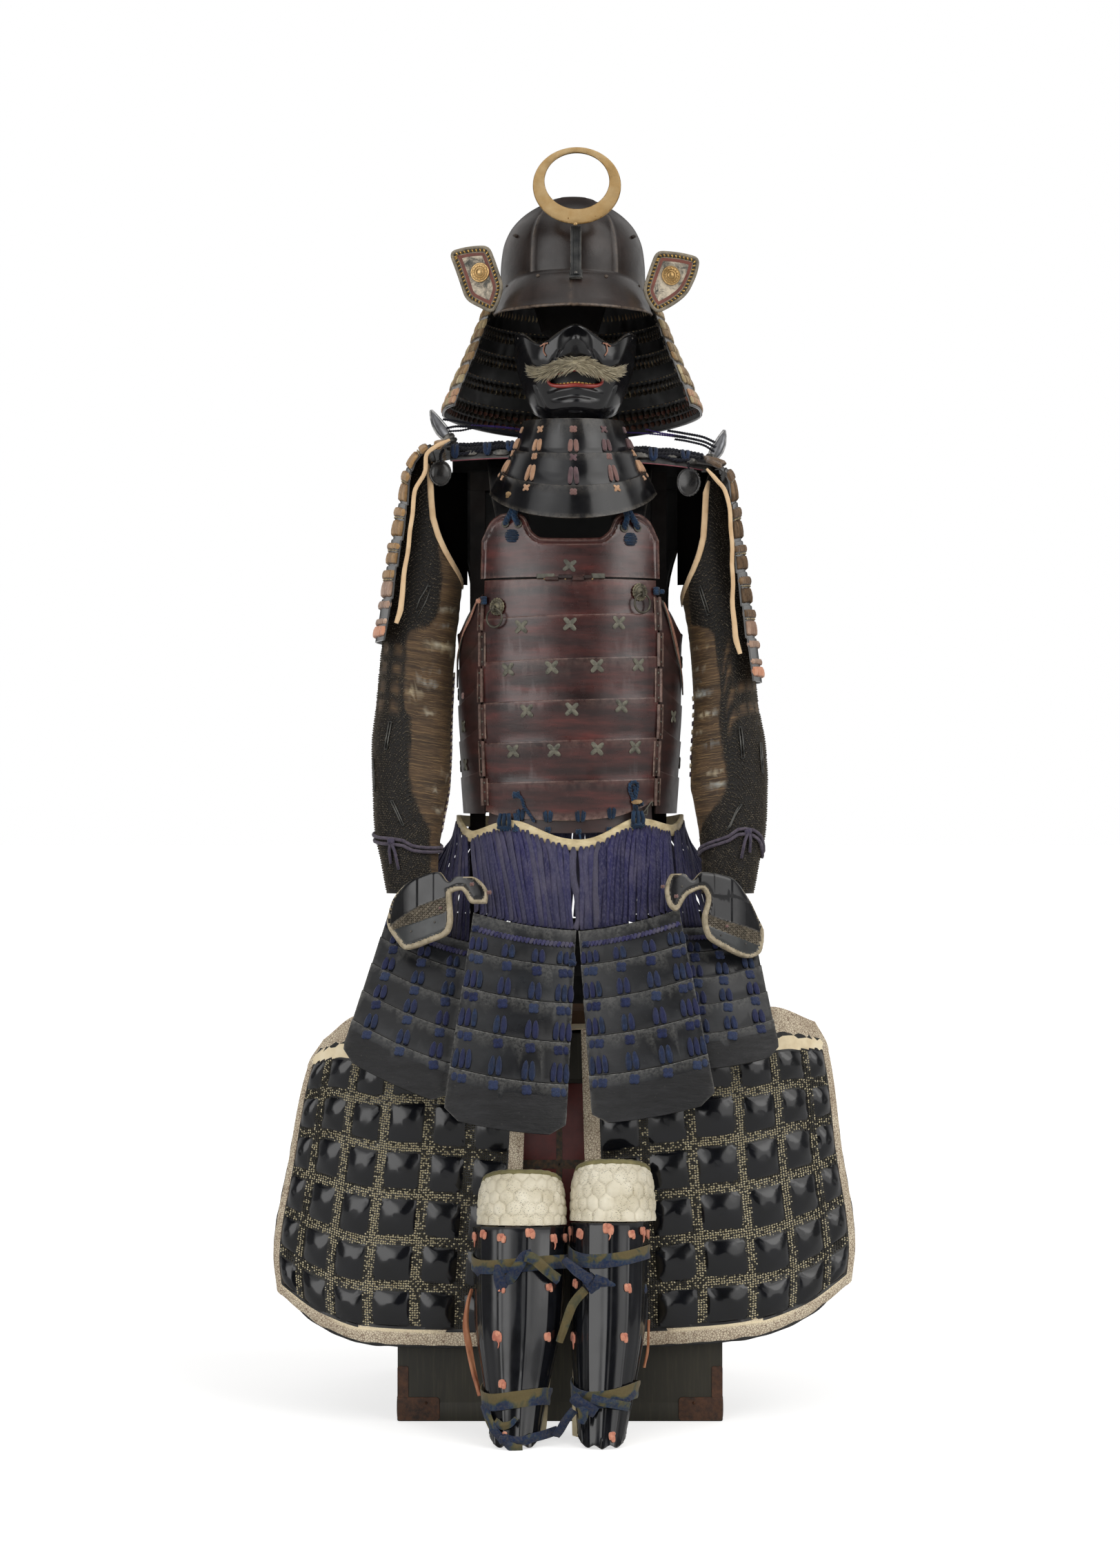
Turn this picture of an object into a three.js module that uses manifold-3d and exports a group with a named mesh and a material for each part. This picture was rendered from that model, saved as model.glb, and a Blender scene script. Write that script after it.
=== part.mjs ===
// Samurai armour set up on its wooden stand and its armour box.
// Units: millimetres, +Z up, the armour faces -Y, the wearer's right side is at -X.
// Every lame group, plate and cloth piece is a thin closed wall worked out from
// named sizes and small tables of sections.
import * as THREE from 'three';
import { mergeVertices } from 'three/addons/utils/BufferGeometryUtils.js';
import Module from 'manifold-3d';

const wasm = await Module();
wasm.setup();

// ---------------------------------------------------------------- sizes
const XC = 14;                 // centreline of the worn armour, which sits a little off the box's middle
const GAP = 0.3;               // clearance between neighbouring pieces

const BOX = { width: 436, depth: 400, height: 472, wall: 12, floor: 14 };
const LID = { width: 450, depth: 414, skirt: 62, top: 12, wall: 6, bottom: 458 };
const BOX_TOP = LID.bottom + LID.skirt;                 // 520

const STAND = { baseW: 330, baseD: 150, baseT: 20, postW: 21, postD: 34, postLeftX: -115, postRightX: 138,
  barW: 250, barD: 34, barH: 26, barZ: 1262, headPostW: 34, headPostD: 34 };

const LAME = { plate: 2.2, step: 2.0, seam: 1.2 };      // lame thickness, overlap step, height of the step
const CLOTH = { sleeve: 3, cord: 3, belt: 2.5, hemp: 2, tie: 2.2, thigh: 4 };

// ---------------------------------------------------------------- small helpers
const V = (x, y, z) => new THREE.Vector3(x, y, z);
const rad = THREE.MathUtils.degToRad;
const lerp = THREE.MathUtils.lerp;
const clamp = THREE.MathUtils.clamp;

// Monotone cubic through one column of a table, keyed by another column.
function curve(rows, key, col) {
  const xs = rows.map(r => r[key]), ys = rows.map(r => r[col]), n = xs.length;
  const h = [], d = [], m = new Array(n).fill(0);
  for (let i = 0; i < n - 1; i++) { h.push(xs[i + 1] - xs[i]); d.push((ys[i + 1] - ys[i]) / h[i]); }
  m[0] = d[0]; m[n - 1] = d[n - 2];
  for (let i = 1; i < n - 1; i++) {
    if (d[i - 1] * d[i] <= 0) { m[i] = 0; continue; }
    const w1 = 2 * h[i] + h[i - 1], w2 = h[i] + 2 * h[i - 1];
    m[i] = (w1 + w2) / (w1 / d[i - 1] + w2 / d[i]);
  }
  return x => {
    if (x <= xs[0]) return ys[0];
    if (x >= xs[n - 1]) return ys[n - 1];
    let i = 0; while (x > xs[i + 1]) i++;
    const t = (x - xs[i]) / h[i], t2 = t * t, t3 = t2 * t;
    return (2 * t3 - 3 * t2 + 1) * ys[i] + (t3 - 2 * t2 + t) * h[i] * m[i]
      + (-2 * t3 + 3 * t2) * ys[i + 1] + (t3 - t2) * h[i] * m[i + 1];
  };
}

const spread = (a, b, n) => Array.from({ length: n + 1 }, (_, i) => lerp(a, b, i / n));

// Signed power for superellipse sections.
const spow = (v, e) => Math.sign(v) * Math.pow(Math.abs(v), e);

// Closes a geometry: shared vertices merged, flat triangles dropped, faces turned outwards.
function closed(geometry) {
  let g = geometry.clone();
  g.deleteAttribute('normal'); g.deleteAttribute('uv');
  g = mergeVertices(g, 1e-3);
  const idx = g.index.array, pos = g.attributes.position, keep = [];
  let vol = 0;
  const a = V(), b = V(), c = V();
  for (let i = 0; i < idx.length; i += 3) {
    const [p, q, r] = [idx[i], idx[i + 1], idx[i + 2]];
    if (p === q || q === r || r === p) continue;
    keep.push(p, q, r);
    a.fromBufferAttribute(pos, p); b.fromBufferAttribute(pos, q); c.fromBufferAttribute(pos, r);
    vol += a.dot(b.cross(c));
  }
  if (vol < 0) for (let i = 0; i < keep.length; i += 3) [keep[i], keep[i + 1]] = [keep[i + 1], keep[i]];
  g.setIndex(keep);
  g.computeVertexNormals();
  return g;
}

// A wall of thickness t on the surface f(u, v). Its outer face lies off[v] proud of f,
// away from the direction that `inward` gives. rows: [{ v, off }]; cols: [u].
// wrap joins the last column to the first; skip(i, j) leaves a cell open.
function wall({ f, cols, rows, t, inward, wrap = false, skip = null, pole = false }) {
  const R = rows.length, C = cols.length, out = [], inn = [];
  const du = 1e-3 * (cols[C - 1] - cols[0] || 1), vMin = rows[0].v, vMax = rows[R - 1].v, dv = 1e-3 * (vMax - vMin);
  for (let i = 0; i < R; i++) {
    for (let j = 0; j < C; j++) {
      const u = cols[j], v = rows[i].v, off = rows[i].off || 0;
      const p = f(u, v);
      const uc = wrap ? [u - du, u + du] : [Math.max(u - du, cols[0]), Math.min(u + du, cols[C - 1])];
      const vc = [Math.max(v - dv, vMin), Math.min(v + dv, vMax)];
      const vn = pole && i === 0 ? vMin + 3 * dv : v;
      const n = f(uc[1], vn).sub(f(uc[0], vn)).cross(f(u, vc[1]).sub(f(u, vc[0]))).normalize();
      const dir = inward(p, u, v);
      if (n.dot(dir) > 0) n.negate();                 // n points out
      if (pole && i === 0) n.copy(dir).negate().normalize();
      const th = typeof t === 'function' ? t(u, v) : t;
      out.push(p.clone().addScaledVector(n, off));
      inn.push(p.clone().addScaledVector(n, off - th));
    }
  }
  const N = R * C, pos = [...out, ...inn], idx = [];
  const cell = (i, j) => i >= 0 && i < R - 1 && (wrap ? true : j >= 0 && j < C - 1)
    && !(skip && skip(i, wrap ? (j + C) % C : j));
  const id = (i, j) => i * C + (wrap ? (j + C) % C : j);
  const quad = (a, b, c, d) => idx.push(a, b, c, a, c, d);
  const jn = wrap ? C : C - 1;
  for (let i = 0; i < R - 1; i++) for (let j = 0; j < jn; j++) {
    if (!cell(i, j)) continue;
    const a = id(i, j), b = id(i, j + 1), c = id(i + 1, j + 1), d = id(i + 1, j);
    quad(a, b, c, d);
    quad(N + a, N + d, N + c, N + b);
    if (!cell(i - 1, j)) quad(b, a, N + a, N + b);
    if (!cell(i + 1, j)) quad(d, c, N + c, N + d);
    if (!cell(i, j - 1)) quad(a, d, N + d, N + a);
    if (!cell(i, j + 1)) quad(c, b, N + b, N + c);
  }
  const g = new THREE.BufferGeometry();
  g.setAttribute('position', new THREE.Float32BufferAttribute(pos.flatMap(p => [p.x, p.y, p.z]), 3));
  g.setIndex(idx);
  return closed(g);
}

// Rows of a laced or riveted group of lames: the top edge of each lame stands one step
// in front of the foot of the lame above. seams: parameters of the lames' top edges below the first.
function lames(v0, v1, seams, seamSize, step = LAME.step) {
  const rows = [{ v: v0, off: step }];
  for (const s of seams) rows.push({ v: s - seamSize, off: 0 }, { v: s, off: step });
  rows.push({ v: v1, off: 0 });
  return rows;
}

function toManifold(g) {
  const m = closed(g);
  return new wasm.Manifold(new wasm.Mesh({ numProp: 3,
    vertProperties: new Float32Array(m.attributes.position.array), triVerts: new Uint32Array(m.index.array) }));
}
function fromManifold(m) {
  const mesh = m.getMesh(), g = new THREE.BufferGeometry();
  g.setAttribute('position', new THREE.BufferAttribute(new Float32Array(mesh.vertProperties), 3));
  g.setIndex(Array.from(mesh.triVerts));
  return closed(g);
}
const union = (...gs) => fromManifold(gs.map(toManifold).reduce((a, b) => a.add(b)));
const cut = (a, ...bs) => fromManifold(bs.map(toManifold).reduce((m, b) => m.subtract(b), toManifold(a)));
const block = (w, d, h, x, y, z) => new THREE.BoxGeometry(w, d, h).translate(x, y, z + h / 2);

// A plate cut to an outline in the X-Z plane and bent in depth: y(x, z) gives its front face.
function bentPlate(outline, t, y) {
  const shape = new THREE.Shape(outline.map(p => new THREE.Vector2(p.x, p.z)));
  const g = new THREE.ExtrudeGeometry(shape, { depth: t, bevelEnabled: false, steps: 1 });
  const p = g.attributes.position;
  for (let i = 0; i < p.count; i++) {
    const x = p.getX(i), z = p.getY(i), d = p.getZ(i);
    p.setXYZ(i, x, y(x, z) + d, z);
  }
  return closed(g);
}

// ---------------------------------------------------------------- materials
const M = {
  lacquerBlack: { color: 0x17181a, roughness: 0.3, metalness: 0.1 },
  lacquerBrown: { color: 0x2b2422, roughness: 0.38, metalness: 0.1 },
  lacquerRed: { color: 0x46282a, roughness: 0.4, metalness: 0.1 },
  brass: { color: 0xb98d4b, roughness: 0.35, metalness: 0.9 },
  steel: { color: 0x3f3f42, roughness: 0.45, metalness: 0.8 },
  leather: { color: 0xcfc4ad, roughness: 0.8, metalness: 0 },
  hair: { color: 0xb9a888, roughness: 0.85, metalness: 0 },
  silk: { color: 0x4b3c2a, roughness: 0.75, metalness: 0 },
  tuft: { color: 0xb08a5e, roughness: 0.85, metalness: 0 },
  navy: { color: 0x22264a, roughness: 0.85, metalness: 0 },
  hemp: { color: 0xddd2b8, roughness: 0.9, metalness: 0 },
  wood: { color: 0x5b4330, roughness: 0.6, metalness: 0 },
  chest: { color: 0x26211c, roughness: 0.5, metalness: 0 },
};
const root = new THREE.Group();
function add(name, geometry, material, parent = root) {
  const mesh = new THREE.Mesh(geometry, new THREE.MeshStandardMaterial(material));
  mesh.name = name;
  parent.add(mesh);
  return mesh;
}

// ================================================================ armour box
{
  const b = BOX;
  add('box_body', cut(block(b.width, b.depth, b.height, 0, 0, 0),
    block(b.width - 2 * b.wall, b.depth - 2 * b.wall, b.height, 0, 0, b.floor)), M.chest);
  const l = LID;
  add('box_lid', cut(block(l.width, l.depth, l.skirt, 0, 0, l.bottom),
    block(l.width - 2 * l.wall, l.depth - 2 * l.wall, b.height - l.bottom + GAP, 0, 0, l.bottom - 0.01),
    block(b.width - 2 * b.wall, b.depth - 2 * b.wall, l.skirt - l.top, 0, 0, l.bottom)), M.chest);
}

// ================================================================ stand
{
  const s = STAND, z0 = BOX_TOP + GAP, cx = (s.postLeftX + s.postRightX) / 2;
  add('stand_base', block(s.baseW, s.baseD, s.baseT, cx, 0, z0), M.wood);
  const zp = z0 + s.baseT + GAP, hp = s.barZ - GAP - zp;
  add('stand_post_left', block(s.postW, s.postD, hp, s.postLeftX, 0, zp), M.wood);
  add('stand_post_right', block(s.postW, s.postD, hp, s.postRightX, 0, zp), M.wood);
  add('stand_shoulder_bar', block(s.postRightX - s.postLeftX + s.postW, s.barD, s.barH, cx, 0, s.barZ), M.wood);
  // head post with a rounded block that fills the middle of the helmet
  const profile = [[0, 1288.3 + 0], [17, 1288.3], [17, 1470], [40, 1486], [50, 1520], [50, 1580], [38, 1612], [0, 1622]]
    .map(([r, z]) => new THREE.Vector2(r, z));
  const g = new THREE.LatheGeometry(profile, 16).rotateX(Math.PI / 2).translate(XC, 12, 0);
  add('stand_head_post', closed(g), M.wood);
}

// ================================================================ helmet
const HELM = { x: 18, y: 0, halfW: 101, halfD: 118, rimZ: 1540, height: 132 };
const bowlProfile = [            // v: share of the way from the crown to the rim
  { v: 0.00, r: 0.00, h: 1.000 }, { v: 0.16, r: 0.28, h: 0.965 }, { v: 0.30, r: 0.51, h: 0.885 },
  { v: 0.44, r: 0.725, h: 0.770 }, { v: 0.58, r: 0.885, h: 0.620 }, { v: 0.72, r: 0.97, h: 0.440 },
  { v: 0.86, r: 1.00, h: 0.220 }, { v: 1.00, r: 1.005, h: 0.000 } ];
const bowlR = curve(bowlProfile, 'v', 'r'), bowlH = curve(bowlProfile, 'v', 'h');
const bowl = (u, v) => V(HELM.x + HELM.halfW * bowlR(v) * Math.sin(u), HELM.y - HELM.halfD * bowlR(v) * Math.cos(u),
  HELM.rimZ + HELM.height * bowlH(v));
add('helmet_bowl', wall({ f: bowl, cols: spread(0, 2 * Math.PI, 24).slice(0, 24), rows: bowlProfile.map(p => ({ v: p.v })),
  t: 2.5, inward: p => V(HELM.x - p.x, HELM.y - p.y, HELM.rimZ - 10 - p.z), wrap: true, pole: true }), M.lacquerBrown);

// visor: a brow plate from the bowl's front, sloping down and forward, pinched at both tips
const visorTable = [            // a: angle from the front in degrees; proud: reach in front of the bowl
  { a: 0, top: 1553, low: 1498, proud: 50 }, { a: 30, top: 1552, low: 1498, proud: 45 },
  { a: 48, top: 1548, low: 1499, proud: 41 }, { a: 64, top: 1538, low: 1500, proud: 31 },
  { a: 77, top: 1519, low: 1502, proud: 15 } ];
const vTop = curve(visorTable, 'a', 'top'), vLow = curve(visorTable, 'a', 'low'), vProud = curve(visorTable, 'a', 'proud');
const visor = (u, v) => {
  const a = Math.abs(u), sag = Math.sin(v * Math.PI) * 5;
  const proud = 4.2 + vProud(a) * v, z = lerp(vTop(a), vLow(a), Math.pow(v, 1.15)) + sag;
  return V(HELM.x + (HELM.halfW + proud * 0.55) * Math.sin(rad(u)), HELM.y - (HELM.halfD + proud) * Math.cos(rad(u)), z);
};
add('helmet_visor', wall({ f: visor, cols: spread(-77, 77, 16), rows: spread(0, 1, 4).map(v => ({ v })), t: 2.2,
  inward: (p) => V(HELM.x - p.x, HELM.y - p.y, -40) }), M.lacquerBrown);

// crest holder: strap up the front of the bowl with a foot on the visor
const holderPath = [ { s: 0, y: -147, z: 1543 }, { s: 0.25, y: -138, z: 1556 }, { s: 0.5, y: -134, z: 1574 },
  { s: 0.75, y: -131.5, z: 1592 }, { s: 1, y: -129.5, z: 1611 } ];
const holderY = curve(holderPath, 's', 'y'), holderZ = curve(holderPath, 's', 'z');
add('crest_holder', wall({ f: (u, v) => V(XC + 7.5 + u, holderY(v), holderZ(v)), cols: [-7.5, -3.5, 3.5, 7.5],
  rows: spread(0, 1, 5).map(v => ({ v })), t: 3, inward: () => V(0, 1, 0.2) }), M.steel);

// crest ring: a flat brass ring, its hole set high, leaning back
const CREST = { r: 60, hole: 44, holeUp: 7.2, t: 3, lean: 21, x: XC + 9, y: -130, z: 1666.3 };
{
  const shape = new THREE.Shape().absarc(0, 0, CREST.r, 0, Math.PI * 2);
  shape.holes.push(new THREE.Path().absarc(0, CREST.holeUp, CREST.hole, 0, Math.PI * 2, true));
  const g = new THREE.ExtrudeGeometry(shape, { depth: CREST.t, bevelEnabled: false, curveSegments: 20 });
  g.translate(0, 0, -CREST.t / 2).rotateX(Math.PI / 2 - rad(CREST.lean)).translate(CREST.x, CREST.y, CREST.z);
  add('crest_ring', closed(g), M.brass);
}

// turned-back wings at the two front ends of the neck guard
const wingLeft = [ { x: -152, z: 1585 }, { x: -126, z: 1591 }, { x: -98, z: 1591 }, { x: -90, z: 1570 }, { x: -78, z: 1534 },
  { x: -84, z: 1514 }, { x: -92, z: 1499 }, { x: -110, z: 1508 }, { x: -129, z: 1519 }, { x: -141, z: 1556 } ];
const wingRight = [ { x: 133, z: 1584 }, { x: 165, z: 1583 }, { x: 192, z: 1577 }, { x: 188, z: 1555 }, { x: 175, z: 1527 },
  { x: 155, z: 1511 }, { x: 133, z: 1499 }, { x: 122, z: 1511 }, { x: 114, z: 1529 }, { x: 124, z: 1560 } ];
add('wing_left', bentPlate(wingLeft, 4, (x, z) => -94 + (x + 78) * -0.28 - Math.pow((x + 115) / 40, 2) * 3), M.leather);
add('wing_right', bentPlate(wingRight, 4, (x, z) => -94 + (x - 114) * 0.28 - Math.pow((x - 153) / 40, 2) * 3), M.leather);

// neck guard: five lames that flare from the rim of the bowl, open at the front
const NECK = { x: 17, y: 20, end: 128, flare: 0.42, topZ: 1537, lowZ: 1356 };
const neckTable = [ { v: 0, w: 114, back: 120, front: 78, z: 1537 }, { v: 0.25, w: 130, back: 133, front: 98, z: 1493 },
  { v: 0.5, w: 146, back: 147, front: 114, z: 1448 }, { v: 0.75, w: 165, back: 163, front: 130, z: 1402 },
  { v: 1, w: 182, back: 180, front: 146, z: 1356 } ];
const nW = curve(neckTable, 'v', 'w'), nB = curve(neckTable, 'v', 'back'), nF = curve(neckTable, 'v', 'front'), nZ = curve(neckTable, 'v', 'z');
const neck = (u, v) => {        // u: degrees from the nape
  const s = Math.sin(rad(u)), c = Math.cos(rad(u));
  const y = c > 0 ? nB(v) * c : nF(v) * c * 1.0;
  const w = c > 0 ? s : spow(s, 0.45);
  return V(NECK.x + nW(v) * w, NECK.y + y, nZ(v) + v * (15 * s * s + (c < 0 ? -c * 16 : 0)));
};
add('neck_guard', wall({ f: neck, cols: spread(-NECK.end, NECK.end, 18), rows: lames(0, 1, [0.2, 0.4, 0.6, 0.8], 0.012),
  t: LAME.plate, inward: p => V(NECK.x - p.x, NECK.y - p.y, 0) }), M.lacquerBlack);

// ================================================================ mask
// A calm lower-face mask on plain proportions: cheeks, nose, open mouth and chin.
const MASK = { x: XC + 7, y: -38, halfW: 84, depth: 92, top: 1474, low: 1346 };
const mask = (u, v) => {        // u: degrees from the front, v: 0 cheek line .. 1 under the chin
  const a = Math.abs(u);
  const taper = 1 - 0.30 * Math.pow(v, 2.2);
  const chin = 9 * Math.exp(-Math.pow(u / 20, 2)) * Math.exp(-Math.pow((v - 0.80) / 0.12, 2));
  const nose = 24 * Math.exp(-Math.pow(u / 10.5, 2)) * Math.exp(-Math.pow((v - 0.17) / 0.15, 2));
  const cheek = 6 * Math.exp(-Math.pow((a - 38) / 16, 2)) * Math.exp(-Math.pow((v - 0.22) / 0.18, 2));
  const under = -20 * Math.pow(clamp((v - 0.84) / 0.16, 0, 1), 1.4) * Math.cos(rad(Math.min(a, 90)));
  const d = chin + nose + cheek + under;
  const x = MASK.halfW * taper * Math.sin(rad(u)), y = -(MASK.depth * (1 - 0.12 * v)) * Math.cos(rad(u));
  const zTop = MASK.top - 20 * Math.exp(-Math.pow((a - 34) / 17, 2)) + 4 * Math.exp(-Math.pow(u / 9, 2));
  const zLow = MASK.low + 26 * Math.pow(a / 95, 2);
  return V(MASK.x + x + d * Math.sin(rad(u)) * 0.7, MASK.y + y - d * Math.cos(rad(u)), lerp(zTop, zLow, v));
};
{
  const cols = [-95, -78, -62, -49, -38, -28, -18, -9, 0, 9, 18, 28, 38, 49, 62, 78, 95];
  const rows = [0, 0.11, 0.22, 0.34, 0.46, 0.54, 0.62, 0.72, 0.82, 0.91, 1].map(v => ({ v }));
  // the mouth opening: the cells between the lips
  const skip = (i, j) => rows[i].v > 0.45 && rows[i + 1].v < 0.63 && Math.abs((cols[j] + cols[j + 1]) / 2) < 27;
  add('mask_face', wall({ f: mask, cols, rows, t: 2.5, inward: p => V(MASK.x - p.x, MASK.y - p.y, 0), skip }), M.lacquerBlack);
}
// moustache: the reach of the horsehair, two lobes over the upper lip
{
  const f = (u, v) => {
    const a = Math.abs(u) / 40, face = mask(u, 0.37);
    const h = 9 * Math.pow(Math.max(1 - a * a, 0), 0.5) * (1 - 0.35 * Math.exp(-Math.pow(u / 6, 2))) + 0.6;
    return V(face.x, face.y, face.z - 2 - 3 * a * a + (0.5 - v) * 2 * h);
  };
  add('mask_moustache', wall({ f: (u, v) => { const p = f(u, v), r = rad(u); return V(p.x + 12 * Math.sin(r), p.y - 12 * Math.cos(r), p.z); },
    cols: spread(-39, 39, 12), rows: spread(0, 1, 2).map(v => ({ v })), t: 7, inward: p => V(MASK.x - p.x, MASK.y - p.y, 0) }), M.hair);
}

// throat guard: three lames hanging from the chin, flaring over the chest
const throatTable = [ { v: 0, w: 68, d: 84, z: 1350, rise: 4 }, { v: 0.36, w: 84, d: 97, z: 1301, rise: 16 },
  { v: 0.68, w: 101, d: 111, z: 1256, rise: 34 }, { v: 1, w: 118, d: 126, z: 1211, rise: 52 } ];
const tW = curve(throatTable, 'v', 'w'), tD = curve(throatTable, 'v', 'd'), tZ = curve(throatTable, 'v', 'z'), tR = curve(throatTable, 'v', 'rise');
const THROAT = { x: XC + 4, y: -46, end: 78 };
const throat = (u, v) => V(THROAT.x + tW(v) * Math.sin(rad(u)), THROAT.y - tD(v) * Math.cos(rad(u)),
  tZ(v) + tR(v) * (1 - Math.cos(rad(u))));
add('throat_guard', wall({ f: throat, cols: spread(-THROAT.end, THROAT.end, 12), rows: lames(0, 1, [0.36, 0.68], 0.012),
  t: LAME.plate, inward: p => V(THROAT.x - p.x, THROAT.y - p.y, 0) }), M.lacquerBlack);

// ================================================================ cuirass
// Sections of the trunk: half width, front depth, back depth; a slightly squared oval.
const TRUNK_N = 2.3;
const trunkTable = [ { z: 806, w: 149, front: 137, back: 128 }, { z: 860, w: 151, front: 143, back: 133 },
  { z: 960, w: 155, front: 150, back: 140 }, { z: 1060, w: 155, front: 150, back: 144 }, { z: 1133, w: 151, front: 143, back: 146 },
  { z: 1180, w: 150, front: 134, back: 146 }, { z: 1226, w: 150, front: 122, back: 143 }, { z: 1340, w: 150, front: 110, back: 128 } ];
const trW = curve(trunkTable, 'z', 'w'), trF = curve(trunkTable, 'z', 'front'), trB = curve(trunkTable, 'z', 'back');
const trunk = (u, z) => {       // u: degrees from the front, towards +X
  const e = 2 / TRUNK_N, s = spow(Math.sin(rad(u)), e), c = spow(Math.cos(rad(u)), e);
  return V(XC + trW(z) * s, c > 0 ? -trF(z) * c : -trB(z) * c, z);
};
const toAxis = p => V(XC - p.x, -p.y, 0);
const FRONT_ANGLE = 47.6;         // hinge line between the front plate and the side plates
const frontSeams = [1082, 1023, 967, 912, 857];
// front plate: six riveted lames over a turned-out foot
{
  const f = (u, v) => { const p = trunk(u, v); return p; };
  add('front_plate', wall({ f, cols: spread(-FRONT_ANGLE, FRONT_ANGLE, 10),
    rows: lames(1131, 806, frontSeams, -1.2, 1.6), t: 2.5, inward: toAxis }), M.lacquerRed);
}
// chest plate: above the front plate, neck scoop and rounded shoulders
const chestTop = [ { a: 0, z: 1186 }, { a: 12, z: 1187 }, { a: 17, z: 1196 }, { a: 21, z: 1216 }, { a: 26, z: 1223 },
  { a: 34, z: 1222 }, { a: 42, z: 1214 }, { a: 51, z: 1186 } ];
const chestZ = curve(chestTop, 'a', 'z');
{
  const cols = [-51, -46, -40, -33, -26, -21, -17, -12, -6, 0, 6, 12, 17, 21, 26, 33, 40, 46, 51];
  const f = (u, v) => trunk(u, lerp(chestZ(Math.abs(u)), 1133.5, v));
  add('chest_plate', wall({ f, cols, rows: spread(0, 1, 5).map(v => ({ v, off: 1.6 })), t: 2.5, inward: toAxis }), M.lacquerRed);
}
// side plates with the lower curve of the armhole
const sideTop = [ { a: 49.2, z: 1112 }, { a: 62, z: 1082 }, { a: 80, z: 1062 }, { a: 98, z: 1066 }, { a: 118, z: 1104 } ];
const sideZ = curve(sideTop, 'a', 'z');
for (const [name, s] of [['side_plate_left', -1], ['side_plate_right', 1]]) {
  const f = (u, v) => trunk(s * u, lerp(sideZ(u), 812, v));
  add(name, wall({ f, cols: spread(49.2, 118, 7), rows: lames(0, 1, [0.2, 0.4, 0.6, 0.8], 0.004, 1.6), t: 2.5, inward: toAxis }), M.lacquerRed);
}
// back plate: tall, broad at the shoulder blades
const backTable = [ { v: 0, reach: 70, wide: 1.0, z: 812 }, { v: 0.35, reach: 60.5, wide: 1.0, z: 995 }, { v: 0.6, reach: 60.5, wide: 1.04, z: 1120 },
  { v: 0.8, reach: 66, wide: 1.26, z: 1228 }, { v: 0.93, reach: 62, wide: 1.38, z: 1300 }, { v: 1, reach: 54, wide: 1.40, z: 1330 } ];
{
  const wide = curve(backTable, 'v', 'wide'), zz = curve(backTable, 'v', 'z');
  const half = curve([ { v: 0, h: 60 }, { v: 0.55, h: 60 }, { v: 0.72, h: 60 }, { v: 0.88, h: 54 }, { v: 1, h: 47 } ], 'v', 'h');
  const f = (u, v) => { const p = trunk(180 + u * half(v), zz(v)); p.x = XC + (p.x - XC) * wide(v); return p; };
  add('back_plate', wall({ f, cols: spread(-1, 1, 11), rows: lames(0, 1, [0.18, 0.36, 0.54, 0.72, 0.88], 0.004, 1.6),
    t: 2.5, inward: toAxis }), M.lacquerBlack);
}
// shoulder straps from the back plate over the bar to the chest plate
const strapPath = [ { s: 0, y: 104, z: 1296, x: 86 }, { s: 0.25, y: 66, z: 1310, x: 90 }, { s: 0.5, y: 4, z: 1306, x: 92 },
  { s: 0.75, y: -54, z: 1262, x: 88 }, { s: 0.9, y: -82, z: 1222, x: 80 }, { s: 1, y: -92, z: 1202, x: 78 } ];
const stX = curve(strapPath, 's', 'x'), stY = curve(strapPath, 's', 'y'), stZ = curve(strapPath, 's', 'z');
for (const [name, s] of [['shoulder_strap_left', -1], ['shoulder_strap_right', 1]]) {
  const f = (u, v) => V(XC + s * (stX(v) + u), stY(v), stZ(v));
  add(name, wall({ f, cols: [-23, -12, 0, 12, 23], rows: spread(0, 1, 10).map(v => ({ v })), t: 5, inward: () => V(0, 0.5, -1) }), M.leather);
}

// ring fittings: a round base riveted to the front plate, its staple, and a swinging ring
const RING = { r: 12.6, wire: 1.5, baseR: 12, baseT: 2.5, stand: 4.6, hole: 2.3, loop: 1.3 };
const ringPlace = [ { side: 'left', px: -84, z: 1094 }, { side: 'right', px: 107, z: 1114 } ];
for (const r of ringPlace) {
  let lo = -46, hi = 46;
  for (let k = 0; k < 50; k++) { const m = (lo + hi) / 2; if (trunk(m, r.z).x < r.px) lo = m; else hi = m; }
  const p = trunk(lo, r.z), q = trunk(lo + 0.5, r.z).sub(trunk(lo - 0.5, r.z)).normalize();
  const turn = Math.atan2(q.y, q.x);
  const hold = new THREE.Group();
  // stands 2.4 mm off the section so that it clears the lame's step
  const n = V(q.y, -q.x, 0);
  hold.position.copy(p.clone().addScaledVector(n, 2.4)); hold.rotation.z = turn;
  root.add(hold);
  const disc = new THREE.CylinderGeometry(RING.baseR, RING.baseR, RING.baseT, 14).translate(0, -RING.baseT / 2, 0);
  const boss = new THREE.CylinderGeometry(5, 7, 1.6, 10).rotateX(Math.PI).translate(0, -RING.baseT - 0.7, 0);
  const staple = new THREE.TorusGeometry(RING.hole + RING.loop, RING.loop, 6, 12).rotateY(Math.PI / 2)
    .translate(0, -RING.baseT - RING.stand, -3);
  add('ring_base_' + r.side, union(disc, boss, staple), M.steel, hold);
  const ring = new THREE.TorusGeometry(RING.r, RING.wire, 6, 20).rotateX(Math.PI / 2)
    .translate(0, -RING.baseT - RING.stand, -3 - RING.r);
  add('ring_' + r.side, closed(ring), M.steel, hold);
}

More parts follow.
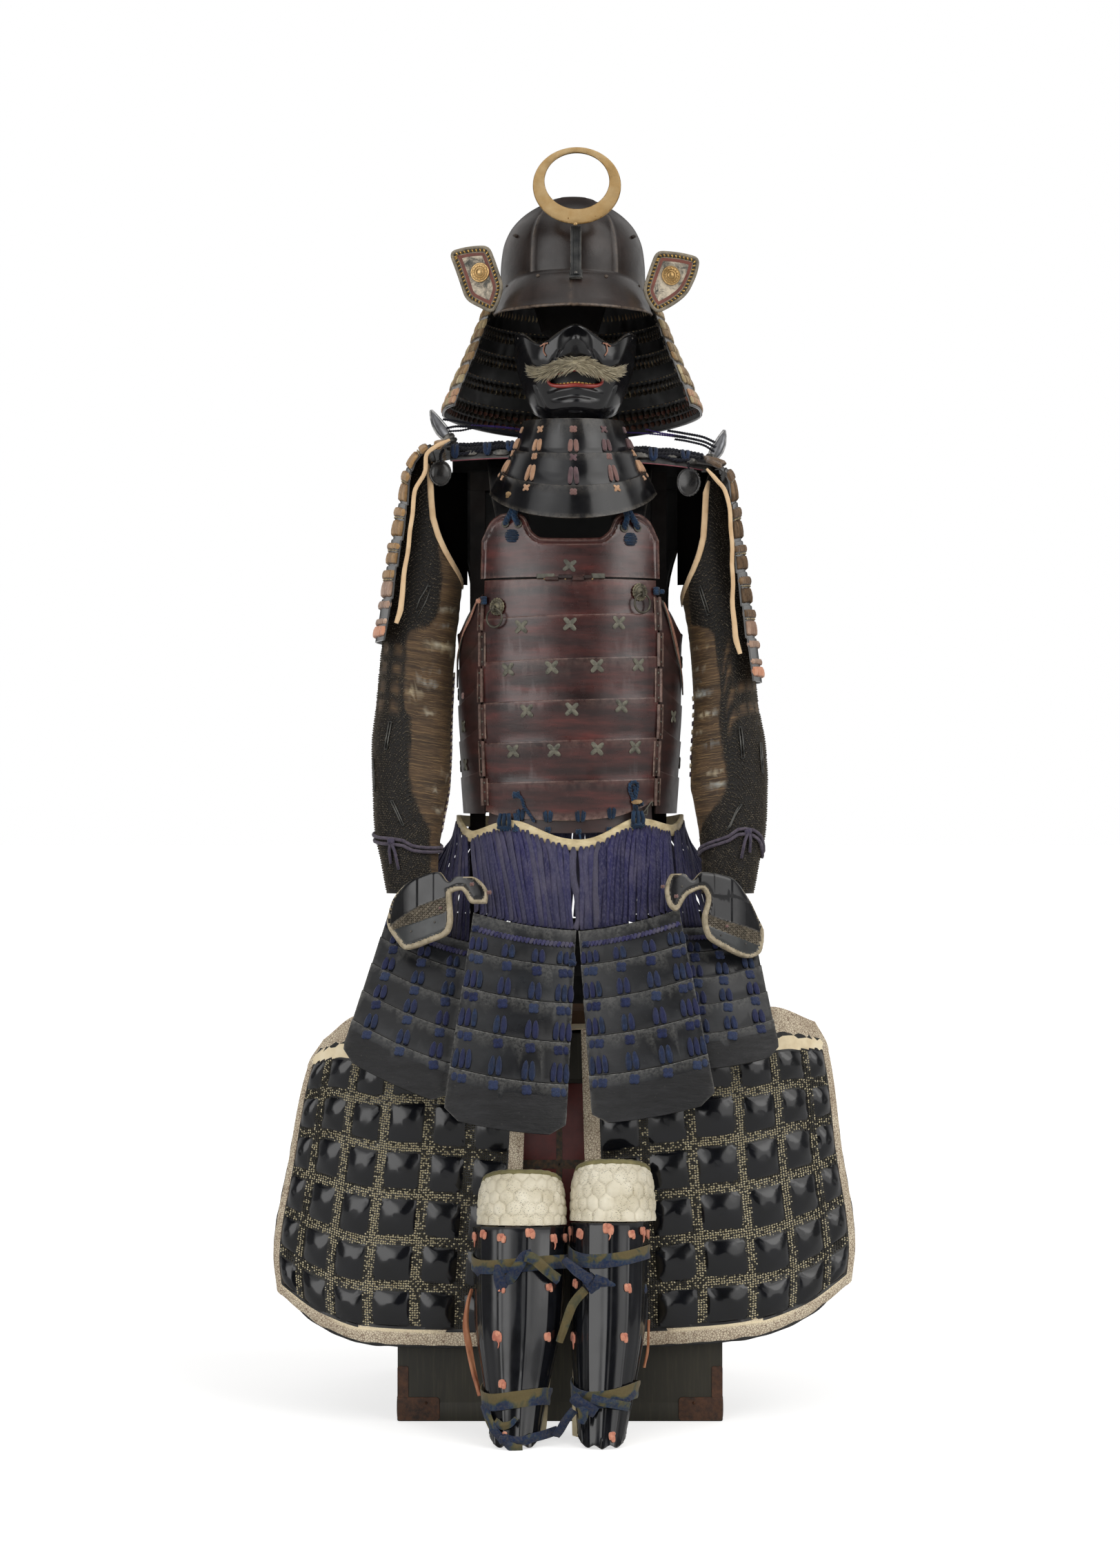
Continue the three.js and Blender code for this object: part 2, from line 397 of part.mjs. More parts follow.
// ================================================================ sleeves
// Sections of the left sleeve; the right one mirrors it about the centreline.
const sleeveTable = [            // z from the shoulder down; centre offset from the centreline, depth, radii
  { z: 697, cx: 214, cy: -118, rx: 34, ry: 31 }, { z: 743, cx: 219, cy: -104, rx: 38, ry: 35 }, { z: 787, cx: 222, cy: -88, rx: 45, ry: 40 },
  { z: 852, cx: 219, cy: -68, rx: 52, ry: 45 }, { z: 907, cx: 219, cy: -53, rx: 54, ry: 48 }, { z: 962, cx: 216, cy: -38, rx: 52, ry: 50 },
  { z: 1049, cx: 210, cy: -24, rx: 51, ry: 52 }, { z: 1128, cx: 202, cy: -14, rx: 51, ry: 54 }, { z: 1211, cx: 192, cy: -8, rx: 47, ry: 54 },
  { z: 1272, cx: 187, cy: -4, rx: 37, ry: 50 }, { z: 1300, cx: 184, cy: -2, rx: 31, ry: 44 }, { z: 1320, cx: 180, cy: 0, rx: 22, ry: 34 } ];
const slX = curve(sleeveTable, 'z', 'cx'), slY = curve(sleeveTable, 'z', 'cy'), slRx = curve(sleeveTable, 'z', 'rx'), slRy = curve(sleeveTable, 'z', 'ry');
const sleeveCut = [ { a: 0, z: 1316 }, { a: 55, z: 1310 }, { a: 82, z: 1282 }, { a: 97, z: 1218 }, { a: 130, z: 1166 }, { a: 180, z: 1128 } ];
const slCut = curve(sleeveCut, 'a', 'z');
const sleeve = s => (u, v) => {  // u: degrees from the outside, positive to the front
  const a = Math.abs(((u + 180) % 360 + 360) % 360 - 180);
  const z = lerp(slCut(a) - (s > 0 ? 24 : 0), 704, v), c = Math.cos(rad(u)), d = Math.sin(rad(u));
  const tuck = s > 0 ? 8 * clamp((z - 1060) / 80, 0, 1) : 0;    // the right arm hangs slimmer and a little closer in
  const slim = s > 0 ? 8 * clamp((z - 860) / 100, 0, 1) * clamp((1340 - z) / 120, 0.3, 1) : 0;
  return V(XC + s * (slX(z) - tuck + (slRx(z) - slim) * c), slY(z) - slRy(z) * d, z);
};
for (const [name, s] of [['sleeve_left', -1], ['sleeve_right', 1]]) {
  add(name, wall({ f: sleeve(s), cols: spread(0, 360, 16).slice(0, 16), rows: spread(0, 1, s < 0 ? 13 : 10).map(v => ({ v })), t: CLOTH.sleeve,
    inward: p => V(XC + s * slX(p.z) - p.x, slY(p.z) - p.y, 0), wrap: true }), M.silk);
}

// hand guards: a curved plate over the back of the hand with a thumb lobe
const handLeft = [ { x: -163, z: 735 }, { x: -149, z: 722 }, { x: -138, z: 729 }, { x: -118, z: 729 }, { x: -96, z: 706 }, { x: -98, z: 693 },
  { x: -117, z: 693 }, { x: -133, z: 711 }, { x: -146, z: 706 }, { x: -144, z: 672 }, { x: -148, z: 655 }, { x: -175, z: 640 },
  { x: -207, z: 630 }, { x: -222, z: 644 }, { x: -233, z: 664 }, { x: -228, z: 690 }, { x: -214, z: 712 }, { x: -190, z: 728 } ];
const handRight = [ { x: 191, z: 735 }, { x: 177, z: 724 }, { x: 165, z: 733 }, { x: 150, z: 733 }, { x: 140, z: 710 }, { x: 145, z: 690 },
  { x: 154, z: 683 }, { x: 172, z: 705 }, { x: 190, z: 712 }, { x: 197, z: 700 }, { x: 191, z: 672 }, { x: 197, z: 648 },
  { x: 216, z: 634 }, { x: 256, z: 618 }, { x: 272, z: 626 }, { x: 276, z: 650 }, { x: 266, z: 675 }, { x: 252, z: 702 }, { x: 228, z: 728 } ];
const handSection = [ { x: 80, y: -214 }, { x: 140, y: -209 }, { x: 175, y: -197 }, { x: 215, y: -178 }, { x: 265, y: -140 } ];
const handY = curve(handSection, 'x', 'y');
const handDepth = (x, z) => handY(Math.abs(x - XC)) - (735 - z) * 0.08;
add('hand_guard_left', bentPlate(handLeft, 4, handDepth), M.lacquerBlack);
add('hand_guard_right', bentPlate(handRight, 4, handDepth), M.lacquerBlack);

// ================================================================ shoulder guards
// A wall of seven lames that curls in over the shoulder and hangs outside the sleeve.
const sodeTable = { left: [ { v: 0, x: 158, z: 1330 }, { v: 0.10, x: 190, z: 1324 }, { v: 0.22, x: 217, z: 1300 }, { v: 0.42, x: 232, z: 1240 },
    { v: 0.66, x: 248, z: 1155 }, { v: 0.85, x: 257, z: 1095 }, { v: 1, x: 266, z: 1050 } ],
  right: [ { v: 0, x: 168, z: 1307 }, { v: 0.10, x: 197, z: 1302 }, { v: 0.22, x: 219, z: 1279 }, { v: 0.42, x: 230, z: 1213 },
    { v: 0.66, x: 243, z: 1120 }, { v: 0.85, x: 253, z: 1049 }, { v: 1, x: 262, z: 994 } ] };
for (const [side, s] of [['left', -1], ['right', 1]]) {
  const sx = curve(sodeTable[side], 'v', 'x'), sz = curve(sodeTable[side], 'v', 'z');
  const f = (u, v) => V(XC + s * (sx(v) + 6 - 16 * u * u * Math.min(1, v * 2)), -3 - 4 * v - 92 * u * (1 - 0.12 * (1 - v)), sz(v) - 14 * u * u * (1 - v));
  add('shoulder_guard_' + side, wall({ f, cols: spread(-1, 1, 8), rows: lames(0, 1, [1 / 7, 2 / 7, 3 / 7, 4 / 7, 5 / 7, 6 / 7], 0.006, 1.8),
    t: 2.4, inward: () => V(-s, 0, -0.6) }), M.tuft);
}

// ================================================================ skirt
// leather band round the waist, rising and dipping where the tassets pull on it
const bandWave = [ { a: -180, z: 800 }, { a: -120, z: 801 }, { a: -86, z: 803 }, { a: -58, z: 782 }, { a: -27, z: 797 }, { a: 3, z: 771 },
  { a: 33, z: 800 }, { a: 62, z: 790 }, { a: 90, z: 804 }, { a: 130, z: 799 }, { a: 180, z: 800 } ];
const bandZ = curve(bandWave, 'a', 'z');
const BAND = { height: 15, out: 9 };
const waist = (u, z, out) => { const p = trunk(u, 806), n = V(p.x - XC, p.y, 0).normalize(); p.addScaledVector(n, out); p.z = z; return p; };
add('waist_band', wall({ f: (u, v) => waist(u, bandZ(u > 180 ? u - 360 : u) + 6 - BAND.height * v, BAND.out), cols: spread(-180, 180, 32).slice(0, 32),
  rows: [{ v: 0 }, { v: 1 }], t: 3, inward: toAxis, wrap: true }), M.leather);

// Tassets: four corners, depth at head and foot, outward bow, and the lames' seams.
const tassetTable = [
  { name: 'tasset_front_left', tl: [-115.5, 680], tr: [21, 656.5], bl: [-153.6, 417], br: [7, 394], yt: [-195, -197], yb: [-298, -300], bow: 11, lamesN: 5 },
  { name: 'tasset_front_right', tl: [25.5, 655.5], tr: [159, 685], bl: [42.5, 408.5], br: [205, 437.5], yt: [-197, -195], yb: [-300, -298], bow: 11, lamesN: 5 },
  { name: 'tasset_side_left', tl: [-233, 677], tr: [-121, 638], bl: [-291, 493], br: [-152, 433], yt: [-102, -156], yb: [-242, -284], bow: 12, lamesN: 5 },
  { name: 'tasset_side_right', tl: [161, 658], tr: [259, 670], bl: [174, 477], br: [292, 496], yt: [-156, -104], yb: [-266, -244], bow: 12, lamesN: 5 },
  { name: 'tasset_back_left', tl: [-80, 662], tr: [-222, 676], bl: [-92, 430], br: [-272, 462], yt: [194, 152], yb: [288, 238], bow: -12, lamesN: 5 },
  { name: 'tasset_back_centre', tl: [100, 660], tr: [-72, 660], bl: [112, 425], br: [-84, 425], yt: [200, 200], yb: [296, 296], bow: -10, lamesN: 5 },
  { name: 'tasset_back_right', tl: [250, 676], tr: [108, 662], bl: [300, 462], br: [120, 430], yt: [152, 194], yb: [238, 288], bow: -12, lamesN: 5 } ];
const tassetSeams = [0.18, 0.363, 0.554, 0.757];
const tassetFace = t => (u, v) => V(lerp(lerp(t.tl[0], t.tr[0], u), lerp(t.bl[0], t.br[0], u), v),
  lerp(lerp(t.yt[0], t.yt[1], u), lerp(t.yb[0], t.yb[1], u), v) - t.bow * (1 - Math.pow(2 * u - 1, 2)),
  lerp(lerp(t.tl[1], t.tr[1], u), lerp(t.bl[1], t.br[1], u), v) - 4 * (1 - Math.pow(2 * u - 1, 2)));
for (const t of tassetTable) add(t.name, wall({ f: tassetFace(t), cols: spread(0, 1, 6), rows: lames(0, 1, tassetSeams, 0.008, LAME.step),
  t: LAME.plate, inward: () => V(0, Math.sign(t.bow), 0.2) }), M.lacquerBlack);

// Suspension cords: each curtain runs from the band's foot to the heads of its tassets.
function curtain(name, a0, a1, head, n) {
  const f = (u, v) => {
    const a = lerp(a0, a1, u), top = waist(a, bandZ(a) - 12, BAND.out - 0.8), low = head(u);
    const p = top.lerp(low, v);
    return p;
  };
  add(name, wall({ f, cols: spread(0, 1, n), rows: spread(0, 1, 3).map(v => ({ v })), t: CLOTH.cord, inward: toAxis }), M.navy);
}
const headOf = (name) => { const t = tassetTable.find(q => q.name === name), f = tassetFace(t);
  return u => f(u, 0).add(V(0, 0, 4)); };
{
  const l = headOf('tasset_front_left'), r = headOf('tasset_front_right');
  curtain('waist_cords_front', -56, 58, u => (u < 0.5 ? l(u * 2 * 0.985 + 0.01) : r((u - 0.5) * 2 * 0.985 + 0.005)), 12);
  const sl = headOf('tasset_side_left'), sr = headOf('tasset_side_right');
  curtain('waist_cords_left', -112, -60, u => sl(u * 0.97 + 0.015), 6);
  curtain('waist_cords_right', 62, 112, u => sr(u * 0.97 + 0.015), 6);
  const bl = headOf('tasset_back_left'), bc = headOf('tasset_back_centre'), br = headOf('tasset_back_right');
  curtain('waist_cords_back', 118, 242, u => (u < 1 / 3 ? br(u * 3 * 0.98 + 0.01) : u < 2 / 3 ? bc((u - 1 / 3) * 3) : bl((u - 2 / 3) * 3 * 0.98 + 0.01)), 15);
}

// ================================================================ thigh guards
// Two stiff aprons that fall over the front edge of the box and stand out past its sides.
const thighTable = {             // v down the panel: inner edge, outer edge, and the foot's and head's lines in columns below
  left: { inner: [ { v: 0, x: -42 }, { v: 0.35, x: -48 }, { v: 1, x: -60 } ],
    outer: [ { v: 0, x: -318 }, { v: 0.10, x: -340 }, { v: 0.5, x: -369 }, { v: 0.86, x: -389 }, { v: 1, x: -383 } ],
    head: [ { u: 0, z: 526 }, { u: 0.5, z: 530 }, { u: 0.82, z: 543 }, { u: 1, z: 508 } ],
    foot: [ { u: 0, z: 104 }, { u: 0.6, z: 108 }, { u: 0.8, z: 125 }, { u: 1, z: 166 } ] },
  right: { inner: [ { v: 0, x: 28 }, { v: 0.35, x: 32 }, { v: 1, x: 42 } ],
    outer: [ { v: 0, x: 345 }, { v: 0.10, x: 364 }, { v: 0.5, x: 384 }, { v: 0.86, x: 402 }, { v: 1, x: 396 } ],
    head: [ { u: 0, z: 526 }, { u: 0.5, z: 540 }, { u: 0.8, z: 554 }, { u: 1, z: 530 } ],
    foot: [ { u: 0, z: 102 }, { u: 0.6, z: 116 }, { u: 0.8, z: 135 }, { u: 1, z: 178 } ] } };
const THIGH = { frontY: -(LID.depth / 2 + 9), sweep: 132 };
const thigh = side => {
  const t = thighTable[side], xi = curve(t.inner, 'v', 'x'), xo = curve(t.outer, 'v', 'x'), zh = curve(t.head, 'u', 'z'), zf = curve(t.foot, 'u', 'z');
  return (u, v) => {
    const x = lerp(xi(v), xo(v), u), a = Math.max(Math.abs(x) - 190, 0) / 200;
    const y = THIGH.frontY - 9 * Math.sin(v * Math.PI * 0.6) + THIGH.sweep * a * a * (1 - 0.35 * v);
    return V(x, y, lerp(zh(u), zf(u), v));
  };
};
for (const side of ['left', 'right']) add('thigh_guard_' + side, wall({ f: thigh(side), cols: spread(0, 1, 11),
  rows: spread(0, 1, 9).map(v => ({ v })), t: CLOTH.thigh, inward: () => V(0, 1, 0) }), M.leather);
// cloth belt of the thigh guards, laid over the lid's front edge
{
  const path = [ { s: 0, y: -128, z: 525.5 }, { s: 0.45, y: -168, z: 525.2 }, { s: 0.8, y: -196, z: 525 }, { s: 1, y: -207, z: 525.6 } ];
  const py = curve(path, 's', 'y'), pz = curve(path, 's', 'z');
  add('thigh_guard_belt', wall({ f: (u, v) => V(u, py(v), pz(v) + 1.2 * Math.sin(u * 0.05)), cols: spread(-205, 215, 8), rows: spread(0, 1, 4).map(v => ({ v })),
    t: CLOTH.belt, inward: () => V(0, 0.15, -1) }), M.hemp);
}

// ================================================================ shins
// Half tubes that stand on the floor and lean back on the thigh guards.
const shinTable = {
  left: [ { v: 0, x: -52.5, y: -268, w: 61, d: 56, z: 277 }, { v: 0.45, x: -54, y: -301, w: 57, d: 52, z: 160 },
    { v: 0.8, x: -57, y: -328, w: 41, d: 40, z: 60 }, { v: 1, x: -58.5, y: -350, w: 32, d: 34, z: 0.4 } ],
  right: [ { v: 0, x: 65, y: -268, w: 51, d: 54, z: 282 }, { v: 0.45, x: 63, y: -301, w: 49, d: 50, z: 163 },
    { v: 0.8, x: 58, y: -328, w: 39, d: 40, z: 62 }, { v: 1, x: 54, y: -350, w: 30.5, d: 34, z: 0.4 } ] };
const shin = (side, out = 0) => {
  const t = shinTable[side], [x, y, w, d, z] = ['x', 'y', 'w', 'd', 'z'].map(c => curve(t, 'v', c));
  return (u, v) => {
    const s = Math.sin(rad(u)), c = Math.cos(rad(u));
    return V(x(v) + (w(v) + out) * spow(s, 0.9), y(v) - (d(v) + out) * c, z(v));
  };
};
for (const side of ['left', 'right']) {
  const f = shin(side);
  const top = curve([ { a: 0, z: 0 }, { a: 50, z: -2 }, { a: 92, z: -8 } ], 'a', 'z');
  // the foot is scalloped: the middle ridge reaches the floor and the flanks are cut up
  const foot = curve([ { a: 0, z: 0 }, { a: 18, z: 5 }, { a: 34, z: 1 }, { a: 60, z: 7 }, { a: 92, z: 14 } ], 'a', 'z');
  const g = (u, v) => { const p = f(u, v), a = Math.abs(u); p.z += top(a) * (1 - v) + foot(a) * v * v; return p; };
  add('shin_guard_' + side, wall({ f: g, cols: spread(-92, 92, 12), rows: spread(0, 1, 6).map(v => ({ v })), t: 2.2,
    inward: p => V(shinTable[side][0].x - p.x, 1, 0).normalize() }), M.lacquerBlack);
  // hemp backing inside the guard, wrapped further round the calf
  const h = shin(side, -5.4);
  const spill = curve([ { v: 0, s: 0 }, { v: 0.5, s: 1 }, { v: 0.84, s: 1.5 }, { v: 0.93, s: 9 }, { v: 1, s: 12 } ], 'v', 's');
  const inner = side === 'left' ? 1 : -1;
  const hemp = (u, v) => { const p = h(u, v), back = clamp((Math.abs(u) - 90) / 60, 0, 1);
    p.x += inner * spill(v) * clamp((u * inner - 96) / 14, 0, 1) * 1.0; p.z += 1 + 9 * v * back; return p; };
  add('shin_cloth_' + side, wall({ f: hemp, cols: [-150, -130, -110, -97, -75, -50, -25, 0, 25, 50, 75, 97, 110, 130, 150],
    rows: spread(0.04, 0.985, 5).map(v => ({ v })), t: CLOTH.hemp,
    inward: p => V(shinTable[side][0].x - p.x, curve(shinTable[side].slice().reverse().map(r => ({ z: r.z, y: r.y })), 'z', 'y')(p.z) - p.y, 0) }), M.hemp);
  // cloth ties wound round the guard: an upper and a lower band
  for (const [level, v0, tall] of [['upper', side === 'left' ? 0.19 : 0.17, 19], ['lower', side === 'left' ? 0.80 : 0.79, 20]]) {
    const q = shin(side, level === 'lower' ? 4.8 : 3.6), len = shinTable[side][0].z;
    const band = (u, v) => {
      const a = ((u + 180) % 360 + 360) % 360 - 180, lift = 4 * Math.sin(rad(a * 2 + (side === 'left' ? 30 : -30)));
      const w = v0 + ((v - 0.5) * tall - lift) / len, p = q(a, w), mid = lerp(q(90, w).y, q(-90, w).y, 0.5);
      if (p.y > mid) p.y = mid + (p.y - mid) * 0.88;       // drawn flatter behind the calf
      return p;
    };
    add('shin_tie_' + level + '_' + side, wall({ f: band, cols: spread(0, 360, 20).slice(0, 20), rows: [{ v: 0 }, { v: 1 }], t: CLOTH.tie,
      inward: p => { const c = q(90, v0).add(q(-90, v0)).multiplyScalar(0.5); return V(c.x - p.x, c.y - p.y, 0); }, wrap: true }), M.navy);
  }
  // knee pad: quilted cloth standing above the guard and leaning back
  const k = shinTable[side][0];
  const knee = (u, v) => { const q = 1 - v, c = Math.cos(rad(u)), s = Math.sin(rad(u));
    const topZ = (side === 'left' ? 344 : 357) - 24 * Math.pow(Math.abs(u) / 88, 2.4), z = lerp(k.z + 1.5 - 6 * Math.pow(u / 88, 2), topZ, q);
    return V(k.x + (side === 'left' ? 2 : 4.5) + (k.w + (side === 'left' ? -2.5 : 5) - 5 * Math.pow(q, 3)) * spow(s, 0.9), k.y + 4 + 26 * q - (k.d + 2 - 8 * q * q) * c, z); };
  add('knee_pad_' + side, wall({ f: knee, cols: spread(-88, 88, 10), rows: spread(0, 1, 4).map(v => ({ v })), t: 7,
    inward: p => V(k.x - p.x, k.y + 20 - p.y, 0) }), M.hemp);
}

// The part stands on its box: origin under the middle of its bounding box.
root.updateMatrixWorld(true);
const bounds = new THREE.Box3().setFromObject(root);
const OFFSET = V(-(bounds.min.x + bounds.max.x) / 2, -(bounds.min.y + bounds.max.y) / 2, -bounds.min.z);
root.position.copy(OFFSET);
export default root;
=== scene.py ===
import math
import bpy
import numpy as np
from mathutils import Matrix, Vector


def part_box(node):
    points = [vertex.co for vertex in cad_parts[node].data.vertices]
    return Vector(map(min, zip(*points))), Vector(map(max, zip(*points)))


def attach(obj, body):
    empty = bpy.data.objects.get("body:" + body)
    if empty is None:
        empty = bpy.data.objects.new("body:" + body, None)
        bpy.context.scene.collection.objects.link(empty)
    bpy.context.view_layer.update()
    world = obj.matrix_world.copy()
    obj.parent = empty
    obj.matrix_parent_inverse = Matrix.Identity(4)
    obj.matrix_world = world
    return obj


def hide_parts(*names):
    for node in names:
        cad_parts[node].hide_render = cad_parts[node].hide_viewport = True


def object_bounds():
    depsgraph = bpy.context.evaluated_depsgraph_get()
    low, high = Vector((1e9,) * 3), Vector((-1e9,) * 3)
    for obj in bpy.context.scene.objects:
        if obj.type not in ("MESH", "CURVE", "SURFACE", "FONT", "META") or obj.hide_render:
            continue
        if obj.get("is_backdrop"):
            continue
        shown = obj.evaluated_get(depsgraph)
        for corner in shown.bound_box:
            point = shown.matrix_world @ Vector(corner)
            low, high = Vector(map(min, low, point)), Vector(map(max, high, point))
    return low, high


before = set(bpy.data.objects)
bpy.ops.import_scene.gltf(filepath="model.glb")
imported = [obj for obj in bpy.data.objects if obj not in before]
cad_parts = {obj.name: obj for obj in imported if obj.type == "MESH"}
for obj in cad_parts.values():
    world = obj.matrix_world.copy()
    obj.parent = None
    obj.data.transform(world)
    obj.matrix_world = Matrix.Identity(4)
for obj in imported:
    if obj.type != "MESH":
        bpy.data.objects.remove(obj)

CAD_BOX = [[float(c) for c in p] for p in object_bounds()]
_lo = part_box("box_body")[0]
OFF = np.array([_lo[0] * 1000 + 218.0, _lo[1] * 1000 + 200.0, _lo[2] * 1000])
BODY = "armour"
XC = 14.0
rng = np.random.default_rng(7)
rad = np.radians


def to_m(p):
    return (np.asarray(p, float) + OFF) / 1000.0


# ------------------------------------------------------------ camera
cam_data = bpy.data.cameras.new("camera")
cam_data.sensor_fit = "VERTICAL"
cam_data.sensor_height = 36.0
cam_data.sensor_width = 36.0
cam_data.lens = 36.0 * 4667.0 / 2273.0
cam_data.clip_end = 200
cam = bpy.data.objects.new("camera", cam_data)
cam.location = to_m((0, -4507.0, 852.7))
cam.rotation_euler = (math.pi / 2, 0, 0)
bpy.context.scene.collection.objects.link(cam)
bpy.context.scene.camera = cam


# ------------------------------------------------------------ tables and surfaces
def pchip(xs, ys):
    xs, ys = np.array(xs, float), np.array(ys, float)
    n, h = len(xs), np.diff(xs)
    d = np.diff(ys) / h
    m = np.zeros(n)
    m[0], m[-1] = d[0], d[-1]
    for i in range(1, n - 1):
        if d[i - 1] * d[i] > 0:
            w1, w2 = 2 * h[i] + h[i - 1], h[i] + 2 * h[i - 1]
            m[i] = (w1 + w2) / (w1 / d[i - 1] + w2 / d[i])

    def f(x):
        x = np.clip(np.asarray(x, float), xs[0], xs[-1])
        i = np.clip(np.searchsorted(xs, x, side="right") - 1, 0, n - 2)
        t = (x - xs[i]) / h[i]
        t2, t3 = t * t, t * t * t
        return (2 * t3 - 3 * t2 + 1) * ys[i] + (t3 - 2 * t2 + t) * h[i] * m[i] + (-2 * t3 + 3 * t2) * ys[i + 1] + (t3 - t2) * h[i] * m[i + 1]

    return f


def table(cols, *rows):
    """Curves through a table: the first column is the key of all the others."""
    cols = cols.split()
    rows = sorted(rows)
    xs = [r[0] for r in rows]
    return {c: pchip(xs, [r[i] for r in rows]) for i, c in enumerate(cols) if i}


def lerp(a, b, t):
    return a + (b - a) * t


def clamp(x, a=0.0, b=1.0):
    return np.clip(x, a, b)


def smooth(x, a=0.0, b=1.0):
    t = np.clip((x - a) / (b - a), 0, 1)
    return t * t * (3 - 2 * t)


def spow(v, e):
    return np.sign(v) * np.abs(v) ** e


def vec(x, y, z):
    return np.stack(np.broadcast_arrays(np.asarray(x, float), y, z), -1)


def unit(a):
    return a / np.maximum(np.linalg.norm(a, axis=-1, keepdims=True), 1e-12)


def gauss(x, w):
    return np.exp(-((x / w) ** 2))


def hash01(*k):
    """A repeatable share from 0 to 1 for whole numbers."""
    s = np.zeros_like(np.asarray(k[0], float))
    for i, a in enumerate(k):
        s = s + np.asarray(a, float) * (12.9898 + 65.233 * i)
    return np.abs(np.modf(np.sin(s) * 43758.5453)[0])


def noise2(x, y, seed=0):
    """Smooth value noise from -1 to 1."""
    xi, yi = np.floor(x), np.floor(y)
    fx, fy = x - xi, y - yi
    fx, fy = fx * fx * (3 - 2 * fx), fy * fy * (3 - 2 * fy)
    c = lambda i, j: hash01(xi + i, yi + j, seed + 0 * xi)
    return 2 * lerp(lerp(c(0, 0), c(1, 0), fx), lerp(c(0, 1), c(1, 1), fx), fy) - 1


def fbm(x, y, seed=0, octaves=4):
    s, a = 0, 0.5
    for k in range(octaves):
        s = s + a * noise2(x * 2**k, y * 2**k, seed + 17 * k)
        a *= 0.5
    return s


def frames(f, u, v, inward, du=1e-3, dv=1e-3):
    """Points, outward normals and unit tangents of a surface f(u, v)."""
    P = f(u, v)
    Tu = f(u + du, v) - f(u - du, v)
    Tv = f(u, v + dv) - f(u, v - dv)
    N = unit(np.cross(Tu, Tv))
    d = inward(P)
    N = np.where((N * d).sum(-1, keepdims=True) > 0, -N, N)
    return P, N, unit(Tu), unit(Tv)


# ------------------------------------------------------------ mesh building
class Bag:
    """Collects vertices and faces in millimetres and builds one piece from them."""

    def __init__(self):
        self.v, self.q, self.t, self.qm, self.tm, self.a, self.s, self.n = [], [], [], [], [], [], [], 0

    def add(self, V, F, mat=0, mask=None, suv=None):
        V = np.asarray(V, float).reshape(-1, 3)
        F = np.asarray(F, int)
        n = len(V)
        self.v.append(V)
        A = np.zeros((n, 3))
        if mask is not None:
            A[:] = np.asarray(mask, float).reshape(-1, 3) if np.ndim(mask) > 1 or np.size(mask) == 3 else np.asarray(mask, float).reshape(-1, 1) * [1, 0, 0]
        S = np.zeros((n, 3))
        if suv is not None:
            sv = np.asarray(suv, float).reshape(n, -1)
            S[:, : sv.shape[1]] = sv
        self.a.append(A)
        self.s.append(S)
        if len(F):
            (self.q if F.shape[1] == 4 else self.t).append(F + self.n)
            (self.qm if F.shape[1] == 4 else self.tm).append(np.broadcast_to(np.asarray(mat), (len(F),)))
        self.n += n
        return self.n - n

    def faces(self, F, mat=0):
        """More faces on vertices that are already in, by their own numbers."""
        F = np.asarray(F, int)
        (self.q if F.shape[1] == 4 else self.t).append(F)
        (self.qm if F.shape[1] == 4 else self.tm).append(np.full(len(F), mat))

    def build(self, name, mats, replaces=(), body=BODY, sharp=38):
        V = to_m(np.concatenate(self.v)).astype(np.float32)
        q = np.concatenate(self.q) if self.q else np.zeros((0, 4), int)
        t = np.concatenate(self.t) if self.t else np.zeros((0, 3), int)
        m = np.concatenate([x for x in self.qm + self.tm]) if (self.qm or self.tm) else np.zeros(0, int)
        me = bpy.data.meshes.new(name)
        me.vertices.add(len(V))
        me.vertices.foreach_set("co", V.ravel())
        loops = np.concatenate([q.ravel(), t.ravel()]).astype(np.int32)
        me.loops.add(len(loops))
        me.loops.foreach_set("vertex_index", loops)
        starts = np.concatenate([np.arange(len(q)) * 4, len(q) * 4 + np.arange(len(t)) * 3]).astype(np.int32)
        me.polygons.add(len(starts))
        me.polygons.foreach_set("loop_start", starts)
        me.polygons.foreach_set("material_index", m.astype(np.int32))
        me.polygons.foreach_set("use_smooth", np.ones(len(starts), bool))
        for nm, arr in (("mask", self.a), ("suv", self.s)):
            at = me.attributes.new(nm, "FLOAT_VECTOR", "POINT")
            at.data.foreach_set("vector", np.concatenate(arr).astype(np.float32).ravel())
        me.update(calc_edges=True)
        me.validate(clean_customdata=False)
        for k in mats if isinstance(mats, (list, tuple)) else [mats]:
            me.materials.append(k)
        ob = bpy.data.objects.new(name, me)
        bpy.context.scene.collection.objects.link(ob)
        ratio = next((r_ for key, r_ in THINNED if key in name), 0.62)
        count = len(q) * 2 + len(t)
        if ratio < 1 and count > 7000:                                        # flat stretches lose their spare triangles
            md = ob.modifiers.new("thin", "DECIMATE")
            md.ratio = ratio
            md.use_collapse_triangulate = True
            thin = bpy.data.meshes.new_from_object(ob.evaluated_get(bpy.context.evaluated_depsgraph_get()))
            ob.modifiers.clear()
            ob.data = thin
            thin.name = name
            bpy.data.meshes.remove(me)
            me = thin
            me.polygons.foreach_set("use_smooth", np.ones(len(me.polygons), bool))
            me.update()
            count = sum(len(p_.vertices) - 2 for p_ in me.polygons)
        if sharp:
            me.set_sharp_from_angle(angle=math.radians(sharp))
        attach(ob, body)
        if replaces:
            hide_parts(*([replaces] if isinstance(replaces, str) else replaces))
        PIECES.append((name, count))
        return ob


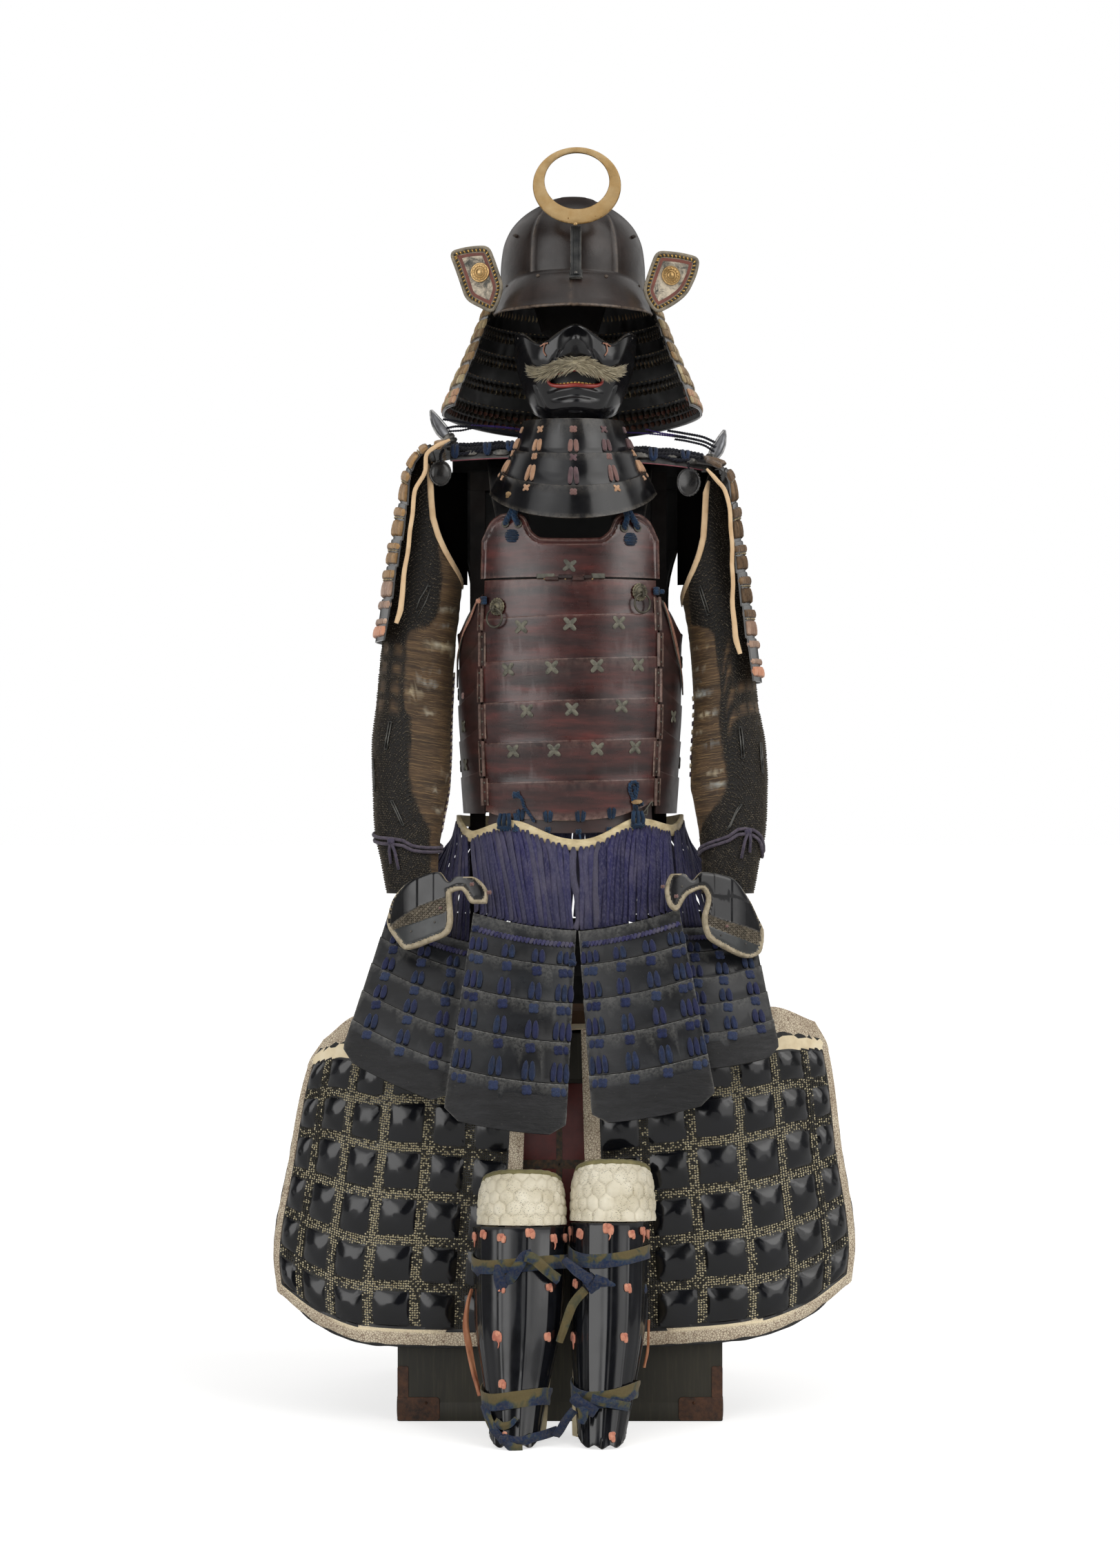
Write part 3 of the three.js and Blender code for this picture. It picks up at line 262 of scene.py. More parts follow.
PIECES = []
THINNED = [("mask_face", 0.40), ("moustache", 1.0), ("neck_guard", 0.68), ("_trim", 0.60), ("thigh_guard_belt", 0.6), ("thigh_guard", 0.50), ("sleeve_left_cloth", 0.32), ("sleeve_right_cloth", 0.32), ("knee_pad", 0.45),
           ("shin_cloth", 0.32), ("shin_guard", 0.48), ("sode_", 0.7), ("tasset", 0.7), ("waist_cords", 0.8), ("strap", 0.8), ("fittings", 0.8)]


def grid_faces(R, C, wrap=False, skip=None, base=0):
    i, j = np.meshgrid(np.arange(R - 1), np.arange(C if wrap else C - 1), indexing="ij")
    if skip is not None:
        keep = ~skip
        i, j = i[keep], j[keep]
    i, j = i.ravel(), j.ravel()
    k = (j + 1) % C
    return base + np.stack([i * C + j, i * C + k, (i + 1) * C + k, (i + 1) * C + j], 1)


def turned(F, P, N):
    """The same quads, wound so that they face along N (both given per vertex)."""
    a = P[F[:, 1]] - P[F[:, 0]]
    b = P[F[:, 3]] - P[F[:, 0]]
    g = (np.cross(a, b) * N[F[:, 0]]).sum(-1)
    return F[:, ::-1] if (g < 0).sum() > len(F) / 2 else F


def shell(bag, P, N, t, wrap=False, mat=0, mask=None, suv=None, skip=None, inner_mat=None, rim_mat=None):
    """A closed wall from its outer face P, outward normals N and thickness t."""
    R, C = P.shape[:2]
    t = np.asarray(t, float)
    inn = P - N * (t[..., None] if t.ndim else t)
    V = np.concatenate([P.reshape(-1, 3), inn.reshape(-1, 3)])
    two = lambda x, w: None if x is None else np.concatenate([np.broadcast_to(x, (R, C, w)).reshape(-1, w)] * 2)
    msk = None if mask is None else two(np.asarray(mask) if np.ndim(mask) == 3 else np.stack([np.broadcast_to(mask, (R, C)), np.zeros((R, C)), np.zeros((R, C))], -1), 3)
    sv = None if suv is None else two(suv, suv.shape[-1])
    F = grid_faces(R, C, wrap, skip)
    Ff = turned(F, P.reshape(-1, 3), N.reshape(-1, 3))
    flip = Ff is not F
    n = R * C
    b0 = bag.add(V, np.zeros((0, 4), int), mask=msk, suv=sv)
    bag.faces(Ff + b0, mat)
    bag.faces(Ff[:, ::-1] + n + b0, mat if inner_mat is None else inner_mat)
    # rims: every edge of a kept cell with no kept neighbour
    cells = np.ones((R - 1, C if wrap else C - 1), bool)
    if skip is not None:
        cells &= ~skip
    edges = []
    ii, jj = np.nonzero(cells)
    for di, dj in ((-1, 0), (1, 0), (0, -1), (0, 1)):
        ni, nj = ii + di, jj + dj
        if wrap:
            nj %= C
        ok = (ni >= 0) & (ni < R - 1) & (nj >= 0) & (nj < cells.shape[1])
        free = ~ok
        free[ok] = ~cells[ni[ok], nj[ok]]
        i, j = ii[free], jj[free]
        k = (j + 1) % C
        a, b, c, d = i * C + j, i * C + k, (i + 1) * C + k, (i + 1) * C + j
        e = {(-1, 0): (b, a), (1, 0): (d, c), (0, -1): (a, d), (0, 1): (c, b)}[(di, dj)]
        edges.append(np.stack([e[0], e[1], e[1] + n, e[0] + n], 1))
    E = np.concatenate(edges)
    if flip:
        E = E[:, ::-1]
    bag.faces(E + b0, mat if rim_mat is None else rim_mat)
    return b0


def sheet_grid(f, us, vs, inward, off=0.0, du=1e-3, dv=1e-3):
    """Outer points and normals of a surface on a grid of parameters, moved out by off (R x C or R)."""
    U, W = np.meshgrid(us, vs)
    P, N, _, _ = frames(f, U, W, inward, du, dv)
    off = np.asarray(off, float)
    if off.ndim == 1:
        off = off[:, None]
    return P + N * np.broadcast_to(off, U.shape)[..., None], N, U, W


def lame_rows(v0, v1, seams, step, per=5, lip=0.6, sign=1.0):
    """Rows of a group of lames: parameter and outward offset, with rounded top edges. sign is not used."""
    tops = [v0] + list(seams)
    feet = list(seams) + [v1]
    vs, off, edge = [], [], []
    for k, (a, b) in enumerate(zip(tops, feet)):
        L = b - a
        e = lip
        ts = [0.0, 0.15 * e, 0.5 * e, 1.0 * e] + list(np.linspace(2.2 * e, 1 - (0.25 * e if k < len(tops) - 1 else 0.0), per))
        oo = [step * 0.1, step * 0.72, step * 0.95, step]
        for i, t in enumerate(ts):
            vs.append(a + L * t)
            off.append(oo[i] if i < 4 else step * (1 - (t - e) / (1 - e)) * 1.0)
            edge.append([1, 1, 0.9, 0.45][i] if i < 4 else 0.0)
    return np.array(vs), np.array(off), np.array(edge)


def ellipsoid(nu=8, nv=6, power=1.0):
    """A unit blob round the origin as a template of vertices and faces."""
    th = np.linspace(0, np.pi, nv + 1)[1:-1]
    ph = np.arange(nu) / nu * 2 * np.pi
    T, Ph = np.meshgrid(th, ph, indexing="ij")
    V = np.stack([spow(np.sin(T), power) * np.cos(Ph), spow(np.sin(T), power) * np.sin(Ph), np.cos(T)], -1).reshape(-1, 3)
    V = np.concatenate([V, [[0, 0, 1], [0, 0, -1]]])
    q = grid_faces(nv - 1, nu, wrap=True)
    q = q[:, ::-1]
    j = np.arange(nu)
    t = np.concatenate([np.stack([j, (j + 1) % nu, np.full(nu, len(V) - 2)], 1), np.stack([(nv - 2) * nu + (j + 1) % nu, (nv - 2) * nu + j, np.full(nu, len(V) - 1)], 1)])
    return V, q, t


def stamp(bag, tmpl, P, X, Y, Z, mat=0, mask=None, size=(1, 1, 1)):
    """Copies of a template at points P with axes X, Y, Z (n x 3), size n x 3 or 3 numbers."""
    V, q, t = tmpl
    P = np.asarray(P, float).reshape(-1, 3)
    n = len(P)
    if not n:
        return
    size = np.broadcast_to(np.asarray(size, float), (n, 3))
    L = V[None] * size[:, None, :]
    W = P[:, None] + L[..., 0:1] * np.broadcast_to(X, (n, 3))[:, None] + L[..., 1:2] * np.broadcast_to(Y, (n, 3))[:, None] + L[..., 2:3] * np.broadcast_to(Z, (n, 3))[:, None]
    k = np.arange(n)[:, None, None] * len(V)
    msk = None
    if mask is not None:
        mask = np.broadcast_to(np.asarray(mask, float), (n, 3))
        msk = np.repeat(mask, len(V), 0)
    b0 = bag.add(W.reshape(-1, 3), np.zeros((0, 4), int), mask=msk, suv=np.tile(V, (n, 1)))
    if len(q):
        bag.faces((q[None] + k).reshape(-1, 4) + b0, mat)
    if len(t):
        bag.faces((t[None] + k).reshape(-1, 3) + b0, mat)


def sweep(bag, pts, r, sides=6, mat=0, up=(0, 0, 1), flat=1.0, mask=None, closed=False, turn=None, cap=True):
    """A cord or rod of radius r along points. flat scales its height against its width across `up`."""
    pts = np.asarray(pts, float)
    n = len(pts)
    if closed:
        T = unit(np.roll(pts, -1, 0) - np.roll(pts, 1, 0))
    else:
        T = unit(np.gradient(pts, axis=0))
    up = np.broadcast_to(np.asarray(up, float), (n, 3))
    X = unit(np.cross(T, up))
    Y = np.cross(X, T)
    a = np.arange(sides) / sides * 2 * np.pi
    tw = np.zeros(n) if turn is None else np.asarray(turn, float)
    r = np.broadcast_to(np.asarray(r, float), (n,))
    ca, sa = np.cos(a[None] + tw[:, None]), np.sin(a[None] + tw[:, None])
    ring = pts[:, None] + r[:, None, None] * (ca[..., None] * X[:, None] + flat * sa[..., None] * Y[:, None])
    V = ring.reshape(-1, 3)
    s = np.concatenate([[0], np.cumsum(np.linalg.norm(np.diff(pts, axis=0), axis=1))])
    suv = np.stack([np.broadcast_to(a / (2 * np.pi) * 2 * np.pi * r.mean(), (n, sides)), np.broadcast_to(s[:, None], (n, sides))], -1)
    F = grid_faces(n + (1 if closed else 0), sides, wrap=True)
    if closed:
        F = F % (n * sides)
    b0 = bag.add(V, F[:, ::-1], mat=mat, mask=None if mask is None else np.broadcast_to(mask, (n * sides, 3)) if np.size(mask) == 3 else np.repeat(np.asarray(mask, float).reshape(n, 3), sides, 0), suv=suv)
    if cap and not closed:
        for row, rev in ((0, False), (n - 1, True)):
            c = bag.add(pts[row][None], np.zeros((0, 4), int), mask=None if mask is None else np.asarray(mask, float).reshape(-1, 3)[0 if np.size(mask) == 3 else row][None])
            j = np.arange(sides)
            tri = np.stack([b0 + row * sides + j, b0 + row * sides + (j + 1) % sides, np.full(sides, c)], 1)
            bag.faces(tri if not rev else tri[:, ::-1], mat)


def twisted(bag, pts, r, pitch=9.0, strands=2, sides=5, mat=0, up=(0, 0, 1), mask=None):
    """A cord laid from strands that wind round each other along points."""
    pts = np.asarray(pts, float)
    s = np.concatenate([[0], np.cumsum(np.linalg.norm(np.diff(pts, axis=0), axis=1))])
    m = max(int(s[-1] / pitch * 6), 4)
    q = np.linspace(0, s[-1], m)
    C = np.stack([np.interp(q, s, pts[:, k]) for k in range(3)], 1)
    T = unit(np.gradient(C, axis=0))
    X = unit(np.cross(T, np.asarray(up, float)))
    Y = np.cross(X, T)
    for k in range(strands):
        a = q / pitch * 2 * np.pi + k * 2 * np.pi / strands
        sweep(bag, C + 0.52 * r * (np.cos(a)[:, None] * X + np.sin(a)[:, None] * Y), r * 0.55, sides, mat, up=up, mask=mask)


def resample(pts, n):
    """n even points on a smooth curve through a few given ones."""
    pts = np.asarray(pts, float)
    s = np.concatenate([[0], np.cumsum(np.linalg.norm(np.diff(pts, axis=0), axis=1))])
    q = np.linspace(0, s[-1], n)
    return np.stack([pchip(s, pts[:, k])(q) for k in range(3)], 1)


def loft(bag, rings, mat=0, mask=None, cap=True, flip=False, suv=None):
    """Closed rings (R x C x 3) joined, with their ends closed by fans."""
    R, C = rings.shape[:2]
    F = grid_faces(R, C, wrap=True)
    b0 = bag.add(rings.reshape(-1, 3), F if flip else F[:, ::-1], mat=mat, mask=mask, suv=suv)
    if cap:
        for row, rev in ((0, flip), (R - 1, not flip)):
            c = bag.add(rings[row].mean(0)[None], np.zeros((0, 4), int), mask=None if mask is None else np.asarray(mask, float).reshape(-1, 3)[0][None])
            j = np.arange(C)
            tri = np.stack([b0 + row * C + j, b0 + row * C + (j + 1) % C, np.full(C, c)], 1)
            bag.faces(tri[:, ::-1] if rev else tri, mat)
    return b0


# ------------------------------------------------------------ materials
class Nodes:
    def __init__(self, name):
        self.m = bpy.data.materials.new(name)
        self.m.use_nodes = True
        self.t = self.m.node_tree
        self.bsdf = self.t.nodes["Principled BSDF"]

    def n(self, kind, ins=None, **props):
        nd = self.t.nodes.new("ShaderNode" + kind)
        for k, v in props.items():
            setattr(nd, k, v)
        for k, v in (ins or {}).items():
            if isinstance(v, bpy.types.NodeSocket):
                self.t.links.new(v, nd.inputs[k])
            else:
                nd.inputs[k].default_value = v
        return nd

    def set(self, **kw):
        for k, v in kw.items():
            k = k.replace("_", " ")
            if isinstance(v, bpy.types.NodeSocket):
                self.t.links.new(v, self.bsdf.inputs[k])
            else:
                self.bsdf.inputs[k].default_value = v

    def coord(self, stretch=(1, 1, 1), source="object"):
        if source == "object":
            c = self.n("TexCoord").outputs["Object"]
        else:
            c = self.n("Attribute", attribute_name=source).outputs["Vector"]
        if tuple(stretch) == (1, 1, 1):
            return c
        return self.n("Mapping", {"Vector": c, "Scale": stretch}).outputs["Vector"]

    def attr(self, name="mask", axis=0):
        a = self.n("Attribute", attribute_name=name)
        s = self.n("SeparateXYZ", {"Vector": a.outputs["Vector"]})
        return s.outputs[axis]

    def noise(self, scale, detail=4, rough=0.55, vector=None, distortion=0.0):
        return self.n("TexNoise", {"Vector": vector or self.coord(), "Scale": scale, "Detail": detail, "Roughness": rough, "Distortion": distortion}).outputs["Fac"]

    def ramp(self, fac, stops, interp="LINEAR"):
        r = self.n("ValToRGB", {"Fac": fac})
        r.color_ramp.interpolation = interp
        el = r.color_ramp.elements
        while len(el) < len(stops):
            el.new(0.5)
        for e, (p, c) in zip(el, stops):
            e.position = p
            e.color = c if len(c) == 4 else (*c, 1)
        return r.outputs["Color"]

    def gray(self, fac, stops, interp="LINEAR"):
        return self.ramp(fac, [(p, (c, c, c)) for p, c in stops], interp)

    def math(self, op, a, b=0.0, clampit=False):
        nd = self.n("Math", operation=op, use_clamp=clampit)
        for i, v in enumerate((a, b)):
            if isinstance(v, bpy.types.NodeSocket):
                self.t.links.new(v, nd.inputs[i])
            else:
                nd.inputs[i].default_value = v
        return nd.outputs[0]

    def mix(self, fac, a, b, mode="MIX"):
        nd = self.n("Mix", data_type="RGBA", blend_type=mode)
        for k, v in ((0, fac), (6, a), (7, b)):
            if isinstance(v, bpy.types.NodeSocket):
                self.t.links.new(v, nd.inputs[k])
            else:
                nd.inputs[k].default_value = v if k == 0 else ((*v, 1) if len(v) == 3 else v)
        return nd.outputs[2]

    def bump(self, height, strength=0.3, distance=0.001, normal=None):
        ins = {"Height": height, "Strength": strength, "Distance": distance}
        if normal is not None:
            ins["Normal"] = normal
        return self.n("Bump", ins).outputs["Normal"]


def lin(h):
    """A hex colour as linear values."""
    c = [int(h[i : i + 2], 16) / 255 for i in (1, 3, 5)]
    return tuple(x / 12.92 if x <= 0.04045 else ((x + 0.055) / 1.055) ** 2.4 for x in c)


def mottled(name, stops, scale=30, stretch=(1, 1, 1), rough=(0.3, 0.5), rscale=60, metallic=0.0, coat=0.0, coat_rough=0.1, sheen=0.0, sheen_tint=(1, 1, 1),
            bumps=(), detail=5, edge=None, edge_rough=None, dust=None, spec=0.5, source="object", edge_noise=120, tint=None):
    """Base material: noise-driven colour and roughness, worn edges from mask.x (on the tassets also a painted highlight
    line), optional dust, layered bumps.
    """
    k = Nodes(name)
    co = k.coord(stretch, source)
    n1 = k.noise(scale, detail, 0.6, co)
    col = k.ramp(n1, stops)
    if tint is not None:                                     # per-piece variation from mask.y
        col = k.mix(k.math("MULTIPLY", k.attr("mask", 1), tint[1]), col, tint[0])
    r = k.n("MapRange", {"Value": k.noise(rscale, 4), "From Min": 0.3, "From Max": 0.7, "To Min": rough[0], "To Max": rough[1]}).outputs[0]
    if dust is not None:                                     # (colour, amount, scale)
        dn = k.gray(k.noise(dust[2], 8, 0.75), [(0.62, 0), (0.74, 1)])
        col = k.mix(k.math("MULTIPLY", dn, dust[1]), col, dust[0])
        r = k.math("ADD", r, k.math("MULTIPLY", dn, 0.25 * dust[1]), True)
    if edge is not None:
        en = k.math("MULTIPLY", k.attr("mask", 0), k.n("MapRange", {"Value": k.noise(edge_noise, 6, 0.7), "From Min": 0.35, "From Max": 0.6}).outputs[0], True)
        col = k.mix(en, col, edge)
        if edge_rough is not None:
            r = k.math("ADD", r, k.math("MULTIPLY", en, edge_rough - rough[1]), True)
    k.set(Base_Color=col, Roughness=r, Metallic=metallic, Coat_Weight=coat, Coat_Roughness=coat_rough, Specular_IOR_Level=spec)
    if sheen:
        k.set(Sheen_Weight=sheen, Sheen_Tint=(*sheen_tint, 1), Sheen_Roughness=0.4)
    nrm = None
    for kind, sc, st, dist, *rest in bumps:
        cv = k.coord(rest[0] if rest else (1, 1, 1), rest[1] if len(rest) > 1 else "object")
        if kind == "noise":
            h = k.noise(sc, 5, 0.6, cv)
        elif kind == "voronoi":
            h = k.n("TexVoronoi", {"Vector": cv, "Scale": sc}).outputs["Distance"]
        elif kind == "cells":
            h = k.n("TexVoronoi", {"Vector": cv, "Scale": sc}, feature="DISTANCE_TO_EDGE").outputs["Distance"]
        elif kind == "wave":
            h = k.n("TexWave", {"Vector": cv, "Scale": sc, "Distortion": 1.0, "Detail": 2}, bands_direction="X").outputs["Fac"]
        elif kind == "weave":
            a = k.n("TexWave", {"Vector": cv, "Scale": sc}, bands_direction="X").outputs["Fac"]
            b = k.n("TexWave", {"Vector": cv, "Scale": sc}, bands_direction="Y").outputs["Fac"]
            h = k.math("ADD", a, b)
        nrm = k.bump(h, st, dist, nrm)
    if nrm is not None:
        k.set(Normal=nrm)
    return k


BLACK = mottled("lacquer_black", [(0.3, lin("#0b0b0d")), (0.7, lin("#17171a"))], 18, rough=(0.14, 0.28), rscale=45, coat=0.22, coat_rough=0.12, spec=0.42, edge=lin("#6b655c"), dust=(lin("#6f6a60"), 0.25, 260), bumps=(("noise", 90, 0.12, 0.0006),)).m
BROWN = mottled("lacquer_brown", [(0.3, lin("#171110")), (0.55, lin("#231a17")), (0.75, lin("#332622"))], 16, rough=(0.26, 0.38), rscale=60, coat=0.1, coat_rough=0.25, spec=0.35, edge=lin("#6a5a4c"), dust=(lin("#5f5348"), 0.3, 320), bumps=(("noise", 140, 0.25, 0.0006), ("noise", 22, 0.2, 0.002))).m
STEEL = mottled("dark_steel", [(0.3, lin("#26282a")), (0.7, lin("#4a4a49"))], 60, rough=(0.38, 0.6), metallic=0.75, edge=lin("#8b8780"), bumps=(("noise", 300, 0.3, 0.0005),)).m
GILT = mottled("gilt", [(0.25, lin("#856a42")), (0.5, lin("#b59565")), (0.8, lin("#cdb48a"))], 22, rough=(0.30, 0.46), rscale=120, metallic=0.9, edge=lin("#6f4f22"), bumps=(("noise", 220, 0.15, 0.0004),)).m
WOOD = mottled("stand_wood", [(0.2, lin("#3d2c1e")), (0.5, lin("#5d442f")), (0.8, lin("#775a40"))], 14, (1, 1, 0.08), (0.5, 0.68), bumps=(("noise", 60, 0.3, 0.001, (1, 1, 0.06)),)).m
HEMP = mottled("hemp_cloth", [(0.3, lin("#c9bda3")), (0.7, lin("#e2d8c0"))], 40, rough=(0.85, 0.95), sheen=0.15, bumps=(("weave", 380, 0.35, 0.0006), ("noise", 60, 0.3, 0.001))).m
# the stand's posts, shoulder bar and head block are near-black: painted shade in the hollows behind the armour
STAND_SHADE_BLACK = mottled("stand_block_painted_shade", [(0.3, lin("#0a0808")), (0.7, lin("#17110e"))], 20, rough=(0.7, 0.85), spec=0.2, bumps=(("noise", 80, 0.3, 0.001),)).m
for _n, _m in {"stand_base": WOOD, "stand_post_left": STAND_SHADE_BLACK, "stand_post_right": STAND_SHADE_BLACK, "stand_shoulder_bar": STAND_SHADE_BLACK, "stand_head_post": STAND_SHADE_BLACK}.items():
    _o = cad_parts[_n]
    _o.data.materials.clear()
    _o.data.materials.append(_m)

# ============================================================ sections of the worn pieces
MASK = dict(x=XC + 7, y=-38, W=84, D=92, top=1474, low=1346)


def mask(u, v):
    """u: degrees from the front; v: 0 at the cheek line to 1 under the chin."""
    a = np.abs(u)
    vv = np.maximum(v, 0)
    taper = 1 - 0.30 * vv**2.2
    chin = 9 * gauss(u, 20) * gauss(v - 0.80, 0.12)
    nose = 24 * gauss(u, 10.5) * gauss(v - 0.17, 0.15)
    cheek = 6 * gauss(a - 38, 16) * gauss(v - 0.22, 0.18)
    under = -20 * clamp((v - 0.84) / 0.16) ** 1.4 * np.cos(rad(np.minimum(a, 90)))
    d = chin + nose + cheek + under
    x = MASK["W"] * taper * np.sin(rad(u))
    y = -(MASK["D"] * (1 - 0.12 * v)) * np.cos(rad(u))
    zt = MASK["top"] - 20 * gauss(a - 34, 17) + 4 * gauss(u, 9)
    zl = MASK["low"] + 26 * (a / 95) ** 2
    return vec(MASK["x"] + x + d * np.sin(rad(u)) * 0.7, MASK["y"] + y - d * np.cos(rad(u)), lerp(zt, zl, v))


in_mask = lambda p: vec(MASK["x"] - p[..., 0], MASK["y"] - p[..., 1], 0)

throatT = table("v w d z rise", (0, 68, 84, 1350, 4), (0.36, 84, 97, 1301, 16), (0.68, 101, 111, 1256, 34), (1, 118, 126, 1211, 52))
THROAT = dict(x=XC + 4, y=-46, end=78)


def throat(u, v):
    return vec(THROAT["x"] + throatT["w"](v) * np.sin(rad(u)), THROAT["y"] - throatT["d"](v) * np.cos(rad(u)), throatT["z"](v) + throatT["rise"](v) * (1 - np.cos(rad(u))))


in_throat = lambda p: vec(THROAT["x"] - p[..., 0], THROAT["y"] - p[..., 1], 0)

trunkT = table("z w front back", (806, 149, 137, 128), (860, 151, 143, 133), (960, 155, 150, 140), (1060, 155, 150, 144), (1133, 151, 143, 146), (1180, 150, 134, 146), (1226, 150, 122, 143), (1340, 150, 110, 128))


def trunk(u, z):
    """u: degrees from the front, towards +X."""
    s, c = spow(np.sin(rad(u)), 2 / 2.3), spow(np.cos(rad(u)), 2 / 2.3)
    return vec(XC + trunkT["w"](z) * s, np.where(c > 0, -trunkT["front"](z) * c, -trunkT["back"](z) * c), z)


to_axis = lambda p: vec(XC - p[..., 0], -p[..., 1], 0)
chestT = table("a z", (0, 1186), (12, 1187), (17, 1196), (21, 1216), (26, 1223), (34, 1222), (42, 1214), (51, 1186))
chest = lambda u, v: trunk(u, lerp(chestT["z"](np.abs(u)), 1133.5, v))
sideT = table("a z", (49.2, 1112), (62, 1082), (80, 1062), (98, 1066), (118, 1104))
side = lambda s: (lambda u, v: trunk(s * u, lerp(sideT["z"](u), 812, v)))
backT = table("v wide z", (0, 1.0, 812), (0.35, 1.0, 995), (0.6, 1.04, 1120), (0.8, 1.26, 1228), (0.93, 1.38, 1300), (1, 1.40, 1330))
backH = table("v h", (0, 60), (0.55, 60), (0.72, 60), (0.88, 54), (1, 47))


def back(u, v):
    p = trunk(180 + u * backH["h"](v), backT["z"](v))
    return vec(XC + (p[..., 0] - XC) * backT["wide"](v), p[..., 1], p[..., 2])


strapT = table("s y z x", (0, 104, 1296, 86), (0.25, 66, 1310, 90), (0.5, 4, 1306, 92), (0.75, -54, 1262, 88), (0.9, -82, 1222, 80), (1, -92, 1202, 78))
strap = lambda s: (lambda u, v: vec(XC + s * (strapT["x"](v) + u), strapT["y"](v), strapT["z"](v)))

sleeveT = table("z cx cy rx ry", (697, 214, -118, 34, 31), (743, 219, -104, 38, 35), (787, 222, -88, 45, 40), (852, 219, -68, 52, 45), (907, 219, -53, 54, 48), (962, 216, -38, 52, 50),
                (1049, 210, -24, 51, 52), (1128, 202, -14, 51, 54), (1211, 192, -8, 47, 54), (1272, 187, -4, 37, 50), (1300, 184, -2, 31, 44), (1320, 180, 0, 22, 34))
sleeveCut = table("a z", (0, 1316), (55, 1310), (82, 1282), (97, 1218), (130, 1166), (180, 1128))


def sleeve(s):
    """u: degrees from the outside, positive to the front; v: 0 at the shoulder to 1 at the wrist."""
    def f(u, v):
        a = np.abs((np.asarray(u, float) + 180) % 360 - 180)
        z = lerp(sleeveCut["z"](a) - (24 if s > 0 else 0), 704, v)
        c, d = np.cos(rad(u)), np.sin(rad(u))
        tuck = 8 * clamp((z - 1060) / 80) if s > 0 else 0
        slim = 8 * clamp((z - 860) / 100) * np.clip((1340 - z) / 120, 0.3, 1) if s > 0 else 0
        return vec(XC + s * (sleeveT["cx"](z) - tuck + (sleeveT["rx"](z) - slim) * c), sleeveT["cy"](z) - sleeveT["ry"](z) * d, z)
    return f


in_sleeve = lambda s: (lambda p: vec(XC + s * sleeveT["cx"](p[..., 2]) - p[..., 0], sleeveT["cy"](p[..., 2]) - p[..., 1], 0))
handT = table("x y", (80, -214), (140, -209), (175, -197), (215, -178), (265, -140))
hand_y = lambda x, z: handT["y"](np.abs(x - XC)) - (735 - z) * 0.08
sodeT = {-1: table("v x z", (0, 158, 1330), (0.10, 190, 1324), (0.22, 217, 1300), (0.42, 232, 1240), (0.66, 248, 1155), (0.85, 257, 1095), (1, 266, 1050)),
         1: table("v x z", (0, 168, 1307), (0.10, 197, 1302), (0.22, 219, 1279), (0.42, 230, 1213), (0.66, 243, 1120), (0.85, 253, 1049), (1, 262, 994))}


def sode(s):
    T = sodeT[s]
    return lambda u, v: vec(XC + s * (T["x"](v) + 6 - 16 * u * u * np.minimum(1, v * 2)), -3 - 4 * v - 92 * u * (1 - 0.12 * (1 - v)), T["z"](v) - 14 * u * u * (1 - v))


bandT = table("a z", (-180, 800), (-120, 801), (-86, 803), (-58, 782), (-27, 797), (3, 771), (33, 800), (62, 790), (90, 804), (130, 799), (180, 800))


def waist(u, z, out):
    p = trunk(u, 806)
    n = unit(vec(p[..., 0] - XC, p[..., 1], 0))
    q = p + n * np.asarray(out, float)[..., None]
    return vec(q[..., 0], q[..., 1], z)


TASSET = {
    "tasset_front_left": dict(tl=(-115.5, 680), tr=(21, 656.5), bl=(-153.6, 417), br=(7, 394), yt=(-195, -197), yb=(-298, -300), bow=11),
    "tasset_front_right": dict(tl=(25.5, 655.5), tr=(159, 685), bl=(42.5, 408.5), br=(205, 437.5), yt=(-197, -195), yb=(-300, -298), bow=11),
    "tasset_side_left": dict(tl=(-233, 677), tr=(-121, 638), bl=(-291, 493), br=(-152, 433), yt=(-102, -156), yb=(-242, -284), bow=12),
    "tasset_side_right": dict(tl=(161, 658), tr=(259, 670), bl=(174, 477), br=(292, 496), yt=(-156, -104), yb=(-266, -244), bow=12),
    "tasset_back_left": dict(tl=(-80, 662), tr=(-222, 676), bl=(-92, 430), br=(-272, 462), yt=(194, 152), yb=(288, 238), bow=-12),
    "tasset_back_centre": dict(tl=(100, 660), tr=(-72, 660), bl=(112, 425), br=(-84, 425), yt=(200, 200), yb=(296, 296), bow=-10),
    "tasset_back_right": dict(tl=(250, 676), tr=(108, 662), bl=(300, 462), br=(120, 430), yt=(152, 194), yb=(238, 288), bow=-12)}
SEAMS = [0.18, 0.363, 0.554, 0.757]


def tasset(name):
    t = TASSET[name]
    def f(u, v):
        q = 1 - (2 * u - 1) ** 2
        return vec(lerp(lerp(t["tl"][0], t["tr"][0], u), lerp(t["bl"][0], t["br"][0], u), v),
                   lerp(lerp(t["yt"][0], t["yt"][1], u), lerp(t["yb"][0], t["yb"][1], u), v) - t["bow"] * q,
                   lerp(lerp(t["tl"][1], t["tr"][1], u), lerp(t["bl"][1], t["br"][1], u), v) - 4 * q)
    return f


in_tasset = lambda name: (lambda p: np.broadcast_to(np.array([0, np.sign(TASSET[name]["bow"]), 0.2]), p.shape))

THIGH = {"left": dict(inner=table("v x", (0, -42), (0.35, -48), (1, -60)), outer=table("v x", (0, -318), (0.10, -340), (0.5, -369), (0.86, -389), (1, -383)),
                      head=table("u z", (0, 526), (0.5, 530), (0.82, 543), (1, 508)), foot=table("u z", (0, 104), (0.6, 108), (0.8, 125), (1, 166))),
         "right": dict(inner=table("v x", (0, 28), (0.35, 32), (1, 42)), outer=table("v x", (0, 345), (0.10, 364), (0.5, 384), (0.86, 402), (1, 396)),
                       head=table("u z", (0, 526), (0.5, 540), (0.8, 554), (1, 530)), foot=table("u z", (0, 102), (0.6, 116), (0.8, 135), (1, 178)))}


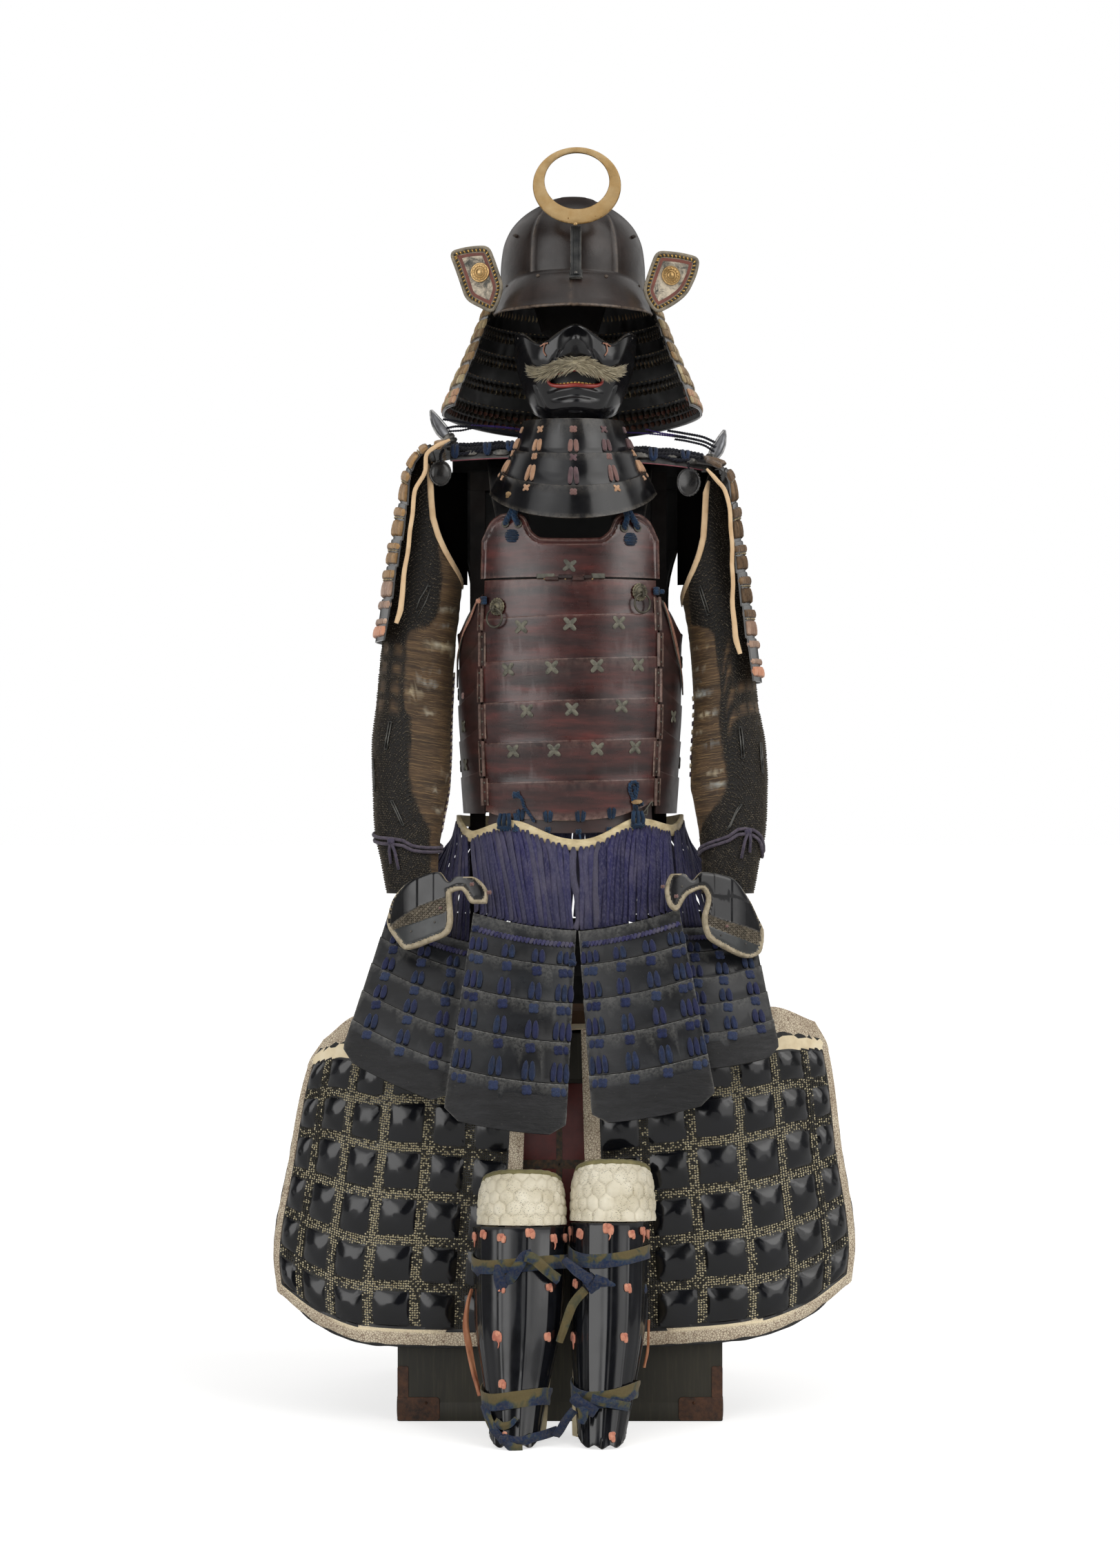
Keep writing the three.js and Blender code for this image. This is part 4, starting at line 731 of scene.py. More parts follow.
def thigh(side_):
    t = THIGH[side_]
    def f(u, v):
        x = lerp(t["inner"]["x"](v), t["outer"]["x"](v), u)
        a = np.maximum(np.abs(x) - 190, 0) / 200
        y = -216 - 9 * np.sin(v * np.pi * 0.6) + 132 * a * a * (1 - 0.35 * v)
        return vec(x, y, lerp(t["head"]["z"](u), t["foot"]["z"](u), v))
    return f


in_back = lambda p: np.broadcast_to(np.array([0, 1.0, 0]), p.shape)

SHIN = {"left": table("v x y w d z", (0, -52.5, -268, 61, 56, 277), (0.45, -54, -301, 57, 52, 160), (0.8, -57, -328, 41, 40, 60), (1, -58.5, -350, 32, 34, 0.4)),
        "right": table("v x y w d z", (0, 65, -268, 51, 54, 282), (0.45, 63, -301, 49, 50, 163), (0.8, 58, -328, 39, 40, 62), (1, 54, -350, 30.5, 34, 0.4))}
shinTop = table("a z", (0, 0), (50, -2), (92, -8))
shinFoot = table("a z", (0, 0), (18, 5), (34, 1), (60, 7), (92, 14))


def shin(sd, out=0.0, shaped=True):
    t = SHIN[sd]
    def f(u, v):
        s, c = np.sin(rad(u)), np.cos(rad(u))
        z = t["z"](v)
        if shaped:
            a = np.abs(u)
            z = z + shinTop["z"](a) * (1 - v) + shinFoot["z"](a) * v * v
        return vec(t["x"](v) + (t["w"](v) + out) * spow(s, 0.9), t["y"](v) - (t["d"](v) + out) * c, z)
    return f


in_shin = lambda sd: (lambda p: vec(float(SHIN[sd]["x"](0)) - p[..., 0], 1.0 + 0 * p[..., 0], 0))


def knee(sd):
    t = SHIN[sd]
    k = {c: float(t[c](0)) for c in "xywdz"}
    L = sd == "left"
    def f(u, v):
        q = 1 - v
        c, s = np.cos(rad(u)), np.sin(rad(u))
        topz = (344 if L else 357) - 24 * (np.abs(u) / 88) ** 2.4
        z = lerp(k["z"] + 1.5 - 6 * (u / 88) ** 2, topz, q)
        return vec(k["x"] + (2 if L else 4.5) + (k["w"] + (-2.5 if L else 5) - 5 * q**3) * spow(s, 0.9), k["y"] + 4 + 26 * q - (k["d"] + 2 - 8 * q * q) * c, z)
    return f


in_knee = lambda sd: (lambda p: vec(float(SHIN[sd]["x"](0)) - p[..., 0], float(SHIN[sd]["y"](0)) + 20 - p[..., 1], 0))

# ============================================================ templates for lacing and small fittings
BLOB = ellipsoid(6, 4)
PILL = ellipsoid(7, 5, 0.55)
CAP10 = ellipsoid(7, 5, 0.8)


def join_templates(*parts):
    """Several templates, each scaled, turned about Y-in-plane and moved: (template, size, place, degrees about Y)."""
    Vs, qs, ts, n = [], [], [], 0
    for (V, q, t), size, at, deg in parts:
        a = math.radians(deg)
        W = V * np.asarray(size, float)
        W = np.stack([W[:, 0] * math.cos(a) + W[:, 2] * math.sin(a), W[:, 1], -W[:, 0] * math.sin(a) + W[:, 2] * math.cos(a)], 1) + np.asarray(at, float)
        Vs.append(W)
        qs.append(q + n)
        ts.append(t + n)
        n += len(W)
    return np.concatenate(Vs), np.concatenate(qs), np.concatenate(ts)


# templates lie in X-Z (across, up) with Y standing off the surface
KNOT = join_templates((PILL, (0.36, 0.30, 0.98), (0, 0.12, 0), 45), (PILL, (0.36, 0.30, 0.98), (0, 0.26, 0), -45))
BUD4 = join_templates(*[(BLOB, (0.46, 0.34, 0.46), (0.42 * math.cos(math.radians(a)), 0.1, 0.42 * math.sin(math.radians(a))), 0) for a in (45, 135, 225, 315)], (BLOB, (0.3, 0.34, 0.3), (0, 0.22, 0), 0))
PETAL_X = join_templates(*[(CAP10, (0.25, 0.13, 0.46), (0.48 * math.sin(math.radians(a)), 0.04, 0.48 * math.cos(math.radians(a))), a) for a in (45, 135, 225, 315)], (BLOB, (0.2, 0.17, 0.2), (0, 0.05, 0), 0))
DOME = ellipsoid(10, 6)


def silk(name, stops, scale=90, sheen=0.5, rough=(0.6, 0.8), tint=None):
    return mottled(name, stops, scale, rough=rough, sheen=sheen, tint=tint, spec=0.25,
                   bumps=(("wave", 420, 0.5, 0.0006, (1, 1, 0.25)), ("noise", 700, 0.5, 0.0005)))


SALMON = silk("lace_salmon", [(0.3, lin("#ad8362")), (0.7, lin("#d4aa88"))], tint=(lin("#83604a"), 0.5)).m
MAUVE = silk("lace_mauve", [(0.3, lin("#3c2f35")), (0.7, lin("#6d5458"))], tint=(lin("#a57a6a"), 0.6)).m
TAN = silk("lace_tan", [(0.25, lin("#6f5638")), (0.5, lin("#9b7c55")), (0.75, lin("#c0a57e"))], scale=55, tint=(lin("#4b3a28"), 0.7)).m
CREAMLACE = silk("lace_cream", [(0.25, lin("#8f7a55")), (0.5, lin("#b9a67e")), (0.75, lin("#d6c8a6"))], scale=55, tint=(lin("#5f4e30"), 0.7)).m
OLIVE = silk("lace_olive", [(0.3, lin("#17130c")), (0.7, lin("#352c1b"))], sheen=0.2).m
RUST = silk("lace_rust", [(0.3, lin("#3d1e14")), (0.7, lin("#7a4630"))], sheen=0.2, tint=(lin("#2a2014"), 0.9)).m
PURPLE = silk("cord_purple", [(0.3, lin("#2a1c4a")), (0.7, lin("#45307a"))], sheen=0.3).m
NAVY = silk("cord_navy", [(0.3, lin("#10132c")), (0.6, lin("#1e2450")), (0.8, lin("#2e3563"))], scale=60, sheen=0.35, tint=(lin("#3f4153"), 0.6)).m
BLUE = silk("cord_blue", [(0.3, lin("#101c33")), (0.7, lin("#1f3557"))], scale=60, sheen=0.35).m
REDLIP = mottled("red_lacquer_trim", [(0.3, lin("#6e1712")), (0.7, lin("#9a3226"))], 60, rough=(0.3, 0.45), coat=0.3, edge=lin("#3a1512")).m
GOLDPAINT = mottled("gold_trim", [(0.3, lin("#8a6a34")), (0.7, lin("#d2ac63"))], 160, rough=(0.32, 0.5), metallic=0.75, edge=lin("#5a3f1c")).m
HAIR = silk("horsehair", [(0.25, lin("#a09578")), (0.6, lin("#d3c8aa")), (0.8, lin("#ece3ca"))], scale=120, sheen=0.3, rough=(0.55, 0.7), tint=(lin("#6a5c44"), 0.7)).m
# near-black for the insides of pieces, and the colour of the dark marks that paint shade in gaps and lacing holes
BLACK_INSIDE_AND_SHADE = mottled("black_inside_and_painted_shade", [(0.3, lin("#060607")), (0.7, lin("#0e0d0e"))], 25, rough=(0.35, 0.55), dust=(lin("#4c473d"), 0.25, 200)).m

# ============================================================ helmet bowl
HELM = dict(x=18, y=0, W=101, D=118, z=1540, h=132)
bowlT = table("v r h", (0, 0, 1), (0.16, 0.28, 0.965), (0.30, 0.51, 0.885), (0.44, 0.725, 0.770), (0.58, 0.885, 0.620), (0.72, 0.97, 0.440), (0.86, 1.0, 0.220), (1, 1.005, 0))


def bowl(u, v):
    u = rad(u)
    return vec(HELM["x"] + HELM["W"] * bowlT["r"](v) * np.sin(u), HELM["y"] - HELM["D"] * bowlT["r"](v) * np.cos(u), HELM["z"] + HELM["h"] * bowlT["h"](v))


bag = Bag()
us = np.arange(180) * 2.0 - 180
vs = np.concatenate([[0.004], np.linspace(0.02, 1.0, 64)])
inw = lambda p: np.array([HELM["x"], HELM["y"], HELM["z"] - 10]) - p
P, N, U, W_ = sheet_grid(bowl, us, vs, inw, 0.0, du=0.5, dv=2e-3)
ridges = (-34, 36, -146, 146)
d_ = np.min([np.abs(U - a) * (np.sin(rad(0)) + 1.0) for a in ridges], 0)
fold = 1.5 * gauss(d_, 1.1) * smooth(W_, 0.16, 0.34) - 0.5 * gauss(d_ - 2.4, 1.0) * smooth(W_, 0.16, 0.3)
plate = np.where((U > -34) & (U < 36), 0.9, 0) + np.where((np.abs(U) > 146), 0.9, 0)
crown = 1.2 * smooth(W_, 0.20, 0.17)
P = P + N * (fold + plate * smooth(W_, 0.14, 0.2) + crown)[..., None]
wear = clamp(0.5 * gauss(d_, 1.4) * smooth(W_, 0.2, 0.4) + 0.5 * (W_ > 0.985))
shell(bag, P, N, 2.4, wrap=True, mask=wear, inner_mat=1)
# crown finial cap: closes the pole
c0 = P[0].mean(0)
b = bag.add(np.concatenate([P[0], [c0]]), np.zeros((0, 4), int))
j = np.arange(len(us))
tri = np.stack([b + j, b + (j + 1) % len(us), np.full(len(us), b + len(us))], 1)
a3 = np.cross(P[0][1] - P[0][0], c0 - P[0][0])
bag.faces(tri if a3[2] > 0 else tri[:, ::-1], 0)
# knobs
for u0, v0 in ((-55, 0.66), (60, 0.66), (-125, 0.66), (125, 0.66)):
    p, n, tu, tv = frames(bowl, np.array([float(u0)]), np.array([v0]), inw, 0.5, 2e-3)
    s_ = 1 if u0 > 0 else -1
    stamp(bag, DOME, p + n * 1.2, tu, n, tv, size=(3.2, 4.2, 2.6), mask=(0.4, 0, 0))
    stamp(bag, DOME, p + n * 2.2 + tu * 2.5 * s_, tu, n, tv, size=(3.8, 2.6, 1.6), mask=(0.4, 0, 0))
bag.build("helmet_bowl_fine", [BROWN, BLACK_INSIDE_AND_SHADE], replaces="helmet_bowl")

# ============================================================ visor
visT = table("a top low proud", (0, 1553, 1498, 50), (30, 1552, 1498, 45), (48, 1548, 1499, 41), (64, 1538, 1500, 31), (77, 1519, 1502, 15))


def visor(u, v):
    a = np.abs(u)
    proud = 4.2 + visT["proud"](a) * v
    z = lerp(visT["top"](a), visT["low"](a), np.maximum(v, 0) ** 1.15) + np.sin(v * np.pi) * 5
    return vec(HELM["x"] + (HELM["W"] + proud * 0.55) * np.sin(rad(u)), HELM["y"] - (HELM["D"] + proud) * np.cos(rad(u)), z)


bag = Bag()
inv = lambda p: vec(HELM["x"] - p[..., 0], HELM["y"] - p[..., 1], -40.0)
us, vs = np.linspace(-77, 77, 111), np.concatenate([np.linspace(0, 0.9, 22), [0.94, 0.965, 0.98, 0.992, 1.0]])
P, N, U, W_ = sheet_grid(visor, us, vs, inv, 0.0, 0.3, 2e-3)
roll = np.interp(vs, [0.9, 0.955, 0.98, 1.0], [0, 1.1, 1.3, 0.3])[:, None]
crease = -1.1 * gauss(U - 0.5, 0.75) * smooth(W_, 0.3, 0.7) + 0.8 * gauss(U - 2.3, 1.1) * smooth(W_, 0.3, 0.7) + 0.8 * gauss(U + 1.6, 1.1) * smooth(W_, 0.3, 0.7)
fl = 2.6 * gauss(W_ - 0.03, 0.05)                              # the plate laps over the bowl's foot
P = P + N * (roll + crease + fl)[..., None]
shell(bag, P, N, 2.2, mask=clamp(0.9 * (W_ > 0.97) + 0.5 * (W_ < 0.03) + 0.25 * gauss(U + 1.6, 1.2)), inner_mat=1)
for u0, v0, s_ in ((-26, 0.24, 3.0), (24, 0.28, 3.0), (-58, 0.2, 2.2), (58, 0.2, 2.2), (-72, 0.4, 2.0), (72, 0.4, 2.0)):
    p, n, tu, tv = frames(visor, np.array([float(u0)]), np.array([v0]), inv, 0.3, 2e-3)
    stamp(bag, DOME, p + n * 0.3, tu, n, tv, size=(s_, s_ * 0.75, s_), mask=(0.8, 0, 0))
bag.build("helmet_visor_fine", [BROWN, BLACK_INSIDE_AND_SHADE], replaces="helmet_visor")

# crest holder: strap with a raised middle, foot plate and rivet
holdT = table("s y z", (0, -147, 1543), (0.25, -138, 1556), (0.5, -134, 1574), (0.75, -131.5, 1592), (1, -129.5, 1611))
hold = lambda u, v: vec(XC + 7.5 + u, holdT["y"](v), holdT["z"](v))
bag = Bag()
ih = lambda p: np.broadcast_to(np.array([0, 1.0, 0.2]), p.shape)
us, vs = np.array([-7.5, -7.2, -6.6, -3.6, -3.0, 3.0, 3.6, 6.6, 7.2, 7.5]), np.linspace(0, 1, 30)
P, N, U, W_ = sheet_grid(hold, us, vs, ih, 0.0, 0.3, 2e-3)
P = P + N * np.array([-1.0, -0.4, 0, 0, 0.8, 0.8, 0, 0, -0.4, -1.0])[None, :, None]
shell(bag, P, N, 2.6, mask=clamp(np.abs(U) > 6.8) * 0.7)
us, vs = np.array([-9.0, -8.6, -7.6, 0, 7.6, 8.6, 9.0]), np.array([0.0, 0.006, 0.02, 0.12, 0.2, 0.225, 0.235])
P, N, U, W_ = sheet_grid(hold, us, vs, ih, 0.0, 0.3, 2e-3)
ed = np.array([0, 0.7, 1.0, 1.0, 1.0, 0.7, 0])[None, :] * np.array([0, 0.7, 1, 1, 1, 0.7, 0])[:, None]
P = P + N * (2.2 * ed)[..., None] + np.array([0, -0.4, -5.0])
shell(bag, P, N, 2.2, mask=(1 - ed) * 0.8)
p, n, tu, tv = frames(hold, np.array([0.0]), np.array([0.10]), ih, 0.3, 2e-3)
stamp(bag, DOME, p + n * 2.0 + [0, 0, -4], tu, n, tv, size=(3.0, 2.2, 3.0), mask=(0.8, 0, 0))
bag.build("crest_holder_fine", [STEEL], replaces="crest_holder")

# crest ring: flat plate with eased edges, its hole set high
CREST = dict(r=60, hole=44, up=7.2, t=3.0, lean=21, x=XC + 9, y=-130, z=1666.3)
bag = Bag()
a = np.linspace(0, 2 * np.pi, 145)[:-1]
prof = [(0.0, -1.5), (0.15, -1.5), (0.85, -1.5), (1.0, -1.5), (1.0, 1.5), (0.85, 1.5), (0.15, 1.5), (0.0, 1.5)]
rows = []
ring_pts = [(0.0, -0.55), (0.0, 0.55), (0.035, 1.35), (0.09, 1.5), (0.35, 1.55), (0.65, 1.55), (0.91, 1.5), (0.965, 1.35), (1.0, 0.55), (1.0, -0.55), (0.965, -1.35), (0.91, -1.5), (0.5, -1.5), (0.09, -1.5), (0.035, -1.35)]
for s_, h_ in ring_pts:
    X0, Z0 = CREST["hole"] * np.cos(a), CREST["up"] + CREST["hole"] * np.sin(a)
    X1, Z1 = CREST["r"] * np.cos(a), CREST["r"] * np.sin(a)
    rows.append(np.stack([lerp(X0, X1, s_), np.full_like(a, -h_), lerp(Z0, Z1, s_)], -1))
rows = np.array(rows)
L_ = math.radians(CREST["lean"])
rot = lambda q: np.stack([q[..., 0], q[..., 1] * math.cos(L_) + q[..., 2] * math.sin(L_) * 1.0, -q[..., 1] * math.sin(L_) + q[..., 2] * math.cos(L_)], -1)
ctr = np.array([CREST["x"], CREST["y"], CREST["z"]])
rr = rot(rows) + ctr
Rn, Cn = rr.shape[:2]
F = grid_faces(Rn + 1, Cn, wrap=True) % (Rn * Cn)
edge_ = np.array([0.9, 0.9, 0.7, 0.15, 0, 0, 0.15, 0.7, 0.9, 0.9, 0.7, 0.1, 0, 0.1, 0.7])
bag.add(rr.reshape(-1, 3), F, mask=np.repeat(edge_[:, None], Cn, 1).reshape(-1))
for x_, z_, s_ in ((-11.5, -52, 1.5), (25.0, -48.5, 1.0)):
    q_ = rot(np.array([[x_, -1.4, z_]])) + ctr
    yv = rot(np.array([[0, -1.0, 0]]))
    stamp(bag, DOME, q_, [[1.0, 0, 0]], yv, rot(np.array([[0, 0, 1.0]])), size=(s_, 0.5, s_), mask=(1, 0, 0))
# pin that holds the ring to its strap
q_ = rot(np.array([[-2.2, -1.0, -59.5]])) + ctr
stamp(bag, DOME, q_ + [0, -1, -1.0], [[1.0, 0, 0]], [[0, -1.0, 0]], [[0, 0, 1.0]], size=(3.0, 2.2, 2.4), mask=(0.2, 0, 0))
bag.build("crest_ring_fine", [GILT], replaces="crest_ring")

# ============================================================ wings
LEATHERPRINT = Nodes("printed_leather")
k = LEATHERPRINT
g1 = k.noise(26, 6, 0.7)
g2 = k.noise(70, 8, 0.75, distortion=0.6)
fieldc = k.mix(k.gray(k.math("MULTIPLY", g1, g2), [(0.2, 0), (0.30, 1)]), k.ramp(g2, [(0.35, lin("#3a3b37")), (0.62, lin("#8f887b"))]), k.ramp(g1, [(0.3, lin("#b6a793")), (0.7, lin("#cfc3ae"))]))
k.set(Base_Color=fieldc, Roughness=0.72, Normal=k.bump(k.noise(400, 4), 0.3, 0.0006))
REDLEATHER = mottled("red_leather", [(0.3, lin("#5a2f26")), (0.7, lin("#7d4638"))], 60, rough=(0.55, 0.7), bumps=(("noise", 500, 0.3, 0.0005),)).m
GREYRIM = mottled("grey_rim", [(0.3, lin("#5b5448")), (0.5, lin("#7d7464")), (0.7, lin("#9a8f7b"))], 90, rough=(0.65, 0.8), bumps=(("noise", 300, 0.5, 0.0008),)).m
BEADDARK = mottled("bead_dark", [(0.3, lin("#1b1712")), (0.7, lin("#2b241b"))], 90, rough=(0.4, 0.6)).m


def smooth_outline(pts, n=220, corner=5.0):
    """A closed outline with its corners eased, as n even points."""
    p = np.asarray(pts, float)
    out = []
    m = len(p)
    for i in range(m):
        a, b, c = p[i - 1], p[i], p[(i + 1) % m]
        d0, d1 = np.linalg.norm(a - b), np.linalg.norm(c - b)
        ca = ((a - b) @ (c - b)) / (d0 * d1)
        cut_ = min(corner if ca > -0.82 else 16.0, 0.45 * d0, 0.45 * d1)
        s0, s1 = b + (a - b) / d0 * cut_, b + (c - b) / d1 * cut_
        for t in np.linspace(0, 1, 7):
            out.append((1 - t) ** 2 * s0 + 2 * t * (1 - t) * b + t * t * s1)
    out = np.array(out)
    out = np.concatenate([out, out[:1]])
    s = np.concatenate([[0], np.cumsum(np.linalg.norm(np.diff(out, axis=0), axis=1))])
    q = np.linspace(0, s[-1], n + 1)[:-1]
    r = np.stack([np.interp(q, s, out[:, 0]), np.interp(q, s, out[:, 1])], 1)
    for _ in range(3):
        r = 0.25 * np.roll(r, 1, 0) + 0.5 * r + 0.25 * np.roll(r, -1, 0)
    return r


def inset(o, d):
    T = np.roll(o, -1, 0) - np.roll(o, 1, 0)
    Nn = unit(np.stack([-T[:, 1], T[:, 0]], 1))
    area = 0.5 * np.sum(o[:, 0] * np.roll(o[:, 1], -1) - np.roll(o[:, 0], -1) * o[:, 1])
    q = o + Nn * d * (1 if area > 0 else -1)
    for _ in range(4):
        q = 0.25 * np.roll(q, 1, 0) + 0.5 * q + 0.25 * np.roll(q, -1, 0)
    return q


def even(o, step):
    p = np.concatenate([o, o[:1]])
    s = np.concatenate([[0], np.cumsum(np.linalg.norm(np.diff(p, axis=0), axis=1))])
    n = int(s[-1] / step)
    q = np.linspace(0, s[-1], n + 1)[:-1]
    return np.stack([np.interp(q, s, p[:, 0]), np.interp(q, s, p[:, 1])], 1)


def wing(name, pts, yf, boss, node):
    o = smooth_outline(pts, 200, 9.0)
    on = lambda q, out=0.0: vec(q[:, 0], yf(q[:, 0], q[:, 1]) - out, q[:, 1])
    bag = Bag()
    c = o.mean(0)
    ins = [inset(o, d) for d in (0, 3.5, 6.5, 8.5, 12.8)]
    offs = [(0, 0.0), (1, 0.1), (2, 0.1), (3, 0.6), (4, 0.6)]
    front = [on(ins[i], h) for i, h in offs] + [on(c + (ins[4] - c) * s_, 0.25) for s_ in (0.97, 0.75, 0.5, 0.25, 0.04)]
    back = [on(c + (ins[4] - c) * s_, -3.8) for s_ in (0.04, 0.5)] + [on(ins[4], -3.8), on(ins[0], -3.8)]
    rings = np.array(back + front)
    R, C = rings.shape[:2]
    F = grid_faces(R, C, wrap=True)
    b0 = bag.add(rings.reshape(-1, 3), np.zeros((0, 4), int))
    mats = [2, 2, 2, 2, 2, 2, 2, 1, 0, 0, 0, 0, 0]
    a_, b_ = rings[4][1] - rings[4][0], rings[5][0] - rings[4][0]
    flip = np.cross(a_, b_)[1] > 0
    for r_ in range(R - 1):
        q = F[r_ * C : (r_ + 1) * C] + b0
        bag.faces(q[:, ::-1] if flip else q, mats[r_])
    for row, h_ in ((0, 2), (R - 1, 0)):
        cc = bag.add(rings[row].mean(0)[None], np.zeros((0, 4), int))
        j = np.arange(C)
        tri = np.stack([b0 + row * C + j, b0 + row * C + (j + 1) % C, np.full(C, cc)], 1)
        bag.faces(tri[:, ::-1] if (row == 0) != flip else tri, h_)
    # rim roll
    sweep(bag, on(inset(o, 1.2), -0.8)[:, :] , 2.5, 8, 2, up=(0, 1, 0), closed=True)
    # beaded cord between rim and border
    bd = even(inset(o, 5.2), 2.7)
    P = on(bd, 0.9)
    T = unit(np.roll(P, -1, 0) - np.roll(P, 1, 0))
    Yn = np.array([[0, -1.0, 0]])
    X = unit(np.cross(T, np.broadcast_to(Yn, T.shape)))
    for m_, sl in ((3, slice(0, None, 2)), (4, slice(1, None, 2))):
        d = unit(X[sl] + 0.6 * T[sl])
        stamp(bag, PILL, P[sl], np.cross(d, np.broadcast_to(Yn, d.shape)), Yn, d, mat=m_, size=(1.35, 1.5, 2.1))
    # boss: a plain rosette of rings and beads
    bc = np.array(boss)
    cen = on(bc[None], 0)[0]
    nrm = unit(np.array([yf(bc[0] - 1, bc[1]) - yf(bc[0] + 1, bc[1]), -2.0, 0]))
    wide_ = 5.0                                                                # facing of the wing from its own depth at both sides
    nrm = unit(np.cross(on((bc + [0, wide_])[None], 0)[0] - on((bc - [0, wide_])[None], 0)[0], on((bc + [wide_, 0])[None], 0)[0] - on((bc - [wide_, 0])[None], 0)[0]))
    nrm = nrm if nrm[1] < 0 else -nrm
    cen = cen + 1.2 * nrm
    tx = unit(np.cross(nrm, np.array([0, 0, 1.0]))) * -1
    tz = np.cross(tx, nrm)
    tz = tz if tz[2] > 0 else -tz
    prof = [(13.4, 0.2), (13.4, 1.2), (12.8, 1.9), (12.0, 1.9), (11.5, 1.5), (10.2, 2.0), (8.6, 2.2), (8.0, 1.7), (7.4, 2.2), (5.8, 2.5), (5.2, 2.0), (4.6, 2.6), (2.4, 3.4), (0.3, 3.7)]
    aa = np.arange(60) / 60 * 2 * np.pi
    rr = np.array([[cen + (r_ + (0.45 * math.cos(12 * t) if 9 < r_ < 12.5 else 0)) * (math.cos(t) * tx + math.sin(t) * tz) + h_ * nrm for t in aa] for r_, h_ in prof])
    dirn = np.cross(rr[1][1] - rr[1][0], rr[2][0] - rr[1][0]) @ (rr[1][0] - cen)
    loft(bag, rr, mat=5, mask=None, cap=True, flip=dirn > 0)
    t16 = np.arange(16) / 16 * 2 * np.pi
    bp = cen + 9.4 * (np.cos(t16)[:, None] * tx + np.sin(t16)[:, None] * tz) + 2.3 * nrm
    stamp(bag, BLOB, bp, tx, nrm, tz, mat=5, size=(1.0, 0.8, 1.0))
    bag.build(name, [LEATHERPRINT.m, REDLEATHER, GREYRIM, GOLDPAINT, BEADDARK, GILT], replaces=node)


wing("wing_left_fine", [(-152, 1585), (-126, 1591), (-98, 1591), (-90, 1570), (-78, 1534), (-84, 1514), (-92, 1499), (-110, 1508), (-129, 1519), (-141, 1556)],
     lambda x, z: -94 + (x + 78) * -0.28 - ((x + 115) / 40) ** 2 * 3, (-109.5, 1555), "wing_left")
wing("wing_right_fine", [(133, 1584), (165, 1583), (192, 1577), (188, 1555), (175, 1527), (155, 1511), (133, 1499), (122, 1511), (114, 1529), (124, 1560)],
     lambda x, z: -94 + (x - 114) * 0.28 - ((x - 153) / 40) ** 2 * 3, (152, 1551), "wing_right")

# ============================================================ neck guard
NECK = dict(x=17, y=20, end=128)
neckT = table("v w back front z", (0, 114, 120, 78, 1537), (0.25, 130, 133, 98, 1493), (0.5, 146, 147, 114, 1448), (0.75, 165, 163, 130, 1402), (1, 182, 180, 146, 1356))


def neck(u, v):
    s, c = np.sin(rad(u)), np.cos(rad(u))
    y = np.where(c > 0, neckT["back"](v) * c, neckT["front"](v) * c)
    w = np.where(c > 0, s, spow(s, 0.45))
    return vec(NECK["x"] + neckT["w"](v) * w, NECK["y"] + y, neckT["z"](v) + v * (15 * s * s + np.where(c < 0, -c * 16, 0)))


inn_ = lambda p: vec(NECK["x"] - p[..., 0], NECK["y"] - p[..., 1], 0)
bag = Bag()
us = np.concatenate([np.linspace(-128, -84, 30), np.linspace(-82, 82, 83), np.linspace(84, 128, 30)])
vs, off, ed = lame_rows(0, 1, [0.2, 0.4, 0.6, 0.8], 2.0, per=4, lip=0.05)
P, N, U, W_ = sheet_grid(neck, us, vs, inn_, off, 0.4, 2e-3)
shell(bag, P, N, 2.0, mask=ed[:, None] * 0.5 + 0 * U, inner_mat=1)
# outside lacing: close columns of silk from lame to lame
tops = [0.0, 0.2, 0.4, 0.6, 0.8, 1.0]
cols = np.arange(-127, 127.1, 3.0)
for k_ in range(5):
    v1 = tops[k_ + 1]
    m_ = 5 if k_ == 4 else 2
    for part, (va, vb) in enumerate(((v1 - 0.148, v1 - 0.062), (v1 - 0.062, v1 + 0.014)) if k_ < 4 else ((0.86, 0.925), (0.925, 0.985))):
        jit = 0.004 * (hash01(cols, k_ * 3.0 + part) - 0.5)
        mid, hh = (va + vb) / 2 + jit, (vb - va) / 2
        p, n, tu, tv = frames(neck, cols, mid, inn_, 0.4, 2e-3)
        length = np.linalg.norm(neck(cols, mid + hh) - neck(cols, mid - hh), axis=-1) / 2
        wid = np.linalg.norm(neck(cols + 1.5, mid) - neck(cols - 1.5, mid), axis=-1) / 2
        sz = np.stack([wid * 1.05, np.full_like(wid, 3.0), length * 1.1], 1)
        shade = np.stack([0 * cols, hash01(cols, k_ + 5.0 + part), 0 * cols], 1)
        for s_ in range(2):
            sel = (hash01(cols, k_ * 7.0 + part * 3) > 0.55) == bool(s_)
            stamp(bag, PILL, (p + n * 1.6)[sel], tu[sel], n[sel], tv[sel], mat=(2 + s_) if k_ < 4 else (3 if s_ else 6), size=sz[sel], mask=shade[sel])
# turned-out collar that carries the neck guard under the rim of the bowl
cu = np.linspace(-127, 127, 120)
outer = neck(cu, np.zeros_like(cu))
dx, dy = outer[:, 0] - HELM["x"], outer[:, 1] - HELM["y"]
k_in = 1.0 / np.sqrt((dx / (HELM["W"] - 0.5)) ** 2 + (dy / (HELM["D"] - 0.5)) ** 2)
inner = np.stack([HELM["x"] + dx * k_in, HELM["y"] + dy * k_in, np.full_like(cu, 1540.5)], 1)
rows_ = np.stack([inner, lerp(inner, outer, 0.5) + [0, 0, 0.3], outer + [0, 0, -0.6]])
shell(bag, rows_, np.broadcast_to(np.array([0, 0, 1.0]), rows_.shape), 1.6)
